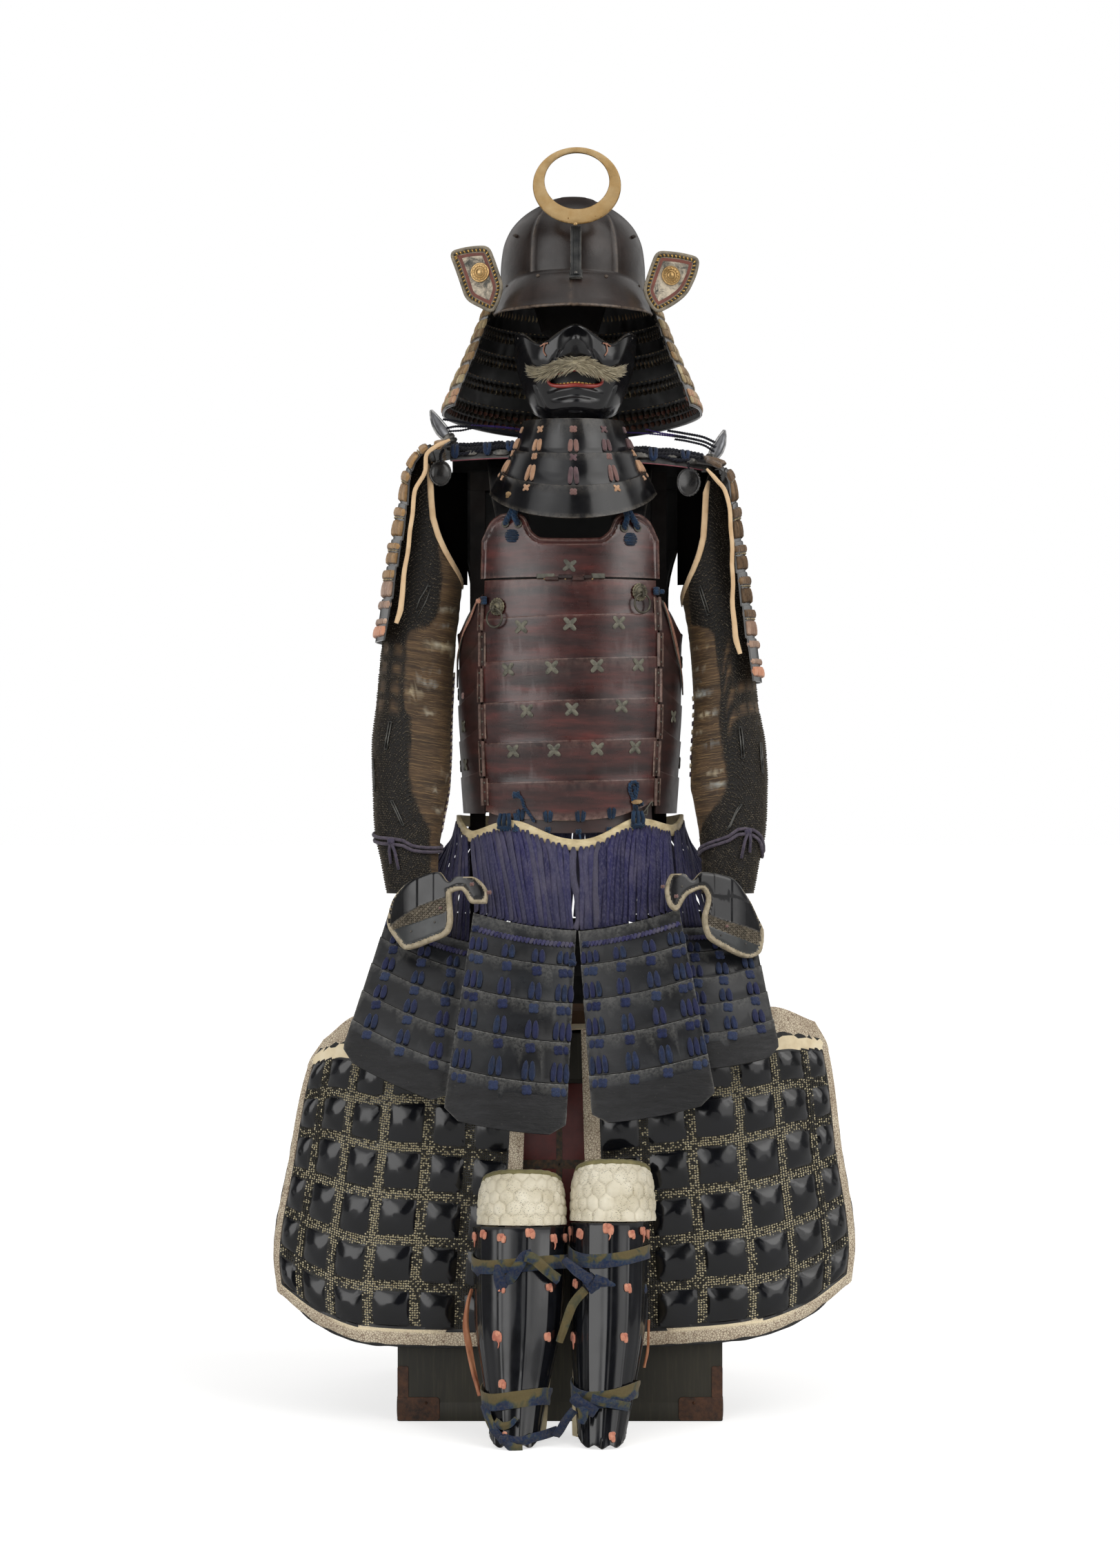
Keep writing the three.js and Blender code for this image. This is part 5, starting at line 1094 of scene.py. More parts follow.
# inside lacing: dark rows along the seams, a rust-coloured pair of rows on the last lame
for k_ in range(5):
    for r_, dv in enumerate((0.045, 0.095) if k_ < 4 else (-0.135, -0.06)):
        v1 = tops[k_ + 1] + (dv if k_ < 4 else dv)
        cc = np.arange(-126, 126.1, 3.6) + 1.8 * r_
        p, n, tu, tv = frames(neck, cc, np.full_like(cc, v1), inn_, 0.4, 2e-3)
        wid = np.linalg.norm(neck(cc + 1.5, np.full_like(cc, v1)) - neck(cc - 1.5, np.full_like(cc, v1)), axis=-1) / 2
        stamp(bag, BLOB, p - n * 2.6, tu, n, tv, mat=4 if k_ < 4 else 5, size=np.stack([wid * 0.95, np.full_like(wid, 1.6), np.full_like(wid, 3.2 if k_ < 4 else 4.2)], 1),
              mask=np.stack([0 * cc, hash01(cc, k_ + r_ * 2.0), 0 * cc], 1))
# dark rolled edge round the foot
cc = np.linspace(-128, 128, 180)
p, n, tu, tv = frames(neck, cc, np.full_like(cc, 0.997), inn_, 0.4, 2e-3)
sweep(bag, p - n * 0.8, 2.0, 6, 0, up=n)
bag.build("neck_guard_fine", [BLACK, BLACK_INSIDE_AND_SHADE, TAN, CREAMLACE, OLIVE, RUST, SALMON], replaces="neck_guard")

# ============================================================ laying things on surfaces
def put(bag, tmpl, f, inw, u, v, size, mat=0, lift=0.0, shade=None, spin=0.0, du=0.3, dv=2e-3, wear=0.0):
    """Stamps a template (across, off, up) on a surface at parameters u, v."""
    u, v = np.broadcast_arrays(np.atleast_1d(np.asarray(u, float)), np.atleast_1d(np.asarray(v, float)))
    p, n, tu, tv = frames(f, u, v, inw, du, dv)
    z = unit(np.array([0.0, 0, 1.0]) - n * n[:, 2:3])
    x = np.cross(n, z) * -1
    a = rad(np.broadcast_to(np.asarray(spin, float), u.shape))[:, None]
    X, Z = x * np.cos(a) - z * np.sin(a), x * np.sin(a) + z * np.cos(a)
    sh = hash01(u * 3.1, v * 7.7) if shade is None else np.broadcast_to(np.asarray(shade, float), u.shape)
    stamp(bag, tmpl, p + n * np.reshape(lift, (-1, 1)) if np.ndim(lift) else p + n * lift, X, n, Z, mat=mat, mask=np.stack([np.full_like(u, wear), sh, 0 * u], 1), size=size)


def strands(bag, f, inw, u, v0, v1, count=2, width=3.2, depth=2.4, mat=0, lift=0.4, du=0.3, dv=2e-3, lean=0.0, shade=None, tmpl=None):
    """Side-by-side cord strands that run along v on a surface."""
    for k in range(count):
        o = (k - (count - 1) / 2) * width * 2.0
        uu, vv = np.array([float(u)]), np.array([(v0 + v1) / 2])
        p, n, tu, tv = frames(f, uu, vv, inw, du, dv)
        h = np.linalg.norm(f(uu, np.array([v1])) - f(uu, np.array([v0]))) / 2
        z = tv * (1 if tv[0, 2] > 0 else -1)
        x = unit(np.cross(z, n))
        a = math.radians(lean * (k - (count - 1) / 2) * 2)
        Z, X = z * math.cos(a) + x * math.sin(a), x * math.cos(a) - z * math.sin(a)
        sh = float(hash01(np.array([u * 1.7 + k]), v0 * 5)[0]) if shade is None else shade
        stamp(bag, tmpl or PILL, p + n * lift + x * o, X, n, Z, mat=mat, mask=(0, sh, 0), size=(width * 0.96, depth, h))


def panel(bag, f, inw, u0, u1, v0, v1, nu=6, nv=6, lift=1.2, mat=0, wear=0.5, du=0.3, dv=2e-3, under=0.4, eu=0.05, ev=0.05, base=0.0):
    """A raised strip with eased edges, let into the surface."""
    tu_ = np.concatenate([[0, eu * 0.4, eu], np.linspace(eu * 2, 1 - eu * 2, nu), [1 - eu, 1 - eu * 0.4, 1]])
    tv_ = np.concatenate([[0, ev * 0.4, ev], np.linspace(ev * 2, 1 - ev * 2, nv), [1 - ev, 1 - ev * 0.4, 1]])
    prof = lambda t, e: np.interp(np.minimum(t, 1 - t), [0, e * 0.4, e], [0, 0.72, 1.0])
    us, vs = lerp(u0, u1, tu_), lerp(v0, v1, tv_)
    P, N, U, W_ = sheet_grid(f, us, vs, inw, 0.0, du, dv)
    ed = prof(tu_, eu)[None, :] * prof(tv_, ev)[:, None]
    h = lift * ed + base
    shell(bag, P + N * h[..., None], N, h + under, mat=mat, mask=(1 - ed) * wear)


def on_surface(f, inw, uv, lift, du=0.3, dv=2e-3, n=None):
    """Points over a surface along a smooth line through parameters uv."""
    uv = np.asarray(uv, float)
    if n:
        uv = resample(np.concatenate([uv, np.zeros((len(uv), 1))], 1), n)[:, :2]
    p, nn, _, _ = frames(f, uv[:, 0], uv[:, 1], inw, du, dv)
    return p + nn * (np.reshape(lift, (-1, 1)) if np.ndim(lift) else lift), nn


def knot_ball(bag, c, n, r, mat=0, shade=0.3):
    """A pulled-tight knot: a ball with two crossing turns."""
    n = unit(np.asarray(n, float))
    z = unit(np.array([0, 0, 1.0]) - n * n[2])
    x = np.cross(z, n)
    for (X, Y, Z), s in (((x, n, z), (1.0, 0.8, 0.72)), ((x * 0.7 + z * 0.7, n, z * 0.7 - x * 0.7), (1.12, 0.78, 0.5)), ((x * 0.7 - z * 0.7, n, z * 0.7 + x * 0.7), (1.05, 0.9, 0.46))):
        stamp(bag, DOME, c, [X], [Y], [Z], mat=mat, mask=(0, shade, 0), size=tuple(r * q for q in s))


PINKTIE = silk("tie_pink", [(0.3, lin("#8a5a48")), (0.7, lin("#c08f78"))], sheen=0.3).m
TEAL = silk("cord_teal", [(0.3, lin("#0c1c2e")), (0.55, lin("#163350")), (0.75, lin("#22486a"))], scale=120, sheen=0.3, tint=(lin("#0c1828"), 0.7)).m

# ============================================================ mask
bag = Bag()
us = np.linspace(-95, 95, 171)
vs = np.unique(np.concatenate([np.linspace(0, 0.03, 6), np.linspace(0.03, 0.45, 50), np.linspace(0.45, 0.63, 37), np.linspace(0.63, 1.0, 48)]))
P, N, U, W_ = sheet_grid(mask, us, vs, in_mask, 0.0, 0.4, 2e-3)
A = np.abs(U)
seg = lambda a0, v0, a1, v1: (lambda t: np.hypot((A - lerp(a0, a1, t)) / 1.0, (W_ - lerp(v0, v1, t)) * 110.0))(clamp(((A - a0) * (a1 - a0) + (W_ - v0) * (v1 - v0) * 110**2) / ((a1 - a0) ** 2 + ((v1 - v0) * 110) ** 2)))
detail = 4.6 * gauss(A - 13.0, 4.2) * gauss(W_ - 0.27, 0.055)                   # wings of the nose
detail += -3.6 * gauss(A - 7.0, 3.4) * gauss(W_ - 0.335, 0.020)                  # nostrils
detail += -1.7 * gauss(seg(17, 0.22, 31, 0.46), 2.6) + 0.9 * gauss(seg(21, 0.22, 36, 0.48), 4.0)  # fold beside the nose
detail += 2.2 * gauss(W_ - 0.425, 0.028) * smooth(A, 36, 24) - 0.9 * gauss(U, 2.6) * gauss(W_ - 0.405, 0.035)  # upper lip and its groove
detail += 2.4 * gauss(W_ - 0.66, 0.030) * smooth(A, 34, 18) - 2.0 * gauss(W_ - 0.728, 0.026) * smooth(A, 30, 12)  # lower lip, hollow under it
detail += 1.0 * gauss(A - 86, 2.2) * smooth(W_, 0.02, 0.06) * smooth(W_, 0.62, 0.5)    # upright ridge near the ear
detail += 1.3 * gauss(W_ - 0.018, 0.012) + 1.2 * gauss(W_ - 0.988, 0.012)             # rolled edges
detail += -1.2 * gauss(seg(46, 0.62, 38, 0.86), 3.5)
P = P + N * detail[..., None]
hw, v0m, v1m = 27.0, 0.465, 0.615
vm, hv = (v0m + v1m) / 2, (v1m - v0m) / 2
uc, vc = (us[:-1] + us[1:]) / 2, (vs[:-1] + vs[1:]) / 2
UC, VC = np.meshgrid(uc, vc)
bow_ = lambda u: vm - 0.045 * (u / 27.0) ** 2                                 # keeps the mouth level across the cheeks
gap_ = (np.abs(UC) / hw) ** 3.4 + (np.abs(VC - bow_(UC)) / hv) ** 2.6 < 1
shell(bag, P, N, 2.3, skip=gap_, mask=0.5 * gauss(W_ - 0.006, 0.01) + 0.35 * gauss(W_ - 0.995, 0.006), inner_mat=1)
# lips: red lacquered rolls round the opening
t = np.linspace(0, 2 * np.pi, 121)[:-1]
lu = hw * spow(np.cos(t), 2 / 3.4) * 1.03
lv = bow_(lu) + hv * 1.10 * spow(np.sin(t), 2 / 2.6)
pl, nl, _, _ = frames(mask, lu, lv, in_mask, 0.4, 2e-3)
sweep(bag, pl + nl * 0.9, 2.0 + 1.1 * np.abs(np.sin(t)) ** 2, 10, 2, up=nl, closed=True)
# lower teeth: a row of gold-lacquered tablets behind the lip
for i, a in enumerate(np.linspace(-20, 20, 11)):
    p, n, tu, tv = frames(mask, np.array([a]), np.array([0.598 - 0.045 * (a / 27.0) ** 2]), in_mask, 0.4, 2e-3)
    stamp(bag, PILL, p - n * 2.2 + [0, 0, -0.8], tu, n, [[0, 0, 1.0]], mat=3, size=(2.55, 1.8, 3.4 - 0.03 * abs(a)))
# dark cloth lining seen through the mouth
P2, N2, U2, W2 = sheet_grid(mask, np.linspace(-36, 36, 25), np.linspace(0.40, 0.69, 12), in_mask, -9.0, 0.4, 2e-3)
shell(bag, P2, N2, 1.2, mat=1)
# small cord ties on the cheeks, a pin on the chin and the ear ridges' rivets
for s_ in (-1, 1):
    q, nn = on_surface(mask, in_mask, [(s_ * 29, 0.03), (s_ * 30, 0.10), (s_ * 27.5, 0.19)], 1.5, n=10)
    sweep(bag, q, 0.9, 6, 4, up=nn)
    q, nn = on_surface(mask, in_mask, [(s_ * 33.5, 0.045), (s_ * 29, 0.03), (s_ * 25.5, 0.05)], 2.0, n=8)
    sweep(bag, q, 0.9, 6, 4, up=nn)
    c, nn = on_surface(mask, in_mask, [(s_ * 29, 0.035)], 2.6)
    knot_ball(bag, c[0], nn[0], 1.9, 4)
    put(bag, DOME, mask, in_mask, [s_ * 27.5], [0.20], (1.4, 0.8, 1.4), mat=0)
    put(bag, DOME, mask, in_mask, [s_ * 70, s_ * 62], [0.06, 0.93], (1.6, 1.1, 1.6), mat=0, wear=0.8)
put(bag, CAP10, mask, in_mask, [0], [0.895], (11, 2.0, 3.0), mat=0, lift=0.3)
bag.build("mask_face_fine", [BLACK, BLACK_INSIDE_AND_SHADE, REDLIP, GOLDPAINT, PINKTIE], replaces="mask_face")

# moustache: a low bed of hair and many single hairs that sweep outwards
bag = Bag()
us, vs = np.linspace(-41, 41, 61), np.linspace(0, 1, 9)
U, W_ = np.meshgrid(us, vs)
a = np.abs(U) / 43
hh = 6.4 * np.sqrt(np.maximum(1 - a * a, 0)) * (1 - 0.30 * gauss(U, 6)) + 0.5
face, nrm_, _, _ = frames(mask, U, np.full_like(U, 0.375), in_mask, 0.4, 2e-3)
bulge = np.sin(W_ * np.pi) ** 0.7
P = face + nrm_ * (1.0 + 4.4 * bulge * (1 - 0.6 * a**3))[..., None]
P[..., 2] += -1.5 + 3.5 * a * a + (0.5 - W_) * 2 * hh + 0.7 * fbm(U * 0.4, W_ * 3, 3)
shell(bag, P, nrm_, 2.0 + 0 * U, mask=(0 * U))
n_h = 1500
r1, r2, r3, r4, r5 = (rng.random(n_h) for _ in range(5))
u0 = (r1 * 2 - 1) * 40
aa_ = np.abs(u0) / 43
sg = np.where(np.abs(u0) < 2.5, np.where(r5 > 0.5, 1, -1), np.sign(u0))
lift0 = 2.0 + 4.6 * r3
hgt = 6.8 * np.sqrt(np.maximum(1 - aa_**2, 0)) + 0.6
wz = (r2 * 2 - 1) * hgt
L = 8 + 8 * r4 + 7 * smooth(aa_, 0.5, 1.0)
segs = 5
pts_ = []
for k_ in range(segs):
    s_ = k_ / (segs - 1)
    uu = u0 + sg * (L * s_) / 1.55
    f_, nn_, _, _ = frames(mask, uu, np.full_like(uu, 0.375), in_mask, 0.4, 2e-3)
    drop = 3.0 * clamp(np.abs(uu) / 43) ** 2 - 1.5 + wz * (1 + (0.65 + 0.5 * r3) * s_) + 2.2 * (r4 - 0.4) * s_ * s_ - (1.2 + 2.4 * r5) * s_ * s_ * (0.6 + aa_)
    pts_.append(f_ + nn_ * (lift0 * (1 + 0.5 * math.sin(s_ * 2.6)) + 1.6 * (r1 - 0.5) * s_)[:, None] + np.stack([0 * uu, 0 * uu, drop], 1))
H = np.stack(pts_, 1)                                                            # n x segs x 3
T = unit(np.gradient(H, axis=1))
up_ = np.array([0, -1.0, 0.3])
X = unit(np.cross(T, up_))
Y = np.cross(X, T)
rr = (0.46 * np.array([0.9, 1.0, 0.85, 0.6, 0.15]))[None, :, None]
ring = np.stack([H + rr * X, H + rr * (-0.5 * X + 0.87 * Y), H + rr * (-0.5 * X - 0.87 * Y)], 2)   # n x segs x 3 x 3
base = np.arange(n_h)[:, None, None] * segs * 3
i_, j_ = np.meshgrid(np.arange(segs - 1), np.arange(3), indexing="ij")
Fq = np.stack([i_ * 3 + j_, i_ * 3 + (j_ + 1) % 3, (i_ + 1) * 3 + (j_ + 1) % 3, (i_ + 1) * 3 + j_], -1).reshape(-1, 4)
sh = np.repeat(r4, segs * 3)
bag.add(ring.reshape(-1, 3), (Fq[None] + base).reshape(-1, 4), mask=np.stack([0 * sh, sh, 0 * sh], 1))
for row, od in ((0, (0, 2, 1)), (segs - 1, (0, 1, 2))):
    bag.faces((np.array([od])[None] + row * 3 + base).reshape(-1, 3) + bag.n - n_h * segs * 3, 0)
bag.build("mask_moustache_fine", [HAIR], replaces="mask_moustache", sharp=0)

# ============================================================ throat guard
bag = Bag()
us = np.linspace(-78, 78, 97)
vs, off, ed = lame_rows(0, 1, [0.36, 0.68], 2.0, per=7, lip=0.03)
P, N, U, W_ = sheet_grid(throat, us, vs, in_throat, off, 0.4, 2e-3)
rim = 1.2 * gauss(W_ - 0.985, 0.012) + 0.8 * gauss(np.abs(U) - 77, 1.0)
P = P + N * rim[..., None]
shell(bag, P, N, 2.0, mask=clamp(ed[:, None] * 0.55 + 0.5 * (W_ > 0.992) + 0.4 * gauss(np.abs(U) - 78, 0.8)), inner_mat=1)
cols_ = [(-72, 2, 2), (-37, 2, 2), (0, 3, 2), (34, 3, 2), (72, 3, 3)]
for i, (u_, m_, cnt) in enumerate(cols_):
    w_ = 3.0 if cnt == 2 else 2.6
    for j, (vk, va, vb) in enumerate(((0.115, 0.215, 0.352), (0.405, 0.49, 0.672), (0.745, None, None))):
        outer = j == 2 and i in (1, 3)
        mk = 2 if (m_ == 2 or outer or (i == 4 and j > 0)) else 3
        sh_ = float(hash01(np.array([i * 5.0 + j]), 3.0)[0])
        if j == 2 and i in (0, 4):
            put(bag, KNOT, throat, in_throat, [u_ + (4 if i == 0 else -4)], [vk - 0.015], (4.6, 4.4, 5.0), mat=2, lift=1.0, du=0.4, spin=-18 * np.sign(u_))
            put(bag, BLOB, throat, in_throat, [u_ + (-4 if i == 0 else 4)], [vk - 0.02], (2.6, 2.4, 4.0), mat=mk, lift=1.2, du=0.4)
        else:
            put(bag, BUD4 if (i + j) % 2 == 0 else KNOT, throat, in_throat, [u_], [vk], (7.0, 4.8, 6.6), mat=mk, lift=1.0, shade=sh_, spin=10 * (hash01(np.array([i + 1.0]), j)[0] - 0.5), du=0.4)
        if va is not None:
            strands(bag, throat, in_throat, u_, va, vb, cnt, w_ * 1.3, 3.0, mk, 1.0, lean=-5 if cnt == 2 else -7, shade=sh_, du=0.4)
for i in range(5):                                                                # lacing holes' shadows between the strands
    put(bag, DOME, throat, in_throat, [cols_[i][0]], [0.352], (4.5, 0.6, 1.0), mat=1, lift=1.2, du=0.4)
bag.build("throat_guard_fine", [BLACK, BLACK_INSIDE_AND_SHADE, SALMON, MAUVE], replaces="throat_guard")

# ============================================================ cuirass
CUIR = mottled("lacquer_red", [(0.22, lin("#150a0a")), (0.42, lin("#2a1413")), (0.58, lin("#43201d")), (0.72, lin("#5e2a26")), (0.85, lin("#453536"))], 11, (1, 1, 6.5), rough=(0.24, 0.36), rscale=40,
               coat=0.25, coat_rough=0.28, edge=lin("#84695f"), dust=(lin("#7a6460"), 0.35, 180), bumps=(("noise", 60, 0.2, 0.0008, (1, 1, 5)), ("noise", 420, 0.15, 0.0004))).m
# a darker copy of the red lacquer for the side plates, the flange and the plates' insides: painted shade
CUIR_PAINTED_SHADE = mottled("lacquer_red_painted_shade", [(0.25, lin("#120a0a")), (0.55, lin("#2b1614")), (0.8, lin("#43201b"))], 12, (1, 1, 5), rough=(0.4, 0.55), coat=0.15, coat_rough=0.3, edge=lin("#5c453f"),
                   bumps=(("noise", 60, 0.2, 0.0008, (1, 1, 5)),)).m
HINGE = mottled("hinge_worn", [(0.25, lin("#1d1816")), (0.45, lin("#35231f")), (0.65, lin("#553630")), (0.8, lin("#83655a"))], 46, (1, 1, 0.5), rough=(0.38, 0.55), metallic=0.3, coat=0.2, edge=lin("#a98f80"),
                bumps=(("noise", 240, 0.3, 0.0006),)).m
RIVET = mottled("rivet_grey", [(0.3, lin("#3b3a31")), (0.55, lin("#56544a")), (0.8, lin("#6d6a5d"))], 120, rough=(0.5, 0.65), edge=lin("#86826f"), bumps=(("noise", 500, 0.3, 0.0005),)).m
TAB = mottled("tan_tab", [(0.3, lin("#6b4f30")), (0.6, lin("#a98c63")), (0.8, lin("#c9b48e"))], 90, rough=(0.7, 0.85), bumps=(("noise", 420, 0.4, 0.0006),)).m
GOLDEN = mottled("brassy_grey", [(0.3, lin("#37342d")), (0.55, lin("#524e43")), (0.8, lin("#6e6857"))], 90, rough=(0.4, 0.55), metallic=0.5, edge=lin("#a59c7c"), bumps=(("noise", 400, 0.3, 0.0005),)).m
XRIV = join_templates(*[(PILL, (0.30, 0.20, 0.66), (0.40 * math.sin(math.radians(a)), 0.02, 0.40 * math.cos(math.radians(a))), a) for a in (45, 135, 225, 315)])
trunk_in = to_axis

# front plate: lames over a foot flange that dips in the middle
footZ = table("a z", (-47.6, 816), (-40.5, 811), (-20, 805), (-3, 803), (20, 808), (34, 818), (47.6, 829))
slope = lambda u, z: (u / 47.6) * 4.2 * smooth(z, 812, 880) * smooth(z, 1131, 1090)


def front(u, z):
    return trunk(u, z + slope(u, z))


bag = Bag()
us = np.linspace(-47.6, 47.6, 109)
vs, off, ed = lame_rows(1131, 806, [1082, 1023, 967, 912, 857], 1.6, per=5, lip=0.035)
U, Z = np.meshgrid(us, vs)
foot = footZ["z"](U)
Zf = np.where(Z < 857, lerp(foot, 857, (Z - 806) / 51), Z)
P, N, _, _ = frames(front, U, Zf, trunk_in, 0.3, 0.3)
OF = np.broadcast_to(off[:, None], U.shape) + 1.6 * gauss(Zf - foot - 1.0, 1.6) + 0.0
wav = 0.25 * fbm(U * 0.12, Zf * 0.02, 5)
P = P + N * (OF + wav)[..., None]
shell(bag, P, N, 2.4, mask=clamp(ed[:, None] * 0.5 + 0.8 * gauss(Zf - foot, 1.6)), inner_mat=1)
# the flange under the foot line, in the darker copy of the lacquer: painted shade
us2 = np.linspace(-46, 46, 61)
U2, T2 = np.meshgrid(us2, np.linspace(0, 1, 8))
Z2 = lerp(footZ["z"](U2) - 0.5, np.minimum(footZ["z"](U2) - 8, 786 + 12 * (np.abs(U2) / 46) ** 2), T2)
P2, N2, _, _ = frames(trunk, U2, Z2, trunk_in, 0.3, 0.3)
shell(bag, P2 + N2 * (-1.4 + 3.0 * T2**2)[..., None], N2, 2.0, mat=1)
for u_, z_ in ((-22.1, 1066), (-0.1, 1069.2), (21.8, 1071.4), (-29.6, 1008.3), (-7.1, 1010.5), (10.7, 1012.7), (33.2, 1014.8), (-19.1, 951.8), (0.4, 953.9), (23.3, 958.3),
               (-27.2, 897.4), (-6.2, 898.5), (11.0, 900.6), (31.7, 902.8)):
    put(bag, XRIV, trunk, trunk_in, [u_], [z_], (11.2, 7.5, 11.2), mat=2, lift=1.5, du=0.3, dv=0.3, wear=0.35, spin=float(hash01(np.array([u_]), z_)[0] - 0.5) * 8)
# tufts over the foot line, knots under it
for u_ in (-23.5, -9.2, 3.7, 18.8):
    for d_ in (-0.9, 0.9):
        z_ = float(footZ["z"](u_)) + 5.5
        put(bag, PILL, trunk, trunk_in, [u_ + d_], [z_], (2.4, 2.4, 8.4), mat=3, lift=2.0, du=0.3, dv=0.3, spin=d_ * 5)
        put(bag, PILL, trunk, trunk_in, [u_ + d_ * 1.9], [z_ - 0.5], (1.5, 1.8, 7.2), mat=3, lift=1.6, du=0.3, dv=0.3, spin=d_ * 9)
for u_, z_ in ((-9.2, 791), (2.9, 788), (17.5, 791)):
    c, nn = on_surface(trunk, trunk_in, [(u_, z_)], 1.8, 0.3, 0.3)
    knot_ball(bag, c[0], nn[0], 4.6, 3)
    q, nn = on_surface(trunk, trunk_in, [(u_ + 0.4, z_ - 3), (u_ + 0.8, z_ - 9), (u_ + 0.5, z_ - 13)], [2.0, 2.6, 2.0], 0.3, 0.3)
    sweep(bag, q, [1.5, 1.4, 0.8], 6, 3, up=nn)
# left knot with its cord, right loop with a wooden toggle and a hanging knot
c, nn = on_surface(trunk, trunk_in, [(-25.6, 838)], 3.0, 0.3, 0.3)
knot_ball(bag, c[0], nn[0], 6.4, 3)
q, nn = on_surface(trunk, trunk_in, [(-24.6, 837), (-22.8, 834), (-21.4, 822), (-18.8, 813), (-17.0, 806), (-15.8, 801)], [3.6, 2.6, 2.4, 2.4, 3.4, 3.2], 0.3, 0.3)
q = resample(q, 24)
twisted(bag, q, 2.5, 9, 2, 6, 3, up=(0, -1, 0))
q, nn = on_surface(trunk, trunk_in, [(-25.9, 813), (-25.2, 806), (-24.6, 797), (-24.9, 788)], [3.4, 5.0, 8.0, 12.5], 0.3, 0.3)
for d_ in (-2.6, 0, 2.6):
    sweep(bag, resample(q, 12) + [d_, 0, 0], 1.7, 6, 3, up=(0, -1, 0))
lp, nn = on_surface(trunk, trunk_in, [(32.0, 823), (30.4, 836), (28.6, 846), (28.9, 853), (31.4, 856), (33.6, 852.5), (33.3, 845), (32.4, 834), (32.3, 822)], 3.2, 0.3, 0.3)
twisted(bag, resample(lp, 44), 2.7, 9, 2, 6, 3, up=(0, -1, 0))
lp2, _ = on_surface(trunk, trunk_in, [(30.9, 846), (31.3, 850.5), (31.9, 846), (31.6, 838)], 2.4, 0.3, 0.3)
sweep(bag, resample(lp2, 14), 2.0, 6, 3, up=(0, -1, 0))
c, nn = on_surface(trunk, trunk_in, [(32.4, 829)], 7.0, 0.3, 0.3)
stamp(bag, CAP10, c, [[1.0, 0, 0.05]], nn, [[0, 0, 1.0]], mat=4, mask=(0.2, 0, 0), size=(8.0, 3.0, 3.2))
for s_, e_ in ((1, 44.2), (1, 40.6)):                                              # grey wire brace beside the toggle
    q, _ = on_surface(trunk, trunk_in, [(31.4, 824), (36, 812), (e_, 808 + (e_ - 40) * 5), (e_ + 0.6, 823)], [4.2, 3.6, 3.2, 3.0], 0.3, 0.3)
    sweep(bag, resample(q, 16), 0.95, 6, 2, up=(0, -1, 0))
q, nn = on_surface(trunk, trunk_in, [(32.2, 824), (32.4, 815), (33.2, 806), (33.4, 799)], [4.4, 4.8, 7.4, 9.5], 0.3, 0.3)
for d_ in (-1.8, 1.8):
    sweep(bag, resample(q, 12) + [d_, 0, 0], 2.0, 6, 3, up=(0, -1, 0))
c, nn = on_surface(trunk, trunk_in, [(33.6, 797)], 11.0, 0.3, 0.3)
knot_ball(bag, c[0], nn[0], 6.0, 3)
c, nn = on_surface(trunk, trunk_in, [(35.8, 826)], 4.5, 0.3, 0.3)
knot_ball(bag, c[0], nn[0], 4.4, 3)
# cords at both upper corners: a flat knot on the plate, thin ends that run away over the side
for s_, u_, z_ in ((-1, -46.2, 1103), (1, 46.6, 1116)):
    c, nn = on_surface(trunk, trunk_in, [(u_, z_)], 4.2, 0.3, 0.3)
    for k_ in (-1.6, 0, 1.6):
        stamp(bag, PILL, c + nn * 0.3 + [0, 0, k_ * 2.0], np.cross(nn, [[0, 0, 1.0]]) * -1, nn, [[0, 0, 1.0]], mat=3, mask=(0, 0.3 + 0.2 * k_, 0), size=(6.6, 3.0, 2.6))
    knot_ball(bag, c[0] + nn[0] * 1.5 + np.array([s_ * 6.5, 2, -1.0]), nn[0], 4.2, 3 if s_ > 0 else 5)
bag.build("front_plate_fine", [CUIR, CUIR_PAINTED_SHADE, RIVET, TEAL, TAB, PINKTIE], replaces="front_plate")

# chest plate: rolled double edge, eyelets, cords and the hinge under it
bag = Bag()
us = np.unique(np.concatenate([np.linspace(-51, -44, 15), np.linspace(-44, 44, 105), np.linspace(44, 51, 15)]))
vs = np.concatenate([np.linspace(0, 0.16, 18)[:-1], np.linspace(0.16, 1, 26)])
P, N, U, W_ = sheet_grid(chest, us, vs, trunk_in, 1.6, 0.3, 2e-3)
edge_line = np.concatenate([chest(np.full(40, -51.0), np.linspace(1, 0, 40)), chest(np.linspace(-51, 51, 240), np.zeros(240)), chest(np.full(40, 51.0), np.linspace(0, 1, 40))])
flatP = P.reshape(-1, 3)
dist = np.concatenate([np.sqrt(((flatP[i : i + 500, None] - edge_line[None]) ** 2).sum(-1)).min(1) for i in range(0, len(flatP), 500)]).reshape(U.shape)
dist = np.maximum(dist - 1.6, 0)
roll = 2.3 * gauss(dist - 1.8, 1.5) - 0.9 * gauss(dist - 4.9, 1.0) + 1.0 * gauss(dist - 6.9, 0.8) + 0.3 * fbm(U * 0.1, W_ * 2.0, 9)
P = P + N * roll[..., None]
shell(bag, P, N, 2.4, mask=clamp(0.75 * gauss(dist - 1.6, 1.4) + 0.55 * gauss(dist - 6.9, 0.8) + 0.35 * (W_ > 0.985)), inner_mat=1)
put(bag, XRIV, trunk, trunk_in, [-0.2], [1148.6], (11.0, 5.4, 10.4), mat=2, lift=2.0, du=0.3, dv=0.3, spin=6)
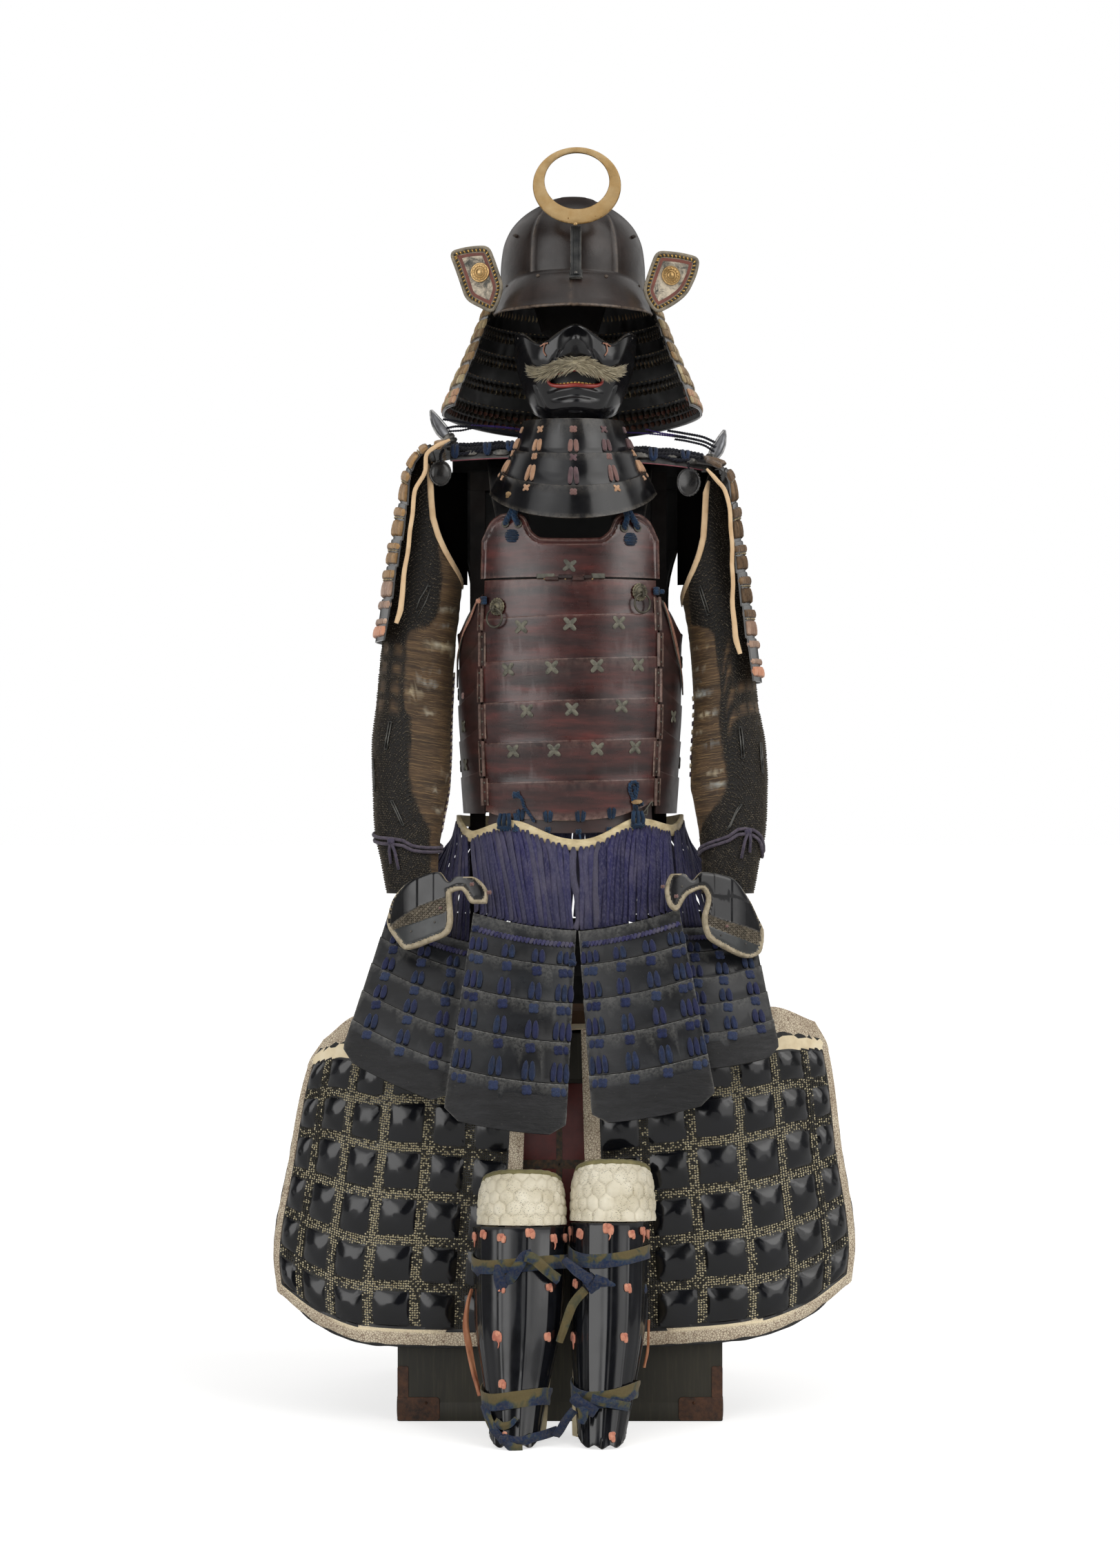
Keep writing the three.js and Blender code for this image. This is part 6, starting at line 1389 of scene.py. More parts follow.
for s_, holes, tuft in ((-1, ((-32.5, 1207.7), (-24.7, 1206.6)), (-28.6, 1190.4)), (1, ((25.8, 1200.8), (34.2, 1202.0)), (29.6, 1185.8))):
    for u_, z_ in holes:
        p, n, tu, tv = frames(trunk, np.array([u_]), np.array([z_]), trunk_in, 0.3, 0.3)
        x, z = tu, np.cross(tu, n)
        a_ = np.linspace(0, 2 * np.pi, 21)[:-1][:, None]
        sweep(bag, p + n * 2.6 + 4.6 * (np.cos(a_) * x + np.sin(a_) * z), 1.3, 8, 2, up=np.repeat(n, 20, 0), closed=True)
        # a dark disc in each eyelet: painted shade in the hole
        stamp(bag, DOME, p + n * 1.9, x, n, z, mat=1, size=(4.2, 0.6, 4.2))
    # tuft: a bed of close turns
    u_, z_ = tuft
    for k_ in range(-3, 4):
        w_ = 11.2 * math.sqrt(max(1 - (k_ / 4.1) ** 2, 0.05))
        put(bag, PILL, trunk, trunk_in, [u_], [z_ + k_ * 2.35], (w_, 4.4, 1.8), mat=3, lift=1.6, du=0.3, dv=0.3, shade=hash01(np.array([k_ * 1.0]), s_ + 3.0), spin=1.5 * (k_ % 2 * 2 - 1))
    # two thick cords from under the throat guard into the eyelets
    for j_, (hu, hz) in enumerate(holes):
        top = chest(np.array([s_ * (25.5 + 2.5 * (j_ if s_ > 0 else 1 - j_))]), np.array([0.0]))[0] + np.array([0, -9.0, 12.0])
        ctl = [top + [0, 6.0, 13.0], top]
        for t_, l_ in ((0.35, 8.5), (0.75, 6.0), (1.0, 1.8)):
            hp, hn, _, _ = frames(trunk, np.array([lerp(s_ * 27.0, hu, t_)]), np.array([lerp(1222.0, hz, t_)]), trunk_in, 0.3, 0.3)
            ctl.append(hp[0] + hn[0] * l_)
        twisted(bag, resample(np.array(ctl), 30), 4.3, 13, 3, 7, 3, up=(0, -1, 0))
    # leather tab under the throat guard
    c = chest(np.array([s_ * 27.0]), np.array([0.0]))[0] + np.array([s_ * 3.0, -7.0, 24.0])
    stamp(bag, CAP10, c[None], [[1.0, 0, s_ * 0.12]], [[0, -1.0, 0.3]], [[-s_ * 0.12, 0.3, 1.0]], mat=4, size=(11.0, 4.0, 4.2))
    for k_ in range(4):
        q = resample(c + np.array([[s_ * (k_ * 2.0 - 3), -2, 3], [s_ * (k_ * 2.0), -5, 0], [s_ * (k_ * 2.2 + 2), -3, -4]]), 8)
        sweep(bag, q, 1.3, 6, 4, up=(0, -1, 0))
# hinge between chest and front plate: worn leaves and knuckles
zh = 1132.0
panel(bag, trunk, trunk_in, -14.5, -6.0, 1131.2, 1137.5, lift=2.6, mat=2, du=0.3, dv=0.3, base=1.6)
panel(bag, trunk, trunk_in, 8.4, 15.0, 1131.2, 1137.8, lift=2.6, mat=2, du=0.3, dv=0.3, base=1.6)
for ua, ub, dz, m_ in ((-10.2, -4.4, -1.5, 5), (-4.2, 0.4, 1.2, 1), (0.6, 5.0, -1.6, 5), (5.2, 8.6, 1.0, 5)):
    q, nn = on_surface(trunk, trunk_in, [(ua, zh + dz), (ub, zh + dz)], 2.8, 0.3, 0.3, n=8)
    sweep(bag, q, 2.9, 10, m_, up=nn)
for u_ in (-10.6, -1.6, 8.8):
    put(bag, DOME, trunk, trunk_in, [u_], [1130.6], (1.5, 1.2, 1.5), mat=4, lift=2.4, du=0.3, dv=0.3)
bag.build("chest_plate_fine", [CUIR, CUIR_PAINTED_SHADE, RIVET, TEAL, TAB, HINGE], replaces="chest_plate")

# side plates and the long front hinges
for name, s_ in (("side_plate_left", -1), ("side_plate_right", 1)):
    f = side(s_)
    bag = Bag()
    us = np.linspace(49.2, 118, 57)
    vs, off, ed = lame_rows(0, 1, [0.2, 0.4, 0.6, 0.8], 1.6, per=5, lip=0.04)
    P, N, U, W_ = sheet_grid(f, us, vs, trunk_in, off, 0.3, 2e-3)
    ledge = clamp(gauss(W_ * (sideT["z"](U) - 812) - 2.5, 2.2) + gauss((U - 49.2) * 2.6 - 1.5, 1.6) + gauss((118 - U) * 2.6 - 1.5, 1.6))
    P = P + N * (1.4 * gauss(W_ * (sideT["z"](U) - 812) - 3, 2.0))[..., None]
    # the side plates take the darker copy of the red lacquer: painted shade
    shell(bag, P, N, 2.4, mask=clamp(ed[:, None] * 0.35 + 0.4 * ledge), inner_mat=0)
    spots = [(70.1, 0.534), (92, 0.34), (70, 0.74), (92, 0.74)] if s_ < 0 else [(64, 0.50), (84, 0.16), (86, 0.72)]
    for u_, v_ in spots:
        put(bag, XRIV, f, trunk_in, [u_], [v_], (10.4, 6.4, 10.4), mat=1, lift=1.2, wear=0.2)
    if s_ < 0:
        put(bag, BUD4, f, trunk_in, [70.0], [0.37], (6.2, 4.0, 6.2), mat=3, lift=1.0)
    zs = [1131, 1061, 1012, 963, 913, 862, 822]
    for k_ in range(6):
        z0, z1 = zs[k_] - 1.5, zs[k_ + 1] + 1.5
        if k_ == 0:
            z0 = 1108
        o_ = 1.0 if (k_ % 2 == (0 if s_ < 0 else 1)) else -1.0
        panel(bag, trunk, trunk_in, s_ * (48.4 + o_ * 0.9 - 1.7), s_ * (48.4 + o_ * 0.9 + 1.7), z0, z1, 3, 10, lift=2.2, mat=2, wear=0.8, du=0.3, dv=0.3, base=0.6, eu=0.12, ev=0.03)
        q, nn = on_surface(trunk, trunk_in, [(s_ * (48.4 - o_ * 0.9), z0), (s_ * (48.4 - o_ * 0.9), z1)], 2.6, 0.3, 0.3, n=10)
        sweep(bag, q, 2.5, 9, 2, up=nn, mask=(0.35, 0.3, 0))
        q, nn = on_surface(trunk, trunk_in, [(s_ * (48.4 + o_ * 3.0), z0), (s_ * (48.4 + o_ * 3.0), z1)], 1.7, 0.3, 0.3, n=10)
        sweep(bag, q, 1.2, 6, 2, up=nn, mask=(0.6, 0.3, 0))
        for zz in (z0 - 6, (z0 + z1) / 2, z1 + 6):
            put(bag, DOME, trunk, trunk_in, [s_ * (48.4 + o_ * 1.1)], [zz], (1.5, 1.1, 1.5), mat=1, lift=2.8, du=0.3, dv=0.3)
    # thin cords that run from the upper corner down the side
    for k_ in range(3):
        if s_ > 0:
            q, _ = on_surface(f, trunk_in, [(50.5 + k_, 0.02), (55 + 2 * k_, 0.05), (63 + 3 * k_, 0.13), (76 + 3 * k_, 0.24 + 0.02 * k_), (84 + 2 * k_, 0.34)], [6, 4.5, 3.2, 3.0, 2.6], 0.3, 2e-3)
        else:
            q, _ = on_surface(f, trunk_in, [(50.5 + k_ * 0.5, 0.01), (55 + k_, 0.01 + 0.015 * k_), (66 + 2 * k_, 0.04 + 0.01 * k_), (80 + 2 * k_, 0.16), (90, 0.30)], [5.5, 4.5, 3.2, 3.0, 2.6], 0.3, 2e-3)
        sweep(bag, resample(q, 30), 0.85 + 0.25 * (k_ == 1), 6, 4 if k_ else 1, up=(0, -1, 0))
    bag.build(name + "_fine", [CUIR_PAINTED_SHADE, RIVET, HINGE, MAUVE, PINKTIE], replaces=name)

# back plate: lames with close rows of lacing heads, a rolled upper edge
bag = Bag()
us = np.linspace(-1, 1, 91)
vs, off, ed = lame_rows(0, 1, [0.18, 0.36, 0.54, 0.72, 0.88], 1.6, per=6, lip=0.04)
P, N, U, W_ = sheet_grid(back, us, vs, trunk_in, off, 0.01, 2e-3)
H_ = backH["h"](W_)
edgeb = clamp(gauss((1 - np.abs(U)) * H_ * 2.6 - 2.5, 2.2) + gauss((1 - W_) * 518 - 3, 2.4))
P = P + N * (1.6 * edgeb)[..., None]
shell(bag, P, N, 2.4, mask=clamp(ed[:, None] * 0.5 + 0.5 * edgeb), inner_mat=1)
for k_, v_ in enumerate((0.15, 0.33, 0.51, 0.69, 0.85)):
    uu = np.linspace(-0.88, 0.88, 13)
    for d_ in (-0.012, 0.012):
        put(bag, PILL, back, trunk_in, uu + d_, np.full(13, v_), (2.2, 2.2, 7.0), mat=2, lift=1.2, du=0.01)
    put(bag, BUD4, back, trunk_in, uu, np.full(13, v_ + 0.055), (5.0, 3.6, 5.0), mat=2, lift=2.4, du=0.01)
# a plain socket and ring in the middle of the back
panel(bag, back, trunk_in, -0.12, 0.12, 0.70, 0.76, lift=3.0, mat=3, du=0.01, base=1.6)
c, nn = on_surface(back, trunk_in, [(0, 0.735)], 6.5, 0.01, 2e-3)
a_ = np.linspace(0, 2 * np.pi, 33)[:-1][:, None]
sweep(bag, c + np.array([0, 1.5, -11.0]) + 12 * (np.cos(a_) * [1, 0, 0] + np.sin(a_) * [0, 0.15, 1]), 1.6, 8, 3, up=(0, 1, 0), closed=True)
put(bag, DOME, back, trunk_in, [0, -0.09, 0.09], [0.735, 0.715, 0.715], (5, 3.5, 5), mat=3, lift=4.0, du=0.01)
bag.build("back_plate_fine", [BLACK, BLACK_INSIDE_AND_SHADE, TEAL, STEEL], replaces="back_plate")

# ring fittings: petalled base, dome and staple; the ring itself swings
for side_, px_, z_ in (("left", -84, 1094), ("right", 107, 1114)):
    lo, hi = -46.0, 46.0
    for _ in range(50):
        m_ = (lo + hi) / 2
        if trunk(m_, z_)[0] < px_:
            lo = m_
        else:
            hi = m_
    p = trunk(lo, z_)
    q = unit(trunk(lo + 0.5, z_) - trunk(lo - 0.5, z_))
    n = np.array([q[1], -q[0], 0.0])
    o = p + n * 2.4
    zz = np.array([0, 0, 1.0])
    bag = Bag()
    a_ = np.arange(96) / 96 * 2 * np.pi
    prof = [(0.2, -0.0), (11.4, 0.0), (12.0, 0.4), (12.0, 1.3), (11.2, 1.9), (9.6, 1.4), (8.8, 1.9), (7.4, 2.6), (6.9, 2.2), (5.2, 3.4), (3.0, 4.4), (0.3, 4.7)]
    rr = np.array([[o + (r_ * (1 + (0.035 * math.cos(16 * t) if 8 < r_ < 12.1 and h_ > 0 else 0))) * (math.cos(t) * q + math.sin(t) * zz) + h_ * n for t in a_] for r_, h_ in prof])
    dirn = np.cross(rr[3][1] - rr[3][0], rr[4][0] - rr[3][0]) @ n
    loft(bag, rr, mat=0, cap=True, flip=dirn < 0, mask=np.repeat(np.array([0, 0, 0.6, 0.6, 0.5, 0, 0.2, 0.4, 0, 0.2, 0.5, 0.5]), 96)[:, None] * [1, 0, 0])
    t16 = np.arange(16) / 16 * 2 * np.pi
    for t_ in t16:
        d_ = math.cos(t_) * q + math.sin(t_) * zz
        stamp(bag, BLOB, (o + d_ * 10.0 + n * 1.5)[None], [np.cross(n, d_)], [n], [d_], mat=0, mask=(0.3, 0, 0), size=(1.3, 0.9, 1.7))
    th = np.linspace(0, 2 * np.pi, 25)[:-1][:, None]
    sweep(bag, o + n * 7.1 - zz * 3 + 3.6 * (np.cos(th) * n + np.sin(th) * zz), 1.25, 8, 0, up=q, closed=True)
    bag.build("ring_base_" + side_ + "_fine", [GOLDEN], replaces="ring_base_" + side_)
    bag = Bag()
    cc = o + n * 7.1 - zz * (3 + 12.6)
    th = np.linspace(0, 2 * np.pi, 49)[:-1][:, None]
    sweep(bag, cc + 12.6 * (np.cos(th) * q + np.sin(th) * zz), 1.5 * (1 + 0.12 * np.cos(th[:, 0] + 1.57)), 10, 0, up=n, closed=True)
    bag.build("ring_" + side_ + "_fine", [GOLDEN], replaces="ring_" + side_, body="ring_" + side_)

# ============================================================ shoulder guards
PEACH = mottled("binding_leather", [(0.3, lin("#c9a57c")), (0.6, lin("#e3c49b")), (0.8, lin("#efd6b0"))], 60, rough=(0.62, 0.78), sheen=0.2, edge=lin("#8e7355"), bumps=(("noise", 380, 0.35, 0.0006),)).m
LACEBROWN = silk("lace_brown", [(0.25, lin("#4b3a29")), (0.5, lin("#7b6045")), (0.75, lin("#9f8260"))], scale=70, tint=(lin("#2d2319"), 0.6)).m
LACETAN = silk("lace_honey", [(0.25, lin("#80603c")), (0.5, lin("#b08a5c")), (0.75, lin("#cfab7c"))], scale=70, tint=(lin("#5d4429"), 0.55)).m
LACEPINK = silk("lace_faded_pink", [(0.25, lin("#8d6e5c")), (0.5, lin("#b3937e")), (0.75, lin("#cdb09a"))], scale=70, tint=(lin("#6a5143"), 0.5)).m
LACECORAL = silk("lace_coral", [(0.25, lin("#c98463")), (0.5, lin("#e8a987")), (0.75, lin("#f2c0a2"))], scale=70, tint=(lin("#a8674a"), 0.4)).m
in_sode = lambda s: (lambda p: np.broadcast_to(np.array([-s, 0, -0.6]), p.shape))
SODE = {-1: dict(seams=[0.09, 0.245, 0.408, 0.552, 0.657, 0.802], lace=[LACETAN] * 5, bind=[(-151, 1325), (-170, 1316), (-183, 1303), (-184.6, 1285), (-198.8, 1253.6), (-204.5, 1205.4), (-211, 1157), (-216, 1121), (-217.5, 1095), (-225, 1073)]),
        1: dict(seams=[0.158, 0.33, 0.478, 0.588, 0.71, 0.833], lace=[LACEBROWN] * 5, bind=[(201, 1285), (214, 1270), (226.3, 1256), (231.5, 1235), (234, 1213), (236.5, 1147), (237, 1094), (241, 1056), (246.5, 1031)])}
for s in (-1, 1):
    bag = Bag()
    f, inw = sode(s), in_sode(s)
    D = SODE[s]
    us = np.linspace(-1, 1, 53)
    vs, off, ed = lame_rows(0, 1, D["seams"], 2.2, per=4, lip=0.05)
    P, N, U, W_ = sheet_grid(f, us, vs, inw, off, 0.01, 2e-3)
    shell(bag, P, N, 2.4, mask=clamp(ed[:, None] * 0.15 + 0.12 * gauss(np.abs(U) - 1, 0.03)), inner_mat=1)
    tops, feet = [0.0] + D["seams"], D["seams"] + [1.0]
    put_ = lambda n_, v_, w_, d_, h_, mat, lift, seed, spin=3.0: put(bag, PILL, f, inw, np.linspace(-0.955, 0.955, n_) + 0.006 * (hash01(np.arange(n_) * 1.0, seed) - 0.5), v_ + 0.002 * (hash01(np.arange(n_) * 2.0, seed) - 0.5), np.stack([np.full(n_, w_), np.full(n_, d_), h_ * (0.94 + 0.12 * hash01(np.arange(n_) * 3.0, seed))], 1), mat=mat, lift=lift,
                                                     shade=hash01(np.arange(n_) * 5.0, seed), spin=spin * (hash01(np.arange(n_) * 7.0, seed) - 0.5), du=0.01)
    for k, (a, b) in enumerate(zip(tops, feet)):
        L = b - a
        hmm = L * (285 if s < 0 else 318)
        if k == 0:
            put_(19, a + 0.55 * L, 5.0, 4.0, hmm * 0.36, 2, 1.8, k)
            continue
        if k < 6:
            m_short, m_tall = 2, (4 if (k == 5) else 2)
            put_(19, a + 0.255 * L, 5.0, 4.6, hmm * 0.150, m_short, 2.2, k * 3.0)
            put_(35, a + 0.695 * L, 2.75, 4.0, hmm * 0.265, m_tall, 1.4, k * 3.0 + 1, 2.0)
            for q in np.linspace(-0.9, 0.9, 19):                                      # the pale knots of cord that hold the short tufts
                put(bag, BLOB, f, inw, [q + 0.05], [a + 0.42 * L], (2.2, 1.6, 1.2), mat=5, lift=3.2, du=0.01)
        else:                                                                          # bottom lame: short, bare lacquer, short, coral foot row
            put_(19, a + 0.15 * L, 5.0, 4.4, hmm * 0.10, 4, 1.8, k * 3.0)
            put_(19, a + 0.545 * L, 4.8, 3.8, hmm * 0.075, 4, 1.4, k * 3.0 + 1)
            put_(17, a + 0.775 * L, 5.4, 4.6, hmm * 0.135, 6, 1.4, k * 3.0 + 2)
    # flat leather binding down the front and the back edges
    q = resample([(x_, -92.0 - 0.4 * i_, z_) for i_, (x_, z_) in enumerate(D["bind"])], 60)
    q[:, 0] += 0.9 * np.sin(np.arange(60) * 0.55) * 0.6
    sweep(bag, q, np.interp(np.arange(60), [0, 3, 40, 55, 59], [1.6, 2.9, 3.0, 4.0, 3.0]), 8, 3, up=(0, -1.0, 0), flat=0.55, mask=(0.15, 0, 0))
    qb = q * [1, -1, 1] + [0, -14, 0]
    sweep(bag, qb, 3.0, 8, 3, up=(0, 1.0, 0), flat=0.55)
    bag.build("sode_left_fine" if s < 0 else "sode_right_fine", [BLACK, BLACK_INSIDE_AND_SHADE, D["lace"][0], PEACH, LACEPINK, CREAMLACE, LACECORAL], replaces="shoulder_guard_left" if s < 0 else "shoulder_guard_right")

# ============================================================ sleeves
BOUND = {-1: pchip([-200, 704, 788, 808, 847, 873, 916, 947, 953, 981, 1012, 1047, 1065, 1071, 1091, 1122, 1182, 1211, 1252, 1320], [140, 140, 131, 114, 93, 89, 91, 87, 80, 75, 74, 72, 78, 104, 117, 119, 105, 97, 88, 84]),
         1: pchip([-200, 704, 768, 790, 820, 842, 859, 892, 936, 989, 1023, 1056, 1066, 1075, 1117, 1172, 1230, 1320], [175, 175, 172, 158, 119, 99, 96, 100, 106, 100, 103, 104, 112, 150, 140, 112, 100, 96])}
WINDOWS = {-1: [(a, v) for a in (-60, -30, 0, 30, 60) for v in (0.447, 0.492, 0.536, 0.578)],
           1: [(86, 0.396), (86, 0.446)] + [(a, v) for a in (-78, -50, -25, 0, 22, 42, 62, 84) for v in (0.512, 0.565)]}
# painted glints on the silk; each entry: angle, v, width in degrees, v span, strength
SILK_GLINTS = {-1: [(145, 0.135, 22, 0.006, 0.8), (137, 0.258, 26, 0.014, 1.0), (160, 0.25, 9, 0.012, 0.7), (107, 0.414, 16, 0.007, 0.8), (120, 0.40, 9, 0.005, 0.5), (90, 0.496, 12, 0.01, 0.7), (114, 0.486, 10, 0.006, 1.0), (153, 0.637, 9, 0.006, 0.9), (133, 0.694, 12, 0.005, 0.5), (118, 0.36, 14, 0.004, 0.5), (140, 0.19, 20, 0.004, 0.4), (150, 0.745, 14, 0.008, 0.5)],
         1: [(151, 0.268, 22, 0.006, 0.6), (146, 0.356, 22, 0.012, 1.0), (131, 0.439, 18, 0.008, 1.0), (150, 0.475, 12, 0.006, 0.5), (122, 0.546, 14, 0.004, 0.5), (116, 0.637, 13, 0.005, 0.9), (113, 0.679, 14, 0.009, 1.0), (137, 0.221, 24, 0.004, 0.4), (150, 0.31, 20, 0.005, 0.4)]}
LINK = (np.array([[1, 0, 0], [-1, 0, 0], [0, 1, 0], [0, -1, 0], [0, 0, 1], [0, 0, -1.0]]), np.zeros((0, 4), int), np.array([[0, 4, 2], [4, 1, 2], [1, 5, 2], [5, 0, 2], [4, 0, 3], [1, 4, 3], [5, 1, 3], [0, 5, 3]]))
MAIL = mottled("mail_iron", [(0.3, lin("#3f392f")), (0.55, lin("#675e50")), (0.8, lin("#8f8470"))], 160, rough=(0.42, 0.62), metallic=0.3, tint=(lin("#17140f"), 0.6), bumps=(("noise", 900, 0.2, 0.0003),)).m
SPLINT = mottled("splint_iron", [(0.3, lin("#2c2d2d")), (0.7, lin("#4d4e4c"))], 60, rough=(0.3, 0.45), metallic=0.6, edge=lin("#8b8881"), bumps=(("noise", 260, 0.25, 0.0004),)).m
STITCH = silk("whip_stitch", [(0.3, lin("#a8957a")), (0.7, lin("#d8c8aa"))], sheen=0.2, tint=(lin("#4a3a4d"), 0.95)).m
WRISTCORD = silk("cord_grey", [(0.3, lin("#3a353d")), (0.7, lin("#6a6068"))], scale=220, sheen=0.2, tint=(lin("#2a2750"), 0.7)).m

k = Nodes("sleeve_silk")
cv = k.coord((1, 1, 1), "suv")
fib = k.noise(1.0, 8, 0.72, k.coord((22, 620, 1), "suv"), 0.6)
base = k.ramp(k.noise(1.0, 5, 0.6, k.coord((16, 60, 1), "suv")), [(0.28, lin("#241a12")), (0.5, lin("#3f2f20")), (0.72, lin("#5c4630"))])
col = k.mix(k.gray(fib, [(0.5, 0), (0.68, 1)]), base, lin("#866b48"))
fib2 = k.noise(1.0, 8, 0.7, k.coord((9, 380, 1), "suv"), 1.2)
col = k.mix(k.gray(fib2, [(0.62, 0), (0.74, 0.8)]), col, lin("#b39a6c"))
# mask.z lays painted glints of pale cream and blue-grey over the silk
glint_amt = k.math("MULTIPLY", k.attr("mask", 2), k.gray(k.noise(1.0, 6, 0.65, k.coord((14, 520, 1), "suv"), 0.5), [(0.30, 0.25), (0.52, 1)]), True)
col = k.mix(glint_amt, col, k.ramp(k.noise(24, 3), [(0.4, lin("#cbbd9c")), (0.62, lin("#a9b0ae"))]))
col = k.mix(k.attr("mask", 0), col, lin("#0e0b09"))
k.set(Base_Color=col, Roughness=0.62, Specular_IOR_Level=0.35, Sheen_Weight=0.35, Sheen_Tint=(0.75, 0.6, 0.42, 1), Sheen_Roughness=0.4)
k.set(Normal=k.bump(k.noise(1.0, 6, 0.65, k.coord((10, 120, 1), "suv")), 0.55, 0.003, k.bump(fib, 0.6, 0.0012)))
SLEEVESILK = k.m
# near-black for the sheet in each armhole: painted shade
ARMHOLE_SHADE = mottled("armhole_painted_shade", [(0.3, lin("#060505")), (0.7, lin("#0c0b0a"))], 30, rough=(0.9, 1.0), spec=0.05).m
LINING = mottled("sleeve_lining", [(0.3, lin("#3d352b")), (0.7, lin("#5a4f40"))], 30, rough=(0.85, 0.95), bumps=(("weave", 300, 0.3, 0.0005),)).m

for s in (-1, 1):
    side_n = "left" if s < 0 else "right"
    f, inw = sleeve(s), in_sleeve(s)
    us = np.arange(0, 360, 3.0)
    vs = np.concatenate([[0, 0.003, 0.008], np.linspace(0.014, 0.992, 126), [0.997, 1.0]])
    P, N, U, W_ = sheet_grid(f, us, vs, inw, 0.0, 0.4, 2e-3)
    A = np.abs((U + 180) % 360 - 180)
    Z = P[..., 2]
    mail = smooth(BOUND[s](Z) - A, -1.5, 1.5)
    UD = (U + 180) % 360 - 180
    for a_, v_ in WINDOWS[s]:
        mail = mail * (1 - clamp(1.35 - np.maximum(np.abs(UD - a_) / 8.5, np.abs(W_ - v_) / 0.0135)) * 1.0 * (np.maximum(np.abs(UD - a_) / 8.5, np.abs(W_ - v_) / 0.0135) < 1.25))
    # painted glints, carried in mask.z
    painted_glint = 0 * U
    for a_, v_, w_, h_, g_ in SILK_GLINTS[s]:
        for m_ in (1, -1):
            pc_ = f(np.array([float(a_ * m_)]), np.array([v_]))[0]
            dz_ = P[..., 2] - pc_[2] + 0.16 * (P[..., 0] - pc_[0]) * (1 if s < 0 else -1)
            painted_glint = np.maximum(painted_glint, g_ * smooth(1.25 - np.hypot((UD * m_ - a_) / (w_ * 1.35), (dz_ + 2.5 * fbm(UD * 0.06, P[..., 2] * 0.02, 6)) / (h_ * 330)), 0, 1.0))
    slack = 1 - clamp(mail)
    arc = rad(U) * 46.0
    fold = slack * (1.7 * fbm(UD * 0.018 + 9 * s, (1316 - P[..., 2]) / 619 * 24 + 0.006 * UD, 11 + s) + 0.7 * fbm(UD * 0.03, (1316 - P[..., 2]) / 619 * 66, 5)) + mail * 0.35 * fbm(UD * 0.05, W_ * 12, 8)
    seam_ = -1.0 * gauss(A - 176, 4) * slack + 0.8 * gauss(W_, 0.006) + 1.0 * gauss(W_ - 1, 0.006)
    P = P + N * (fold + seam_ + 0.5)[..., None]
    lay = np.stack([clamp(mail), 0 * U, clamp(painted_glint) * slack], -1)
    suv = np.stack([arc / 1000, (P[..., 2] + 0.16 * P[..., 0] * (1 if s < 0 else -1)) / 1000, 0 * U], -1)
    bag = Bag()
    shell(bag, P, N, 1.6, wrap=True, mask=lay, suv=suv, inner_mat=1)
    cloth_ob = bag.build(f"sleeve_{side_n}_cloth", [SLEEVESILK, LINING], replaces=f"sleeve_{side_n}", sharp=0)
    # ---- mail, splints, bindings and cords laid on the cloth
    bag = Bag()
    pit = 3.25
    lu, lv, lk = [], [], []
    rows_ = int(612 / pit)
    for i in range(rows_):
        v_ = (i + 0.5) / rows_
        n_ = int(300 / pit)
        u_ = (np.arange(n_) + 0.5 * (i % 2)) * 360.0 / n_
        lu.append(u_)
        lv.append(np.full(n_, v_))
        lk.append((np.arange(n_) + i) % 2)
    lu, lv, lk = map(np.concatenate, (lu, lv, lk))
    lu = lu + 1.1 * (hash01(lu, lv * 91) - 0.5)
    lv = lv + 0.0012 * (hash01(lv * 77, lu) - 0.5)
    ud = (lu + 180) % 360 - 180
    pz = f(lu, lv)[..., 2]
    keep = np.abs(ud) < BOUND[s](pz) + 1.5 * noise2(lv * 120, 0 * lv, 3)
    for a_, v_ in WINDOWS[s]:
        keep &= ~(np.maximum(np.abs(ud - a_) / 8.0, np.abs(lv - v_) / 0.013) < 1)
    keep &= (lv > 0.012) & (lv < 0.992)
    lu, lv, lk, ud = lu[keep], lv[keep], lk[keep], ud[keep]
    n_ = len(lu)
    put(bag, LINK, f, inw, lu, lv, np.stack([np.full(n_, 2.35), np.full(n_, 0.95), np.full(n_, 0.78)], 1), mat=0, lift=1.2 + 0.35 * fbm(ud * 0.05, lv * 12, 8), shade=hash01(lu * 3.7, lv * 531), spin=np.where(lk == 0, 38.0, -38.0) + 16 * (hash01(lu * 1.3, lv * 77) - 0.5), du=0.4)
    sp = {-1: [((99, 0.173), (85, 0.323)), ((58, 0.614), (53, 0.677)), ((63, 0.792), (83, 0.84)), ((-60, 0.30), (-52, 0.38)), ((-40, 0.70), (-42, 0.77)), ((20, 0.70), (22, 0.77))],
          1: [((73, 0.602), (71, 0.679)), ((76, 0.787), (100, 0.822)), ((112, 0.088), (107, 0.185)), ((-60, 0.30), (-55, 0.38)), ((-40, 0.70), (-42, 0.77)), ((35, 0.65), (34, 0.72))]}[s]
    for (u0_, v0_), (u1_, v1_) in sp:
        for o_ in (-2.0, 2.0):
            q, nn = on_surface(f, inw, [(u0_ + o_, v0_), ((u0_ + u1_) / 2 + o_, (v0_ + v1_) / 2), (u1_ + o_, v1_)], 2.4, 0.4, n=10)
            sweep(bag, q, 1.0, 6, 1, up=nn, mask=(0.3, 0, 0))
        for q_ in ((u0_, v0_), (u1_, v1_)):
            put(bag, BLOB, f, inw, [q_[0]], [q_[1]], (2.6, 1.3, 1.2), mat=1, lift=2.2, du=0.4)
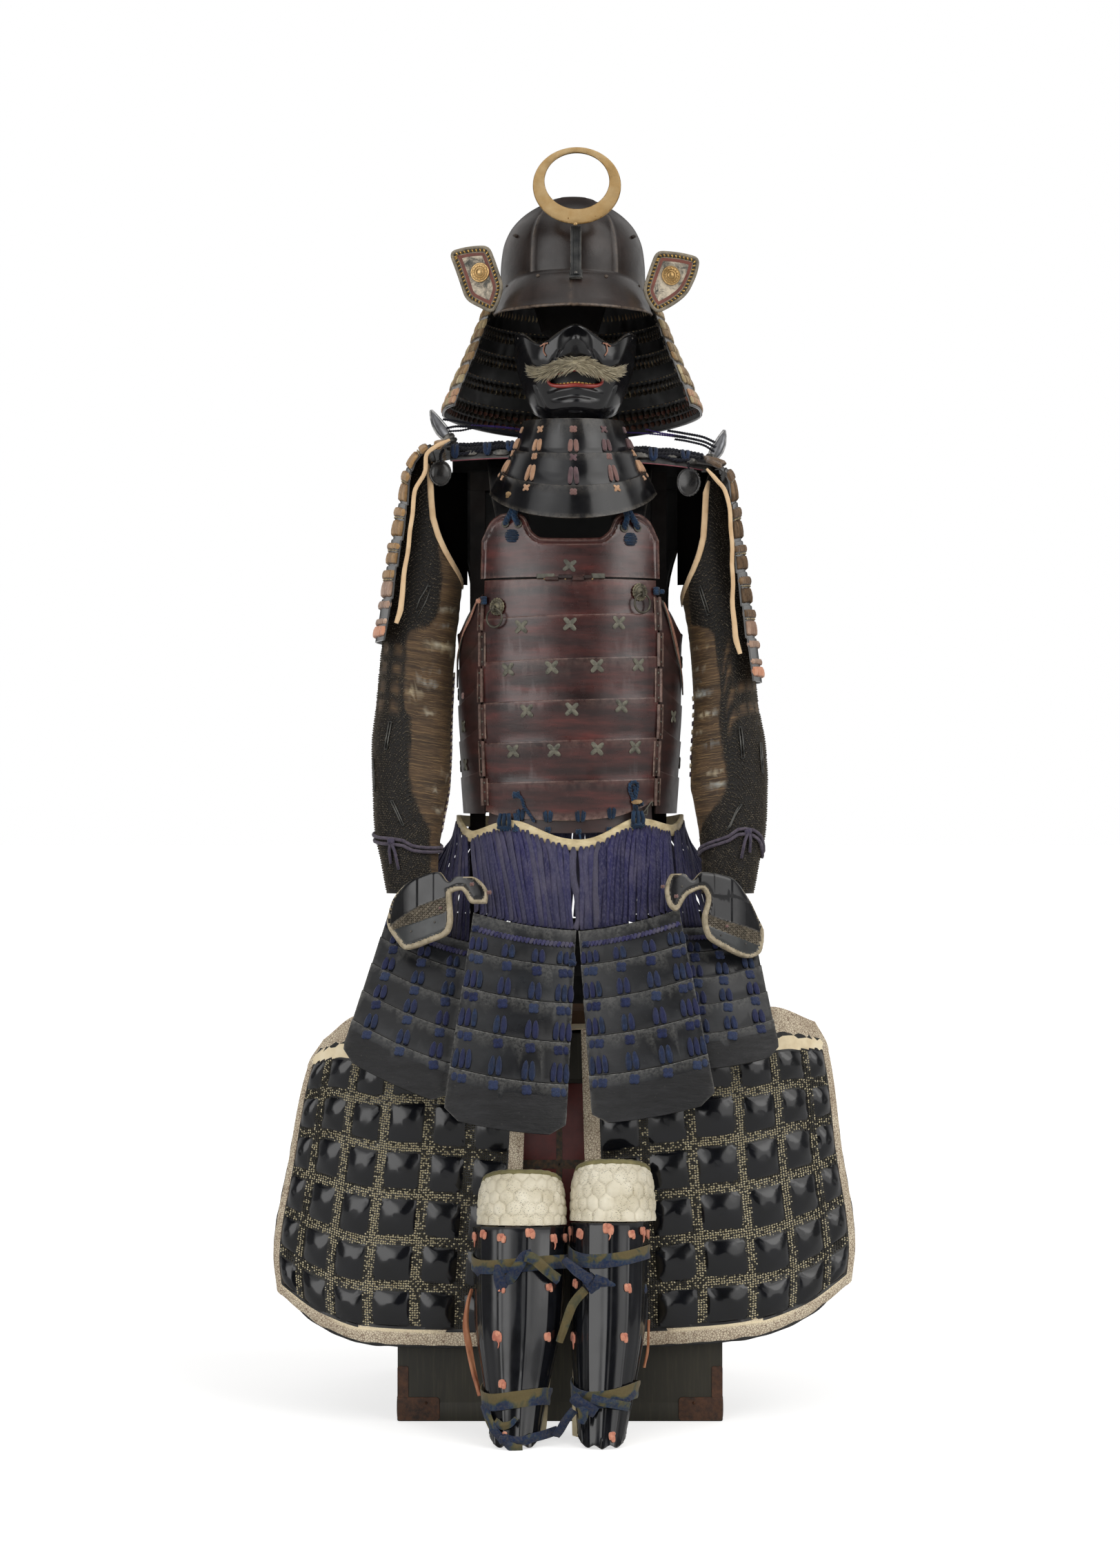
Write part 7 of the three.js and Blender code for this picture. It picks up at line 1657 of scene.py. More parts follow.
    # leather binding along the armhole
    for sg_ in (1, -1):
        ua = np.linspace(72, 179, 60) * sg_
        p, n, tu, tv = frames(f, ua, 0 * ua + 0.001, inw, 0.4, 2e-3)
        T = unit(np.gradient(p, axis=0))
        lat = np.cross(n, T)
        lat = np.where(lat[:, 2:3] > 0, -lat, lat)
        w_ = np.interp(np.arange(60), [0, 6, 50, 59], [2.6, 4.4, 4.4, 2.6])
        sweep(bag, p + lat * 3.2 + n * 1.6, w_, 8, 2, up=n, flat=0.34, mask=(0.1, 0, 0))
    # a near-black sheet that fills the armhole towards the body: painted shade
    zt_ = np.linspace(1290, 1132, 24)
    ux_ = np.linspace(0, 1, 7)
    TT, XX = np.meshgrid(ux_, zt_)
    xi_ = (-130.0 if s < 0 else 165.0) + 0 * XX
    xo_ = -np.interp(XX, [1132, 1198, 1247, 1290], [139, 166, 183, 184]) if s < 0 else np.interp(XX, [1128, 1184, 1226, 1290], [177, 192, 206, 211])
    Pg = vec(lerp(xi_, xo_, TT) + XC * 0, 14 + 3.0 * fbm(TT * 2, XX * 0.03, 3) - 4 * TT, XX)
    Ng = np.broadcast_to(np.array([0, -1.0, 0]), Pg.shape)
    shell(bag, Pg, Ng, 1.6, mat=5)
    # whip stitches down the inner seam
    vv = np.linspace(0.30, 0.80, 46) if s < 0 else np.linspace(0.34, 0.60, 10)
    put(bag, PILL, f, inw, np.full(len(vv), 173.0), vv, (1.25, 1.3, 4.2), mat=3, lift=1.2, shade=(np.arange(len(vv)) % 2) * 1.0, spin=28.0, du=0.4)
    put(bag, PILL, f, inw, np.full(len(vv), 187.0), vv, (1.25, 1.3, 4.2), mat=3, lift=1.2, shade=(np.arange(len(vv)) % 2) * 1.0, spin=-28.0, du=0.4)
    # doubled cord round the wrist with its knot
    uu = np.arange(48) * 7.5
    wv = {-1: lambda a: 0.868 + 0.016 * np.cos(rad(a - 62)), 1: lambda a: 0.872 - 0.024 * np.cos(rad(a - 110)) + 0.03 * gauss(((a + 180) % 360 - 180) - 5, 30)}[s]
    for o_ in (-0.0062, 0.0062):
        q, nn = on_surface(f, inw, np.stack([uu, wv(uu) + o_], 1), 3.6, 0.4)
        sweep(bag, q, 2.4, 8, 4, up=nn, closed=True, mask=(0, 0.25, 0))
    ku = 62 if s < 0 else 66
    c, nn = on_surface(f, inw, [(ku, float(wv(np.array(ku))))], 5.0, 0.4)
    knot_ball(bag, c[0], nn[0], 5.6, 4, 0.6)
    for du_, vv_ in ((-9, 0.05), (7, 0.062)):
        q, nn = on_surface(f, inw, [(ku, float(wv(np.array(ku)))), (ku + du_ * 0.6, float(wv(np.array(ku))) + 0.02), (ku + du_, float(wv(np.array(ku))) + vv_)], [6.0, 5.0, 3.2], 0.4)
        sweep(bag, resample(q, 12), 2.2, 7, 4, up=(0, -1, 0), mask=(0, 0.4, 0))
    trim_ob = bag.build(f"sleeve_{side_n}_trim", [MAIL, SPLINT, PEACH, STITCH, WRISTCORD, ARMHOLE_SHADE], sharp=0)

# ============================================================ shoulder straps, leaves, roundels and cords
STRAPBLACK = mottled("strap_leather", [(0.3, lin("#0e0e10")), (0.6, lin("#1c1b1c")), (0.8, lin("#2b2828"))], 60, rough=(0.38, 0.6), coat=0.15, edge=lin("#5f5a53"), dust=(lin("#4f4038"), 0.4, 220), bumps=(("noise", 160, 0.35, 0.001),)).m
HORN = mottled("leaf_metal", [(0.3, lin("#4d4e50")), (0.55, lin("#85868a")), (0.8, lin("#b4b5b7"))], 45, (1, 1, 0.4), rough=(0.28, 0.42), metallic=0.55, coat=0.2, edge=lin("#d5d5d3"), bumps=(("noise", 160, 0.2, 0.0004),)).m
PINKLINE = mottled("edge_pink", [(0.3, lin("#5f3038")), (0.7, lin("#8b5058"))], 80, rough=(0.5, 0.7)).m
NAVYBLACK = silk("cord_black", [(0.3, lin("#0a0a10")), (0.6, lin("#15151f")), (0.8, lin("#24252f"))], scale=200, sheen=0.2, tint=(lin("#0c1830"), 0.6)).m

WINGLET = {-1: dict(x=(62, 166), dz=0.0), 1: dict(x=(62, 186), dz=-6.0)}
wingT = table("v y z", (0, -70, 1303), (0.12, -67, 1313), (0.3, -48, 1321), (0.5, -5, 1325), (0.75, 38, 1320), (1, 62, 1300))


def winglet(s):
    """The padded leather wing beside the strap: u 0 inside to 1 outside, v front to back."""
    D = WINGLET[s]
    return lambda u, v: vec(XC + s * lerp(D["x"][0], D["x"][1], u), wingT["y"](v) * (1 - 0.25 * u), wingT["z"](v) + D["dz"] - (3 + 7 * (s > 0)) * u * u + 0 * v)


for s in (-1, 1):
    side_n = "left" if s < 0 else "right"
    bag = Bag()
    inw = lambda p: np.broadcast_to(np.array([0, 0.5, -1.0]), p.shape)
    f = strap(s)
    P, N, U, W_ = sheet_grid(f, np.linspace(-23, 23, 25), np.linspace(0, 1, 50), inw, 0.0, 0.4, 2e-3)
    P = P + N * (0.9 * gauss(np.abs(U) - 22, 1.6))[..., None]
    shell(bag, P, N, 5, mask=0.6 * gauss(np.abs(U) - 22.5, 1.2))
    w = winglet(s)
    P, N, U, W_ = sheet_grid(w, np.linspace(0, 1, 40), np.linspace(0, 1, 44), inw, 0.0, 5e-3, 2e-3)
    P = P + N * (0.8 * fbm(U * 9, W_ * 7, 21 + s) + 0.8 * gauss(W_ - 0.02, 0.02))[..., None]
    shell(bag, P, N, 3.4, mask=0.5 * gauss(W_ - 0.01, 0.02) + 0.4 * gauss(U - 1, 0.02))
    q, nn = on_surface(w, inw, [(0.0, 0.004), (0.5, 0.003), (0.98, 0.004)], 0.2, 5e-3, n=30)
    sweep(bag, q + [0, -0.6, -0.8], 0.9, 6, 1, up=nn)
    # bulky cords across the front of the wing, with loops
    for j_, (ua, ub, vv, r_) in enumerate(((0.10, 0.94, 0.16, 3.6), (0.30, 0.98, 0.27, 4.0), (0.05, 0.72, 0.26, 3.4), (0.45, 0.99, 0.10, 2.6))):
        t_ = np.linspace(0, 1, 26)
        uv = np.stack([lerp(ua, ub, t_), vv + 0.018 * np.sin(t_ * 9 + j_ * 2 + s)], 1)
        q, nn = on_surface(w, inw, uv, r_ * 0.8 + 1.3 * np.abs(np.sin(t_ * 8 + j_)), 5e-3)
        twisted(bag, q, r_, 10, 2, 6, 2, up=(0, -1, 0), mask=(0, 0.3 * (j_ % 2), 0))
    for u_, v_ in (((0.50, 0.16), (0.93, 0.14), (0.2, 0.2)) if s < 0 else ((0.12, 0.17), (0.42, 0.15), (0.78, 0.2))):
        for e_ in (-0.020, 0.020):
            q, nn = on_surface(w, inw, [(u_ + e_, v_ + 0.13), (u_ + e_ * 1.6, v_ + 0.05), (u_ + e_ * 1.2, v_ - 0.06), (u_, v_ - 0.095)], [4.5, 6.2, 4.0, 1.6], 5e-3)
            sweep(bag, resample(q, 14), 3.0, 8, 3, up=(0, -1, 0.2), mask=(0, 0.3, 0))
    if s > 0:                                                     # black metal slide and buckle on the right strap
        for u_, v_, sz in ((0.30, 0.12, (13, 3, 6)), (0.62, 0.16, (10, 3, 7)), (0.86, 0.10, (9, 4, 5))):
            put(bag, CAP10, w, inw, [u_], [v_], sz, mat=4, lift=1.8, du=5e-3, wear=0.6)
    else:
        put(bag, CAP10, w, inw, [0.72], [0.10], (9, 3, 4.5), mat=4, lift=1.8, du=5e-3, wear=0.6)
        put(bag, CAP10, w, inw, [0.32], [0.08], (12, 2.4, 4.5), mat=4, lift=1.6, du=5e-3, wear=0.6)
    bag.build(f"shoulder_strap_{side_n}_fine", [STRAPBLACK, PINKLINE, NAVYBLACK, BLUE, STEEL], replaces=f"shoulder_strap_{side_n}")

    # leaf ornament on its clasp, and the cords that draw the shoulder guard to the straps
    bag = Bag()
    base_, tip_ = (np.array([-155.0, -14, 1334]), np.array([-179.5, -6, 1374])) if s < 0 else (np.array([211.0, -14, 1306]), np.array([229.0, -6, 1346]))
    ax = tip_ - base_
    axu = unit(ax)
    front_ = unit(np.array([0.25 * s, -1.0, 0.15]) - axu * np.dot(axu, np.array([0.25 * s, -1.0, 0.15])))
    acr = np.cross(axu, front_)
    t_, a_ = np.linspace(0, 1, 22), np.linspace(-1, 1, 17)
    A_, T_ = np.meshgrid(a_, t_)
    hw_ = 8.6 * np.sin(np.pi * np.clip(T_, 0.02, 0.985) ** 0.62) ** 0.62 * (1 - 0.12 * T_)
    bend = 5.0 * np.sin(T_ * np.pi) * s
    P = base_ + ax * T_[..., None] + acr * (hw_ * np.sin(A_ * 1.45) + 0)[..., None] + front_ * (2.2 - hw_ * 0.75 * np.cos(A_ * 1.45) + 2.5 * T_)[..., None] - np.array([1.0, 0, 0]) * (bend * 0.5)[..., None] * -1
    Nn = unit(np.cross(np.gradient(P, axis=0), np.gradient(P, axis=1)))
    Nn = np.where((Nn * front_).sum(-1, keepdims=True) < 0, -Nn, Nn)
    shell(bag, P, Nn, 1.6, mat=0, mask=clamp(gauss(np.abs(A_) - 1, 0.12) + gauss(T_ - 1, 0.05)), inner_mat=0)
    rim_ = np.concatenate([P[:, 0], P[::-1, -1]])
    sweep(bag, resample(rim_ + front_ * -0.4, 60), 1.3, 7, 0, up=front_, mask=(0.8, 0, 0))
    stamp(bag, CAP10, base_ + axu * 1.5, [acr], [front_], [axu], mat=1, size=(10, 6, 6.5), mask=(0.7, 0, 0))
    stamp(bag, CAP10, base_ + axu * -7 + np.array([-s * -3.0, 0, 0]), [acr], [front_], [axu], mat=1, size=(13, 7, 5.5), mask=(0.5, 0, 0))
    stamp(bag, CAP10, base_ + axu * -13 + np.array([s * 1.5, -2, 0]), [acr], [front_], [axu], mat=1, size=(10, 5, 4.5), mask=(0.5, 0, 0))
    if s < 0:
        lines = [([(-163, -20, 1361), (-144, -24, 1358), (-126, -24, 1354.8), (-108, -20, 1352)], 1.9, 2), ([(-158, -20, 1348.7), (-142, -26, 1350.5), (-124, -25, 1350), (-108, -20, 1350)], 1.9, 2),
                 ([(-155, -22, 1344), (-140, -26, 1344.5), (-127, -26, 1347), (-112, -22, 1350)], 1.6, 2), ([(-124, -24, 1352.3), (-100, -20, 1351.5), (-74.5, -16, 1349.8), (-48, -6, 1347)], 1.7, 3),
                 ([(-110, -22, 1347.5), (-86, -18, 1345.5), (-62, -12, 1341.5), (-44, -6, 1338)], 1.6, 2)]
    else:
        lines = [([(119.4, -18, 1347), (138, -22, 1342), (159.8, -24, 1338.5), (176, -24, 1336)], 1.4, 3), ([(90, -6, 1344), (119.4, -18, 1341.5), (150, -22, 1338), (176, -24, 1334)], 1.3, 3),
                 ([(150, -22, 1345), (172, -26, 1341), (198, -26, 1336), (216, -20, 1329)], 2.0, 2), ([(156, -22, 1338), (176, -28, 1334.5), (200, -28, 1329), (217, -20, 1322)], 2.0, 2), ([(160, -22, 1333), (178, -28, 1329.5), (200, -28, 1324), (215, -20, 1316)], 1.8, 2)]
    for pts_, r_, m_ in lines:
        twisted(bag, resample(pts_, 26), r_, 7, 2, 5, m_, up=(0, -1, 0), mask=(0, 0.2, 0))
    # roundel that hangs over the top of the sleeve
    c_, rr_ = (np.array([-165.5, -56.0, 1282.5]), (15.5, 4.6, 18.0)) if s < 0 else (np.array([178.0, -56.0, 1270.0]), (16.5, 4.6, 20.0))
    Y_ = unit(np.array([0.10 * -s, -1.0, 0.05]))
    Z_ = unit(np.array([0, 0, 1.0]) - Y_ * Y_[2])
    X_ = np.cross(Y_, Z_)
    th = np.arange(40) / 40 * 2 * np.pi
    rings = []
    for rho, h_ in ((1.0, -1.2), (1.015, 0.0), (1.0, 1.1), (0.95, 1.5), (0.90, 1.0), (0.86, 0.9), (0.7, 2.0), (0.5, 2.9), (0.25, 3.5), (0.08, 3.65)):
        rings.append(c_ + (rr_[0] * rho * np.cos(th))[:, None] * X_ + (rr_[2] * rho * np.sin(th))[:, None] * Z_ + h_ * Y_)
    R_ = np.stack(rings)
    loft(bag, R_, 4, mask=(0.12, 0, 0), flip=bool(np.dot(np.cross(R_[3, 1] - R_[3, 0], R_[4, 0] - R_[3, 0]), Y_) > 0))
    for i_ in range(11):
        a_ = math.radians(95 + i_ * 17) if s < 0 else math.radians(85 - i_ * 17)
        stamp(bag, BLOB, c_ + X_ * rr_[0] * 0.97 * math.cos(a_) * (1 if np.dot(X_, [1, 0, 0]) > 0 else -1) + Z_ * rr_[2] * 0.97 * math.sin(a_) + Y_ * 1.2, [X_], [Y_], [Z_], mat=1, size=(1.1, 0.9, 1.1), mask=(0.8, 0, 0))
    q = resample([c_ + Z_ * rr_[2] * 0.9 + Y_ * 0.5, c_ + Z_ * (rr_[2] + 6) + Y_ * 2, c_ + Z_ * (rr_[2] + 15) + np.array([-s * 4.0, 4, 0])], 12)
    twisted(bag, q, 2.2, 7, 2, 5, 2, up=(0, -1, 0))
    bag.build(f"shoulder_fittings_{side_n}", [HORN, STEEL, NAVYBLACK, PURPLE, BLACK])

# ============================================================ hand guards
RIMHIDE = mottled("rim_hide", [(0.25, lin("#6f6551")), (0.45, lin("#978b73")), (0.62, lin("#ada088")), (0.75, lin("#666050"))], 110, rough=(0.55, 0.72), edge=lin("#6c5f4b"), dust=(lin("#5b4a39"), 0.6, 150), bumps=(("noise", 300, 0.4, 0.0007),)).m
GREYPLATE = mottled("plate_grey", [(0.3, lin("#17191a")), (0.55, lin("#282b2c")), (0.8, lin("#424645"))], 26, rough=(0.32, 0.46), coat=0.2, edge=lin("#7c7a72"), dust=(lin("#6b675e"), 0.3, 220), bumps=(("noise", 110, 0.2, 0.0006),)).m
HANDS = {-1: dict(pts=[(-163, 735), (-149, 722), (-138, 729), (-118, 729), (-96, 706), (-98, 693), (-117, 693), (-133, 711), (-146, 706), (-144, 672), (-148, 655), (-175, 640), (-207, 630), (-222, 644), (-233, 664), (-228, 690), (-214, 712), (-190, 728)],
                  rim=[0, 0, 0.5, 2.5, 5, 6.5, 6.5, 6, 6.5, 7, 7, 7, 7, 6.5, 4, 2.2, 0.5, 0],
                  ridge=([-234, -227.9, -209.3, -188.8, -158.6, -140], [657, 662, 675.5, 688.4, 699.2, 704]), strip=([-234, -222.7, -153.5, -140], [652, 657, 681.3, 686]), facets=[-212, -191, -169], brow=None, thumb=(-141, 700)),
         1: dict(pts=[(191, 735), (177, 724), (165, 733), (150, 733), (140, 710), (145, 690), (154, 683), (172, 705), (190, 712), (197, 700), (191, 672), (197, 648), (216, 634), (256, 618), (272, 626), (276, 650), (266, 675), (252, 702), (228, 728)],
                 rim=[0, 0, 1, 3.5, 6, 6.5, 6.5, 5.5, 5, 5.5, 6.5, 6.5, 6.5, 5.5, 6, 5, 1, 0.5, 0],
                 ridge=([185, 197.5, 219.3, 250.5, 273.7, 280], [681, 677.6, 669, 659.7, 650.5, 648]), strip=([185, 197.5, 268.2, 280], [667, 663.7, 634.6, 630]), facets=[206, 230, 252], brow=([190, 200, 236, 262], [703, 703, 701, 690]), thumb=(186, 700))}
for s in (-1, 1):
    D = HANDS[s]
    bag = Bag()
    poly = np.array(D["pts"], float)
    # even outline by a closed smooth curve
    m_ = len(poly)
    ext = np.concatenate([poly[-3:], poly, poly[:3]])
    sl = np.concatenate([[0], np.cumsum(np.linalg.norm(np.diff(ext, axis=0), axis=1))])
    sq = np.linspace(sl[3], sl[3 + m_], 301)[:-1]
    out = np.stack([pchip(sl, ext[:, i_])(sq) for i_ in (0, 1)], 1)
    rimw = pchip(sl, np.concatenate([D["rim"][-3:], D["rim"], D["rim"][:3]]))(sq)
    st = 1.6
    gx, gz = np.arange(poly[:, 0].min() - 2, poly[:, 0].max() + 3, st), np.arange(poly[:, 1].min() - 2, poly[:, 1].max() + 3, st)
    GX, GZ = np.meshgrid(gx, gz)
    cx_, cz_ = (GX[:-1, :-1] + st / 2), (GZ[:-1, :-1] + st / 2)

    def inside(x, z, o=out):
        r = np.zeros(x.shape, bool)
        for a_, b_ in zip(o, np.roll(o, -1, 0)):
            c_ = (a_[1] > z) != (b_[1] > z)
            with np.errstate(divide="ignore", invalid="ignore"):
                r ^= c_ & (x < (b_[0] - a_[0]) * (z - a_[1]) / (b_[1] - a_[1]) + a_[0])
        return r

    keep = inside(cx_, cz_)
    full = np.zeros(GX.shape, int)
    for i_ in (0, 1):
        for j_ in (0, 1):
            full[i_ : i_ + keep.shape[0], j_ : j_ + keep.shape[1]] += keep
    edge_v = (full > 0) & (full < 4)
    pts2 = np.stack([GX, GZ], -1)
    dist = np.full(GX.shape, 99.0)
    near = np.zeros(GX.shape + (2,))
    rw = np.zeros(GX.shape)
    for i_, (a_, w_) in enumerate(zip(out, rimw)):
        d_ = np.hypot(GX - a_[0], GZ - a_[1])
        better = d_ < dist
        dist[better], rw[better] = d_[better], w_
        near[better] = a_
    GXs, GZs = np.where(edge_v, near[..., 0], GX), np.where(edge_v, near[..., 1], GZ)
    dist = np.where(edge_v, 0, np.where(inside(GX, GZ), dist, 0))
    hx = (hand_y(GXs + 0.5, GZs) - hand_y(GXs - 0.5, GZs))
    N = unit(np.stack([hx, -np.ones_like(hx), np.full_like(hx, 0.08)], -1))
    N = np.where(N[..., 1:2] > 0, -N, N)
    ridge, strip = np.interp(GXs, *D["ridge"]), np.interp(GXs, *D["strip"])
    hand_main = (GXs < D["thumb"][0]) if s < 0 else (GXs > D["thumb"][0])
    inrim = smooth(rw - dist, -0.4, 0.4) * (rw > 0.3)
    ph = np.interp(GXs, [-300] + sorted(D["facets"]) + [300], [0, 1, 2, 3, 4]) if s > 0 else np.interp(GXs, [-300] + sorted(D["facets"]) + [0], [0, 1, 2, 3, 4])
    above = smooth(GZs - ridge, -0.8, 0.8)
    below = smooth(strip - GZs, -0.8, 0.8)
    facet = 0
    for fx in D["facets"]:
        facet = facet + 1.5 * smooth(-(GXs - fx) * s, -0.9, 0.9) * 1.0 - 1.5 * np.clip(-(GXs - fx) * s / 21.0, 0, 1)
    plate = 1.3 + 0.55 * facet
    relief = np.where(hand_main, plate * above + 1.1 * below + 0.5 * gauss(GZs - ridge, 1.2), 1.2)
    if D["brow"]:
        brow = np.interp(GXs, *D["brow"])
        relief = relief + np.where(hand_main, 0.9 * smooth(GZs - brow, -0.7, 0.7), 0)
    edge_dip = 1 - 0.8 * np.exp(-np.maximum(dist - rw, 0) / 1.6)
    tube = np.sqrt(np.clip(1 - ((dist - rw / 2) / np.maximum(rw / 2, 0.3)) ** 2, 0, 1))
    relief = lerp(relief * edge_dip, 0.8 + 2.2 * tube, inrim)
    relief = np.where(edge_v, np.where(rw > 0.6, 0.5, 0.2), relief)
    P = np.stack([GXs, hand_y(GXs, GZs), GZs], -1) + N * relief[..., None]
    wear = clamp(0.9 * gauss(GZs - ridge, 1.1) * hand_main * (1 - inrim) + 0.35 * gauss(dist - rw - 0.8, 0.9) * (rw > 0.5) + 0.25 * edge_v)
    b0 = bag.n
    cmid = lambda a_: (a_[:-1, :-1] + a_[1:, :-1] + a_[:-1, 1:] + a_[1:, 1:]) / 4
    shell(bag, P, N, relief + 3.6, mask=wear, skip=~keep, inner_mat=5)
    # material by the cell: rim, black plates, mail band, grey lower plate
    crim, cmn, crg, cst = cmid(inrim), cmid(hand_main * 1.0), cmid(ridge), cmid(strip)
    mcell = np.where(crim > 0.5, 1, np.where(cmn < 0.5, 0, np.where(cz_ + 0 > crg, 0, np.where(cz_ > cst, 2, 3))))
    ii, jj = np.nonzero(keep)
    bag.qm[-3] = mcell[ii, jj].astype(int)
    bag.qm[-1] = np.full(len(bag.q[-1]), 1)
    # links on the mail band and along the finger strip
    step_ = 3.0
    mx, mz = np.meshgrid(np.arange(poly[:, 0].min(), poly[:, 0].max(), step_), np.arange(poly[:, 1].min(), poly[:, 1].max(), step_))
    par = (np.add.outer(np.arange(mx.shape[0]), np.arange(mx.shape[1])) % 2).ravel()
    mx, mz = mx.ravel(), mz.ravel()
    dm = np.min(np.hypot(mx[:, None] - out[None, :, 0], mz[:, None] - out[None, :, 1]), 1)
    kk = inside(mx, mz) & (dm > 6.5) & (mz < np.interp(mx, *D["ridge"]) - 1.2) & (mz > np.interp(mx, *D["strip"]) + 0.8) & ((mx < D["thumb"][0]) if s < 0 else (mx > D["thumb"][0]))
    mx, mz, par = mx[kk], mz[kk], par[kk]
    spn = rad(np.where(par == 0, 40.0, -40.0))
    nrm = np.broadcast_to([0, -1.0, 0.08], (len(mx), 3))
    stamp(bag, LINK, np.stack([mx, hand_y(mx, mz) - 0.9, mz], 1), np.stack([np.cos(spn), 0 * spn, np.sin(spn)], 1), nrm, np.stack([-np.sin(spn), 0 * spn, np.cos(spn)], 1), mat=2, mask=np.stack([0 * mx, hash01(mx, mz), 0 * mx], 1), size=(2.2, 0.9, 0.75))
    if s < 0:
        kn = [((-117.6, 719), 3.4, 4), ((-94.5, 708), 3.6, 4), ((-160.0, 687), 2.4, 4)]
    else:
        kn = [((155, 703), 3.2, 4), ((224, 662), 2.4, 4), ((137, 716), 3.0, 4)]
    for (x_, z_), r_, m_ in kn:
        knot_ball(bag, np.array([x_, float(hand_y(np.array(x_), z_)) - 2.4, z_]), (0, -1, 0.1), r_, m_, 0.6)
    for x_, z_ in ([(-200, 655), (-168, 668), (-128, 719)] if s < 0 else [(216, 650), (250, 638), (163, 716)]):
        stamp(bag, DOME, np.array([x_, float(hand_y(np.array(x_), z_)) - 2.0, z_]), [[1, 0, 0]], [[0, -1, 0.08]], [[0, 0.08, 1]], mat=0, mask=(0.6, 0, 0), size=(1.5, 1.0, 1.5))
    bag.build("hand_guard_left_fine" if s < 0 else "hand_guard_right_fine", [BLACK, RIMHIDE, MAIL, GREYPLATE, MAUVE, BLACK_INSIDE_AND_SHADE], replaces="hand_guard_left" if s < 0 else "hand_guard_right")

# ============================================================ waist band and the cords that carry the tassets
HIDE = mottled("band_leather", [(0.25, lin("#a8946c")), (0.5, lin("#cdbb92")), (0.72, lin("#e0d0a9"))], 55, (1, 1, 2), rough=(0.5, 0.66), coat=0.1, edge=lin("#8c774f"), edge_noise=200, dust=(lin("#7c6743"), 0.5, 190), bumps=(("noise", 340, 0.35, 0.0006), ("noise", 60, 0.2, 0.001))).m
k = Nodes("cord_strip")
st_ = k.noise(1.0, 7, 0.7, k.coord((420, 420, 26)))
tone = k.ramp(k.attr("mask", 1), [(0.0, lin("#1c1b3c")), (0.25, lin("#25234f")), (0.5, lin("#2f2e52")), (0.75, lin("#3a3950")), (1.0, lin("#4a4754"))])
col = k.mix(k.gray(st_, [(0.46, 0), (0.66, 0.7)]), tone, lin("#57556b"))
col = k.mix(k.gray(k.noise(1.0, 5, 0.6, k.coord((30, 30, 9))), [(0.5, 0), (0.72, 0.5)]), col, lin("#686271"))
# mask.x darkens the strips towards near black: painted shade at the top under the band, and darker towards the foot
col = k.mix(k.attr("mask", 0), col, lin("#0b0b18"))
k.set(Base_Color=col, Roughness=0.72, Specular_IOR_Level=0.25, Sheen_Weight=0.25, Sheen_Tint=(0.5, 0.5, 0.8, 1), Sheen_Roughness=0.4)
k.set(Normal=k.bump(st_, 0.6, 0.0012))
STRIP = k.m
# its light edge colour marks worn edges and, on the lames' top edges, a painted highlight line
TLAC = mottled("tasset_lacquer", [(0.28, lin("#0d0d0f")), (0.5, lin("#17181b")), (0.75, lin("#25272a"))], 12, (1, 1, 2.2), rough=(0.26, 0.38), rscale=30, coat=0.12, coat_rough=0.22, spec=0.3, edge=lin("#8a8984"), edge_noise=240, dust=(lin("#77736b"), 0.35, 300),
               bumps=(("noise", 70, 0.22, 0.0008, (1, 1, 3)), ("noise", 500, 0.12, 0.0003))).m
TLEATHER = mottled("tasset_foot", [(0.28, lin("#0c0c0d")), (0.5, lin("#141416")), (0.75, lin("#222224"))], 20, (1, 1, 5), rough=(0.36, 0.5), coat=0.05, spec=0.3, edge=lin("#8b8984"), dust=(lin("#8a867c"), 0.3, 240), bumps=(("noise", 60, 0.7, 0.003, (1, 1, 4)), ("noise", 260, 0.4, 0.0008))).m
LACENAVY = silk("lace_navy", [(0.25, lin("#101a2c")), (0.5, lin("#18263f")), (0.75, lin("#26375a"))], scale=150, sheen=0.25, tint=(lin("#1f2148"), 0.8)).m
KNOTNAVY = silk("knot_navy", [(0.25, lin("#10152c")), (0.5, lin("#171f42")), (0.75, lin("#222b55"))], scale=180, sheen=0.25, tint=(lin("#33405a"), 0.6)).m
_V, _q, _t = ellipsoid(6, 6, 0.6)
BULLET = (_V * np.stack([1 - 0.38 * np.maximum(_V[:, 2], 0) ** 1.6, np.ones(len(_V)), np.ones(len(_V))], 1), _q, _t)

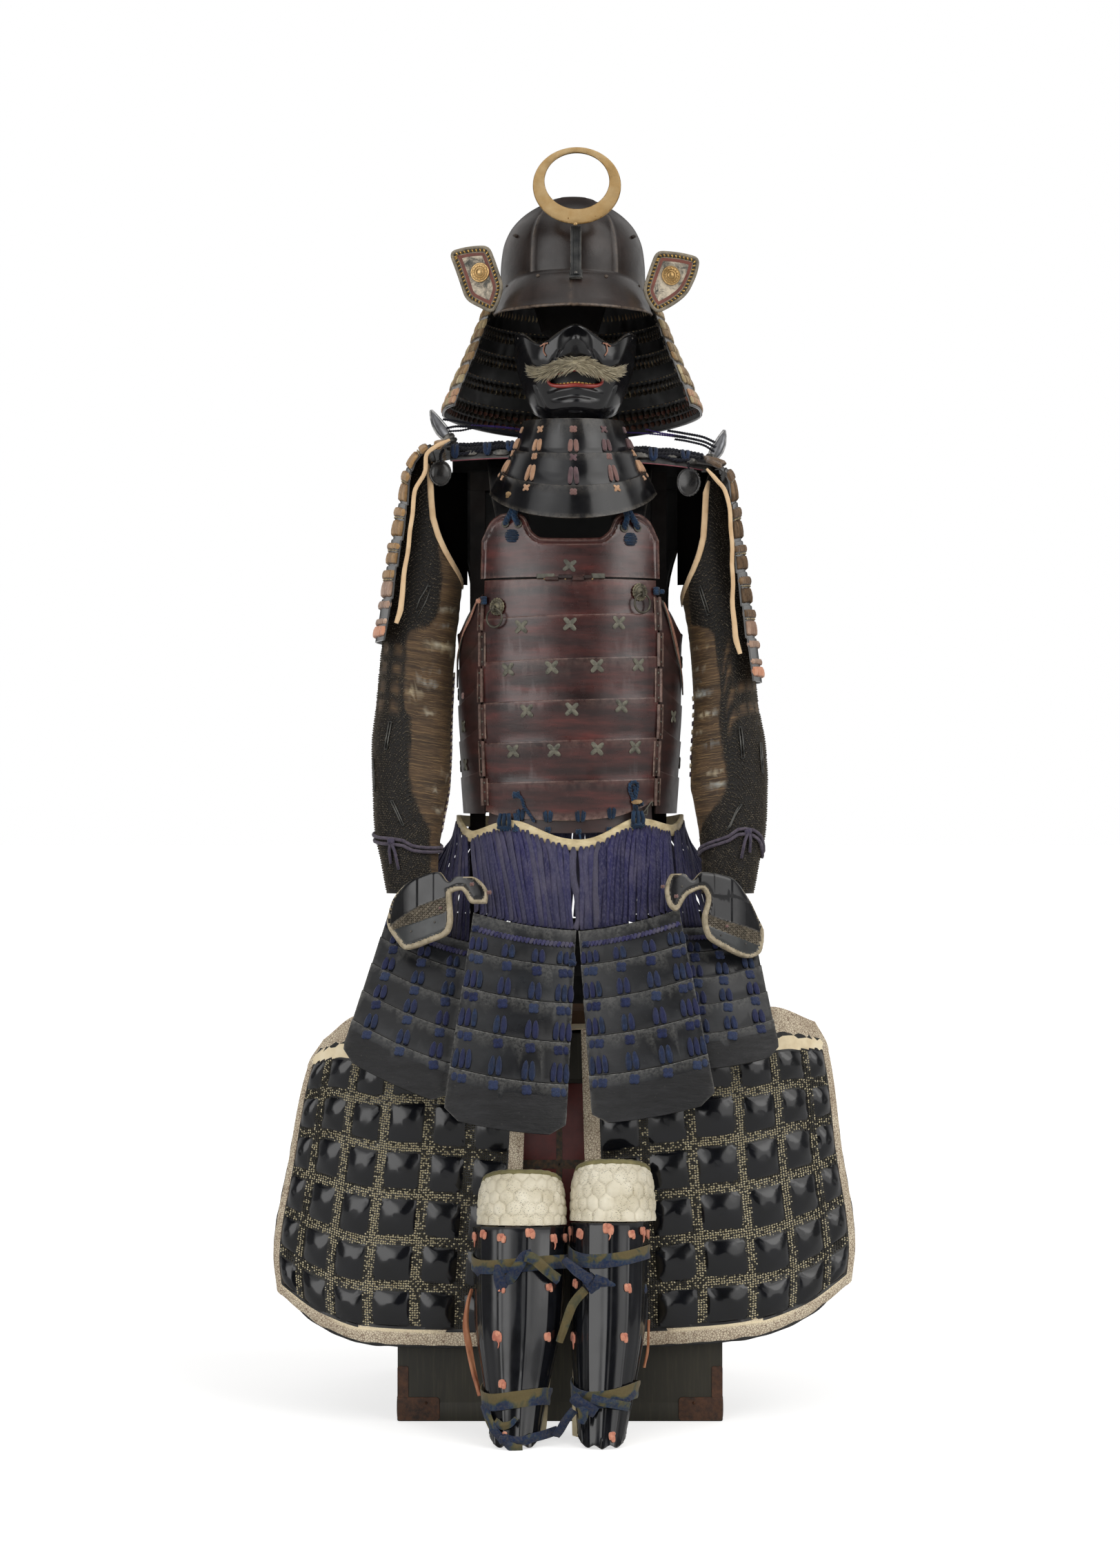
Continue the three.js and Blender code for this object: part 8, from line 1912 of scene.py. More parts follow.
bag = Bag()
us = np.arange(180) * 2.0 - 180
vs = np.array([0, 0.02, 0.07, 0.16, 0.3, 0.45, 0.6, 0.75, 0.88, 0.95, 0.985, 1.0])
bandF = lambda u, v: waist(u, bandT["z"](u) + 6.5 - 15.5 * v, 9.0 + 0 * np.asarray(u, float))
P, N, U, W_ = sheet_grid(bandF, us, vs, to_axis, 0.0, 0.4, 5e-3)
P = P + N * (np.interp(vs, [0, 0.02, 0.07, 0.16, 0.5, 0.95, 1], [-1.0, 0.2, 0.9, 0.75, 1.0, 0.3, -0.4])[:, None] + 0.25 * fbm(U * 0.08, W_ * 3, 31))[..., None]
shell(bag, P, N, 3.0, wrap=True, mask=0.5 * gauss(W_ - 1, 0.05) + 0.2 * gauss(W_, 0.05))
for a_ in (-30.5, 31.5):                                                     # cords from the cuirass tied into the band
    for e_ in (-2.2, 0.0, 2.2):
        q = waist(np.array([a_ + e_, a_ + e_ * 1.4, a_ + e_ * 0.8]), np.array([float(bandT["z"](a_)) + 16, float(bandT["z"](a_)) + 4, float(bandT["z"](a_)) - 7]), np.array([11.5, 13.5, 11.0]))
        sweep(bag, resample(q, 12), 2.9, 8, 1, up=(0, -1, 0), mask=(0, 0.3, 0))
    q = waist(np.array([a_ - 4, a_, a_ + 4]), np.array([float(bandT["z"](a_)) - 3.0] * 3), np.array([12.5, 14.0, 12.5]))
    sweep(bag, resample(q, 8), 2.6, 8, 1, up=(0, 0, 1), mask=(0, 0.3, 0))
bag.build("waist_band_fine", [HIDE, TEAL], replaces="waist_band")


def curtain(a0, a1, head):
    def f(u, v):
        a = lerp(a0, a1, u)
        top = waist(a, bandT["z"](((a + 180) % 360) - 180) - 12, 8.2 + 0 * np.asarray(u, float))
        return top + (head(u) - top) * np.asarray(v, float)[..., None]
    return f


def head_of(*spans):
    """Joins the head lines of tassets: (u end, tasset, scale, shift) for each span."""
    def h(u):
        u = np.asarray(u, float)
        out, lo = None, 0.0
        for hi, name, k_, c_ in spans:
            p = tasset(name)(np.clip((u - lo) * k_ + c_, 0, 1), 0 * u) + np.array([0, 0, 0.9])
            out = p if out is None else np.where((u >= lo)[..., None], p, out)
            lo = hi
        return out
    return h


CURTAINS = {"front": (-56, 58, head_of((0.5, "tasset_front_left", 2 * 0.985, 0.01), (1, "tasset_front_right", 2 * 0.985, 0.005)), 47),
            "left": (-112, -60, head_of((1, "tasset_side_left", 0.97, 0.015)), 19), "right": (62, 112, head_of((1, "tasset_side_right", 0.97, 0.015)), 18),
            "back": (118, 242, head_of((1 / 3, "tasset_back_right", 3 * 0.98, 0.01), (2 / 3, "tasset_back_centre", 3 * 0.98, 0.01), (1, "tasset_back_left", 3 * 0.98, 0.01)), 51)}
for nm, (a0, a1, head, count) in CURTAINS.items():
    bag = Bag()
    f = curtain(a0, a1, head)
    for i in range(count):
        r1, r2, r3, r4 = (float(hash01(np.array([i * 1.0 + 7 * count]), q_)[0]) for q_ in (1, 2, 3, 4))
        u0 = (i + 0.5 + 0.22 * (r1 - 0.5)) / count
        t_ = np.array([0.02, 0.1, 0.22, 0.38, 0.54, 0.70, 0.86, 0.998])
        sway = 0.20 / count * np.sin(t_ * (3 + 4 * r2) + 6 * r3)
        uu = np.clip(u0 + sway * (t_ > 0.05), 0.004, 0.996)
        p, n, tu, tv = frames(f, uu, t_, to_axis, 1e-3, 4e-3)
        lift = 1.1 + 1.3 * r4 + 0.7 * np.sin(t_ * 5 + 5 * r1)
        p = p + n * lift[:, None]
        a_ = lerp(a0, a1, u0)
        az = ((a_ + 180) % 360) - 180
        zt = float(bandT["z"](az))
        top = waist(np.array([a_, a_, a_]), np.array([zt - 1.0 - 3.2 * r2, zt - 2.6 - 3.2 * r2, zt - 9.0]), np.array([10.6, 11.9, 10.9 + r4]))
        q = resample(np.concatenate([top, p[1:]]), 22)
        wd = (4.5 + 0.8 * r3) * np.interp(np.arange(22), [0, 1, 2, 12, 21], [0.35, 0.8, 1.0, 1.0, 0.85])
        nn = unit(np.stack([q[:, 0] - XC, q[:, 1] * 1.1, 0 * q[:, 0]], 1))
        tilt = rad(14 * (r3 - 0.5))
        side_v = np.cross(nn, [0, 0, 1.0])
        up = nn * np.cos(tilt) + side_v * np.sin(tilt)
        violet = nm == "front" and (0.62 < u0 < 0.99 or r1 < 0.16)
        sh = (0.22 * r4 if violet else 0.30 + 0.70 * r4**1.1)
        # mask.x: painted shade, dark at the top under the band, growing darker towards the foot
        sweep(bag, q, wd, 8, 0, up=up, flat=0.34, mask=np.stack([np.interp(np.arange(22), [0, 2, 21], [0.25, 0.0, 0.35]), np.full(22, sh), np.full(22, r1)], 1))
    # no lining cord is built at the back of the row: this loop does nothing
    if nm == "front":
        for uo in (0.492, 0.508):
            pass
    bag.build(f"waist_cords_{nm}_fine", [STRIP], replaces=f"waist_cords_{nm}", sharp=0)

# ============================================================ tassets
for name, T in TASSET.items():
    bag = Bag()
    f, inw = tasset(name), in_tasset(name)
    frontal = "side" not in name
    vs, off, ed = lame_rows(0, 1, SEAMS, 2.0, per=6, lip=0.028)
    off = np.where(vs > SEAMS[-1] + 0.01, off, off)
    us = np.concatenate([[0, 0.004, 0.012], np.linspace(0.03, 0.97, 40), [0.988, 0.996, 1.0]])
    U0, W_ = np.meshgrid(us, vs)
    off_ = np.broadcast_to(off[:, None], U0.shape).copy()
    cw, ch = (0.14, 0.060) if frontal else (0.13, 0.075)
    cut = lambda v, c0: np.where(v > 1 - c0, 1 - np.sqrt(np.clip(1 - ((v - (1 - c0)) / c0) ** 2, 0, 1)), 0.0)
    inset_ = cw * cut(W_, ch) * 0.9
    U = inset_ + U0 * (1 - 2 * inset_)
    for k_ in range(5):                                                       # the bounds of every lame, not used further
        a_, b_ = ([0] + SEAMS)[k_], (SEAMS + [1])[k_]
    P, N, _, _ = frames(f, U, W_, inw, 1e-3, 2e-3)
    v4 = SEAMS[-1]
    ridge_v = lerp(v4, 1, 0.50)
    foot = smooth(W_, ridge_v - 0.004, ridge_v + 0.004) * 0.9 - 0.5 * gauss(W_ - ridge_v + 0.010, 0.006)
    crin = (0.55 * fbm(U * 5, W_ * 55, 41) * smooth(W_, v4 + 0.03, ridge_v - 0.02) + 0.25 * fbm(U * 9, W_ * 30, 43) * smooth(W_, ridge_v, ridge_v + 0.02))
    edge_roll = 0.7 * (gauss(U0, 0.006) + gauss(U0 - 1, 0.006))
    h = off_ + foot * (W_ > v4 + 0.01) + crin + edge_roll + 0.18 * fbm(U * 3, W_ * 9, 4)
    P = P + N * h[..., None]
    # mask.x: worn side edges and foot ridge, and a painted highlight line along each lame's top edge
    wear_and_highlight_edge = clamp(ed[:, None] * 0.62 + 0.35 * gauss(U0, 0.01) + 0.35 * gauss(U0 - 1, 0.01) + 0.4 * gauss(W_ - ridge_v, 0.004) * (fbm(U * 20, W_ * 4, 6) > 0))
    b_ = len(bag.qm)
    shell(bag, P, N, 2.2, mask=wear_and_highlight_edge, inner_mat=1)
    rows_c = (vs[:-1] + vs[1:]) / 2
    bag.qm[b_] = np.repeat(np.where(rows_c > v4 + 0.055, 2, 0), len(us) - 1)
    for sv in SEAMS:                                                          # a thin near-black rod above each lame's top edge: painted shade in the gap
        q, nn = on_surface(f, inw, [(0.012, sv - 0.0045), (0.25, sv - 0.0045), (0.5, sv - 0.0045), (0.75, sv - 0.0045), (0.988, sv - 0.0045)], 0.25, 1e-3, n=24)
        sweep(bag, q, 1.15, 6, 1, up=nn)
    cols = ([(0.085, 3), (0.375, 2), (0.655, 2), (0.925, 3)] if frontal else [(0.17, 2), (0.50, 2), (0.84, 2)])
    if name == "tasset_back_centre":
        cols = [(0.09, 3), (0.36, 2), (0.64, 2), (0.91, 3)]
    wdt = np.linalg.norm(f(np.array([1.0]), np.array([0.5])) - f(np.array([0.0]), np.array([0.5])))
    heads = [0.0] + SEAMS
    for k_ in range(5):
        a_, b_ = heads[k_], (SEAMS + [1.0])[k_]
        L = b_ - a_
        if k_ < 4:
            for u_, c_ in cols:
                u2 = u_ + 0.008 * (float(hash01(np.array([u_ * 10 + k_]), 3.0)[0]) - 0.5)
                hgt = (0.50 if k_ else 0.40) * L
                strands(bag, f, inw, u2, b_ - hgt, b_ - 0.004, c_, 4.7 if c_ == 2 else 4.3, 3.0, 3, 1.5 + 0.6, du=1e-3, lean=-2.4 if c_ == 2 else -1.2, tmpl=BULLET)
        if k_ > 0:
            vk = a_ + (0.205 if k_ < 4 else 0.17) * L
            for u_, c_ in cols:
                sh_ = float(hash01(np.array([u_ * 7 + k_]), 5.0)[0])
                if frontal and c_ == 3:
                    o_ = -0.040 if u_ < 0.5 else 0.040
                    put(bag, BLOB, f, inw, [u_ + o_], [vk], (4.4, 3.2, 6.2), mat=4, lift=1.8, shade=sh_, du=1e-3)
                    put(bag, BUD4, f, inw, [u_ - o_ * 0.62], [vk], (8.6, 6.2, 8.6), mat=4, lift=1.4, shade=sh_, du=1e-3, spin=6 * (sh_ - 0.5))
                    put(bag, PILL, f, inw, [u_ - o_ * 0.62], [vk], (5.6, 2.6, 5.6), mat=4, lift=1.6, shade=sh_, du=1e-3)
                else:
                    put(bag, BUD4, f, inw, [u_], [vk], (9.2, 6.2, 9.2), mat=4, lift=1.4, shade=sh_, du=1e-3, spin=(8 if frontal else 20) * (sh_ - 0.5))
                    put(bag, PILL, f, inw, [u_], [vk], (6.0, 2.8, 6.0), mat=4, lift=1.6, shade=sh_, du=1e-3)
    # the braid along the head
    nb = int(wdt * 0.93 / 5.4)
    ub = np.linspace(0.055, 0.955, nb)
    shb = hash01(ub * 31, 2.0)
    put(bag, PILL, f, inw, ub, 0.075 + 0.0 * ub, (4.7, 2.9, 2.5), mat=5, lift=1.9, shade=shb, spin=-52, du=1e-3)
    put(bag, PILL, f, inw, ub + 0.012, 0.072 + 0.0 * ub, (4.4, 2.3, 1.9), mat=5, lift=1.5, shade=1 - shb, spin=38, du=1e-3)
    ku = 0.045 if name in ("tasset_front_left", "tasset_side_left") else 0.06
    c, nn = on_surface(f, inw, [(ku, 0.075)], 3.0, 1e-3)
    knot_ball(bag, c[0], nn[0], 5.6, 4, 0.2)
    if name == "tasset_front_left":
        c, nn = on_surface(f, inw, [(0.975, 0.165)], 4.0, 1e-3)
        knot_ball(bag, c[0], nn[0], 6.2, 3, 0.1)
    bag.build(f"{name}_fine", [TLAC, BLACK_INSIDE_AND_SHADE, TLEATHER, LACENAVY, KNOTNAVY, STRIP], replaces=name)

# ============================================================ thigh guards
k = Nodes("printed_leather")
cell = k.n("TexVoronoi", {"Vector": k.coord(), "Scale": 330.0}, feature="DISTANCE_TO_EDGE").outputs["Distance"]
veins = k.gray(cell, [(0.03, 1), (0.13, 0)])
base = k.ramp(k.noise(26, 4), [(0.3, lin("#bcae97")), (0.6, lin("#d6cab2")), (0.8, lin("#e2d8c2"))])
col = k.mix(k.math("MULTIPLY", veins, 0.85), base, lin("#6d5546"))
col = k.mix(k.math("MULTIPLY", k.gray(k.noise(120, 5, 0.7), [(0.52, 0), (0.7, 1)]), 0.3), col, lin("#6f5540"))
col = k.mix(k.attr("mask", 1), col, lin("#e2d3b2"))
k.set(Base_Color=col, Roughness=0.7, Specular_IOR_Level=0.3, Normal=k.bump(cell, 0.5, 0.0008))
PEBBLE = k.m
GLOSS = mottled("lacquer_gloss", [(0.3, lin("#08090b")), (0.7, lin("#121318"))], 22, rough=(0.12, 0.22), rscale=40, coat=0.2, coat_rough=0.08, spec=0.4, edge=lin("#4a463f"), dust=(lin("#6f6a60"), 0.12, 240), bumps=(("noise", 60, 0.06, 0.0006),)).m
GOLDMAIL = mottled("mail_gold", [(0.3, lin("#a89a78")), (0.55, lin("#cfc4a2")), (0.8, lin("#ebe3c8"))], 240, rough=(0.42, 0.6), metallic=0.1, tint=(lin("#141310"), 1.0), bumps=(("noise", 900, 0.2, 0.0003),)).m
PIPING = mottled("piping_black", [(0.3, lin("#0c0c0d")), (0.7, lin("#1c1b1b"))], 80, rough=(0.55, 0.75), bumps=(("noise", 300, 0.4, 0.0008),)).m
CREAMHIDE = mottled("white_leather", [(0.25, lin("#cdb995")), (0.5, lin("#e2d2b0")), (0.78, lin("#eee2c6"))], 40, rough=(0.6, 0.75), edge=lin("#8e7a5a"), dust=(lin("#a58d69"), 0.35, 160), bumps=(("noise", 300, 0.3, 0.0006),)).m
COLB = [0.063, 0.23, 0.411, 0.60, 0.756, 0.888, 0.972]
ROWB = [0.062, 0.21, 0.369, 0.516, 0.659, 0.803, 0.934]


def row_shift(u, v0):
    out_ = np.interp(v0, ROWB, [0.076, 0.042, 0.021, 0.020, 0.026, 0.026, 0.018])
    return 0.042 * (1 - 0.4 * v0) * clamp((0.6 - u) / 0.54) + out_ * smooth(u, 0.4, 0.72) - 0.028 * (1 - v0) * smooth(u, 0.86, 1.0)


for sd in ("left", "right"):
    bag = Bag()
    f = thigh(sd)
    us = np.linspace(0, 1, 113)
    vs = np.linspace(0, 1, 139)
    P, N, U, W_ = sheet_grid(f, us, vs, in_back, 0.0, 4e-3, 4e-3)
    shift_at = lambda v: np.stack([b_ + row_shift(U, b_) for b_ in ROWB])
    RB = shift_at(0)                                                           # row boundaries at each column
    wmm = np.linalg.norm(f(U + 0.002, W_) - f(U - 0.002, W_), axis=-1) / 0.004   # mm per unit u, v
    hmm = np.linalg.norm(f(U, W_ + 0.002) - f(U, W_ - 0.002), axis=-1) / 0.004
    relief = np.zeros(U.shape)
    inpl = np.zeros(U.shape)
    for ci in range(6):
        for ri in range(6):
            gap_u = 6.4 / wmm
            gap_v = 6.4 / hmm
            ua, ub = COLB[ci] + (gap_u if ci else 1.2 / wmm), COLB[ci + 1] - (gap_u if ci < 5 else 1.2 / wmm)
            va, vb = RB[ri] + (gap_v if ri else 1.0 / hmm), RB[ri + 1] - (gap_v if ri < 5 else 1.0 / hmm)
            a = (U - (ua + ub) / 2) / ((ub - ua) / 2)
            b = (W_ - (va + vb) / 2) / ((vb - va) / 2)
            m = (np.abs(a) ** 7 + np.abs(b) ** 7) ** (1 / 7)
            aa_, bb_ = np.clip(np.abs(a), 0, 1), np.clip(np.abs(b), 0, 1)
            body = np.where(m < 1.0, 5.6 * (1 - aa_ ** 2.1) * (1 - bb_ ** 2.1) - 0.9 * gauss(np.hypot(a, b), 0.22) - 0.9 * np.minimum(aa_, bb_) ** 1.5 * gauss(aa_ - bb_, 0.16) + 1.6, 0)
            relief = np.maximum(relief, body)
            inpl = np.maximum(inpl, smooth(1.03 - m, 0, 0.04))
    main = (U > COLB[0]) & (U < COLB[-1]) & (W_ > RB[0]) & (W_ < RB[-1])
    rim_in = (U <= COLB[0])
    rim_out = (U >= COLB[-1])
    rim_foot = (W_ >= RB[-1]) & ~rim_in
    head = (W_ <= RB[0]) & ~rim_in
    d_in = np.clip(U / COLB[0], 0, 1)
    relief = np.where(rim_in, 2.6 * np.sin(np.pi * np.clip(d_in, 0.02, 0.98)) ** 0.5, relief)
    d_out = np.clip((U - COLB[-1]) / (1 - COLB[-1]), 0, 1)
    relief = np.where(rim_out, 2.4 * np.sin(np.pi * np.clip(d_out, 0.02, 0.98)) ** 0.5, relief)
    d_ft = np.clip((W_ - RB[-1]) / (1 - RB[-1]), 0, 1)
    relief = np.where(rim_foot & ~rim_out, np.maximum(3.0 * np.sin(np.pi * np.clip(d_ft, 0.02, 0.98)) ** 0.45 + 0.5 * fbm(U * 26, W_ * 30, 9), 0.1), relief)
    relief = np.where(head, 1.6 + 0.5 * fbm(U * 12, W_ * 30, 8), relief)
    P = P + N * relief[..., None]
    smoothpart = np.where(rim_foot, clamp(1.15 - np.abs(d_ft - 0.16) / 0.16) * smooth(U, 0.22, 0.4) * smooth(fbm(U * 6, d_ft * 3, 12), -0.35, 0.1), 0)
    b_ = len(bag.qm)
    shell(bag, P, N, relief + 3.6, mask=np.stack([0.25 * gauss(W_, 0.004), clamp(smoothpart), 0 * U], -1), inner_mat=6)
    uc, vc = (us[:-1] + us[1:]) / 2, (vs[:-1] + vs[1:]) / 2
    cm = lambda x: (x[:-1, :-1] * 1.0 + x[1:, :-1] + x[:-1, 1:] + x[1:, 1:]) / 4
    mc = np.where(cm(rim_in) > 0.5, 3, np.where(cm(rim_out) > 0.5, 3, np.where(cm(rim_foot) > 0.5, 3, np.where(cm(head) > 0.5, 4, np.where(cm(inpl) > 0.5, 0, 1)))))
    top_d = cm(RB[0] - W_) * 410
    mc = np.where((mc == 4) & (top_d > 17) & (top_d < 19.5), 5, np.where((mc == 4) & (top_d >= 19.5), 3, mc))
    bag.qm[b_] = mc.ravel().astype(int)
    # piping round the outer side and the foot
    q, nn = on_surface(f, in_back, [(0.992, 0.10), (0.998, 0.3), (1.0, 0.6), (0.998, 0.85), (0.975, 0.955), (0.93, 0.985), (0.85, 0.998), (0.6, 1.001), (0.3, 1.001), (0.0, 0.998)], -1.2, 4e-3, 4e-3, n=110)
    wob = 1 + 0.25 * np.sin(np.arange(110) * 0.9) * np.sin(np.arange(110) * 0.23)
    sweep(bag, q, 2.3 * wob * np.interp(np.arange(110), [0, 40, 60, 109], [0.6, 0.9, 1.25, 1.1]), 7, 5, up=nn)
    q, nn = on_surface(f, in_back, [(0.015, 0.07), (0.01, 0.3), (0.01, 0.6), (0.015, 0.99)], 0.4, 4e-3, 4e-3, n=40)
    sweep(bag, q, 1.2, 6, 3, up=nn)
    # links on the mail bands
    st_mm = 3.1
    nu_, nv_ = int(325 / st_mm), int(410 / st_mm)
    gu, gv = np.meshgrid((np.arange(nu_) + 0.5) / nu_, (np.arange(nv_) + 0.5) / nv_)
    par = (np.add.outer(np.arange(nv_), np.arange(nu_)) % 2).ravel()
    gu, gv = gu.ravel(), gv.ravel()
    gu = gu + 0.0022 * (hash01(gu * 311, gv * 97) - 0.5)
    gv = gv + 0.0022 * (hash01(gv * 311, gu * 97) - 0.5)
    wm = np.linalg.norm(f(gu + 0.002, gv) - f(gu - 0.002, gv), axis=-1) / 0.004
    hm = np.linalg.norm(f(gu, gv + 0.002) - f(gu, gv - 0.002), axis=-1) / 0.004
    RBg = np.stack([b2 + row_shift(gu, b2) for b2 in ROWB])
    du_ = np.min(np.abs(gu[None] - np.array(COLB[1:-1])[:, None]), 0) * wm
    dv_ = np.min(np.abs(gv[None] - RBg[1:-1]), 0) * hm
    ok = ((du_ < 7.6) | (dv_ < 7.6)) & (gu > COLB[0] + 0.004) & (gu < COLB[-1] - 0.004) & (gv > RBg[0] + 0.003) & (gv < RBg[-1] - 0.003)
    gu, gv, par, du_, dv_ = gu[ok], gv[ok], par[ok], du_[ok], dv_[ok]
    near_edge = np.minimum(du_, dv_)
    bright = 0.80 - 0.50 * smooth(np.abs(gu - 0.62), 0.10, 0.36) - 0.30 * smooth(gu, 0.30, 0.1) + 0.22 * fbm(gu * 9, gv * 11, 14)
    rnd = hash01(gu * 913, gv * 517)
    shade = np.where(rnd < clamp(bright + 0.12, 0.12, 0.92) * np.where(near_edge > 6.2, 0.35, 1.0), 0.25 * hash01(gu * 71, gv * 13), 0.93)
    put(bag, LINK, f, in_back, gu, gv, np.stack([np.full(len(gu), 1.75), np.full(len(gu), 1.3), np.full(len(gu), 1.25)], 1), mat=2, lift=1.0, shade=shade, spin=np.where(par == 0, 30.0, -30.0), du=4e-3, dv=4e-3)
    bag.build(f"thigh_guard_{sd}_fine", [GLOSS, BLACK_INSIDE_AND_SHADE, GOLDMAIL, PEBBLE, CREAMHIDE, PIPING, LINING], replaces=f"thigh_guard_{sd}")

bag = Bag()
pb = table("v y z", (0, -128, 525.5), (0.45, -168, 525.2), (0.8, -196, 525), (1, -207, 525.6))
beltF = lambda u, v: vec(u, pb["y"](v), pb["z"](v) + 1.2 * np.sin(0.05 * np.asarray(u, float)))
P, N, U, W_ = sheet_grid(beltF, np.linspace(-205, 215, 90), np.linspace(0, 1, 16), lambda p: np.broadcast_to(np.array([0, 0.15, -1.0]), p.shape), 0.0, 0.5, 4e-3)
P = P + N * (0.35 * fbm(U * 0.03, W_ * 4, 3))[..., None]
shell(bag, P, N, 2.3, mat=0)
belt_ob = bag.build("thigh_guard_belt_fine", [CREAMHIDE], replaces="thigh_guard_belt")

# ============================================================ shin guards, their cloth, knee pads and ties
k = Nodes("tie_cloth")
big = k.noise(26, 3, 0.5, distortion=1.5)
tint_ = k.math("ADD", big, k.math("MULTIPLY", k.math("SUBTRACT", k.attr("mask", 1), 0.5), 0.42))
col = k.ramp(tint_, [(0.40, lin("#142340")), (0.5, lin("#1f3148")), (0.55, lin("#3f4233")), (0.66, lin("#5c5135"))])
col = k.mix(k.math("MULTIPLY", k.gray(k.noise(300, 4, 0.7), [(0.4, 0), (0.7, 1)]), 0.3), col, lin("#6b6244"))
k.set(Base_Color=col, Roughness=0.85, Specular_IOR_Level=0.2, Sheen_Weight=0.15, Normal=k.bump(k.noise(520, 4, 0.6), 0.4, 0.0008))
TIE = k.m
SALMONTIE = silk("tie_salmon", [(0.3, lin("#b5705a")), (0.6, lin("#e0a083")), (0.8, lin("#edb99d"))], scale=160, sheen=0.25, tint=(lin("#9c4a42"), 0.55)).m
TANSTRIP = mottled("tan_strip", [(0.25, lin("#6b3a2a")), (0.45, lin("#a5694a")), (0.7, lin("#c08a66"))], 60, (1, 1, 0.4), rough=(0.6, 0.75), edge=lin("#d3a482"), bumps=(("noise", 300, 0.4, 0.0008),)).m
LINEN = mottled("hemp_backing", [(0.28, lin("#9a8c70")), (0.5, lin("#b8ab8c")), (0.75, lin("#cfc3a4"))], 22, rough=(0.85, 0.95), sheen=0.1, dust=(lin("#7a6c50"), 0.35, 90), bumps=(("weave", 420, 0.4, 0.0005), ("noise", 40, 0.3, 0.002))).m
OLIVEBIND = mottled("binding_olive", [(0.3, lin("#5d5737")), (0.7, lin("#8a8258"))], 60, rough=(0.8, 0.92), sheen=0.15, bumps=(("weave", 500, 0.35, 0.0005),)).m
k = Nodes("quilted_cloth")
sp = k.n("TexVoronoi", {"Vector": k.coord((1, 1, 2.6)), "Scale": 300.0}).outputs["Distance"]
spk = k.math("MULTIPLY", k.gray(sp, [(0.16, 1), (0.32, 0)]), k.gray(k.noise(42, 4, 0.6), [(0.42, 0), (0.56, 0.85)]))
col = k.mix(spk, k.ramp(k.noise(30, 4), [(0.3, lin("#c4bba3")), (0.6, lin("#dbd4c0")), (0.8, lin("#e9e4d3"))]), lin("#55524c"))
col = k.mix(k.attr("mask", 0), col, lin("#8c7f6b"))
k.set(Base_Color=col, Roughness=0.85, Specular_IOR_Level=0.2, Sheen_Weight=0.1, Normal=k.bump(k.noise(260, 5, 0.6), 0.3, 0.0008))
QUILT = k.m

SHINKNOT = {"left": [(-72, 0.048, 1.0), (-48, 0.038, 1), (-20, 0.053, 1), (11, 0.03, 1.15), (44, 0.058, 1), (72, 0.055, 0.9), (39, 0.298, 0.9), (-20, 0.303, 0.8), (-26, 0.524, 1.3), (41, 0.529, 1.0), (-21, 0.739, 1.0), (-19, 0.962, 0.9)],
            "right": [(-81, 0.038, 0.95), (-46, 0.053, 1.2), (-2, 0.028, 1.3), (31, 0.055, 0.95), (54, 0.043, 1.0), (72, 0.055, 1.0), (-57, 0.298, 1.0), (26, 0.313, 1.0), (-66, 0.554, 1.2), (23, 0.541, 1.0), (19, 0.965, 1.0)]}
RIDGES = {"left": (-52, -22, 8, 38, 68), "right": (-56, -28, -1, 27, 55)}


def tie_path(sd, which):
    lo = which == "lower"
    v0 = (0.80 if sd == "left" else 0.79) if lo else (0.19 if sd == "left" else 0.17)
    tall, out = (20.0, 4.8) if lo else (19.0, 3.6)
    ln = 277.0 if sd == "left" else 282.0
    base = shin(sd, out, False)
    def g(u, v):
        u = np.asarray(u, float)
        lift = 4 * np.sin(rad(2 * u + (30 if sd == "left" else -30)))
        w = v0 + ((np.asarray(v, float) - 0.5) * tall - lift) / ln
        p = base(u, w)
        mid = base(u * 0 + 90.0, w)[..., 1]
        y = np.where(p[..., 1] > mid, mid + (p[..., 1] - mid) * 0.88, p[..., 1])
        return vec(p[..., 0], y, p[..., 2])
    return g


def ribbon(bag, pts, width, up, mat=0, shade=0.5, n=26, thick=1.7, taper=(1, 1), wave=0.0):
    """A flat band of cloth along points, with a soft fold down its middle."""
    q = resample(pts, n)
    T = unit(np.gradient(q, axis=0))
    up = np.broadcast_to(np.asarray(up, float), q.shape)
    X = unit(np.cross(T, up))
    Y = np.cross(X, T)
    w = width / 2 * np.interp(np.linspace(0, 1, n), [0, 0.5, 1], [taper[0], 1, taper[1]])
    a_ = np.linspace(-1, 1, 11)
    fold = 0.14 * width * (0.6 * np.cos(a_ * 2.2)[None] + 0.35 * np.sin(a_[None] * 3.5 + np.arange(n)[:, None] * 0.35))
    P = q[:, None] + X[:, None] * (a_[None, :, None] * w[:, None, None]) + Y[:, None] * (fold * (w / w.max())[:, None])[..., None] + wave * Y[:, None] * np.sin(np.arange(n) * 0.8)[:, None, None]
    Nn = unit(np.cross(np.gradient(P, axis=1), np.gradient(P, axis=0)))
    Nn = np.where((Nn * Y[:, None]).sum(-1, keepdims=True) < 0, -Nn, Nn)
    shell(bag, P, Nn, thick, mat=mat, mask=np.stack([0 * P[..., 0], shade + 0 * P[..., 0], 0 * P[..., 0]], -1))


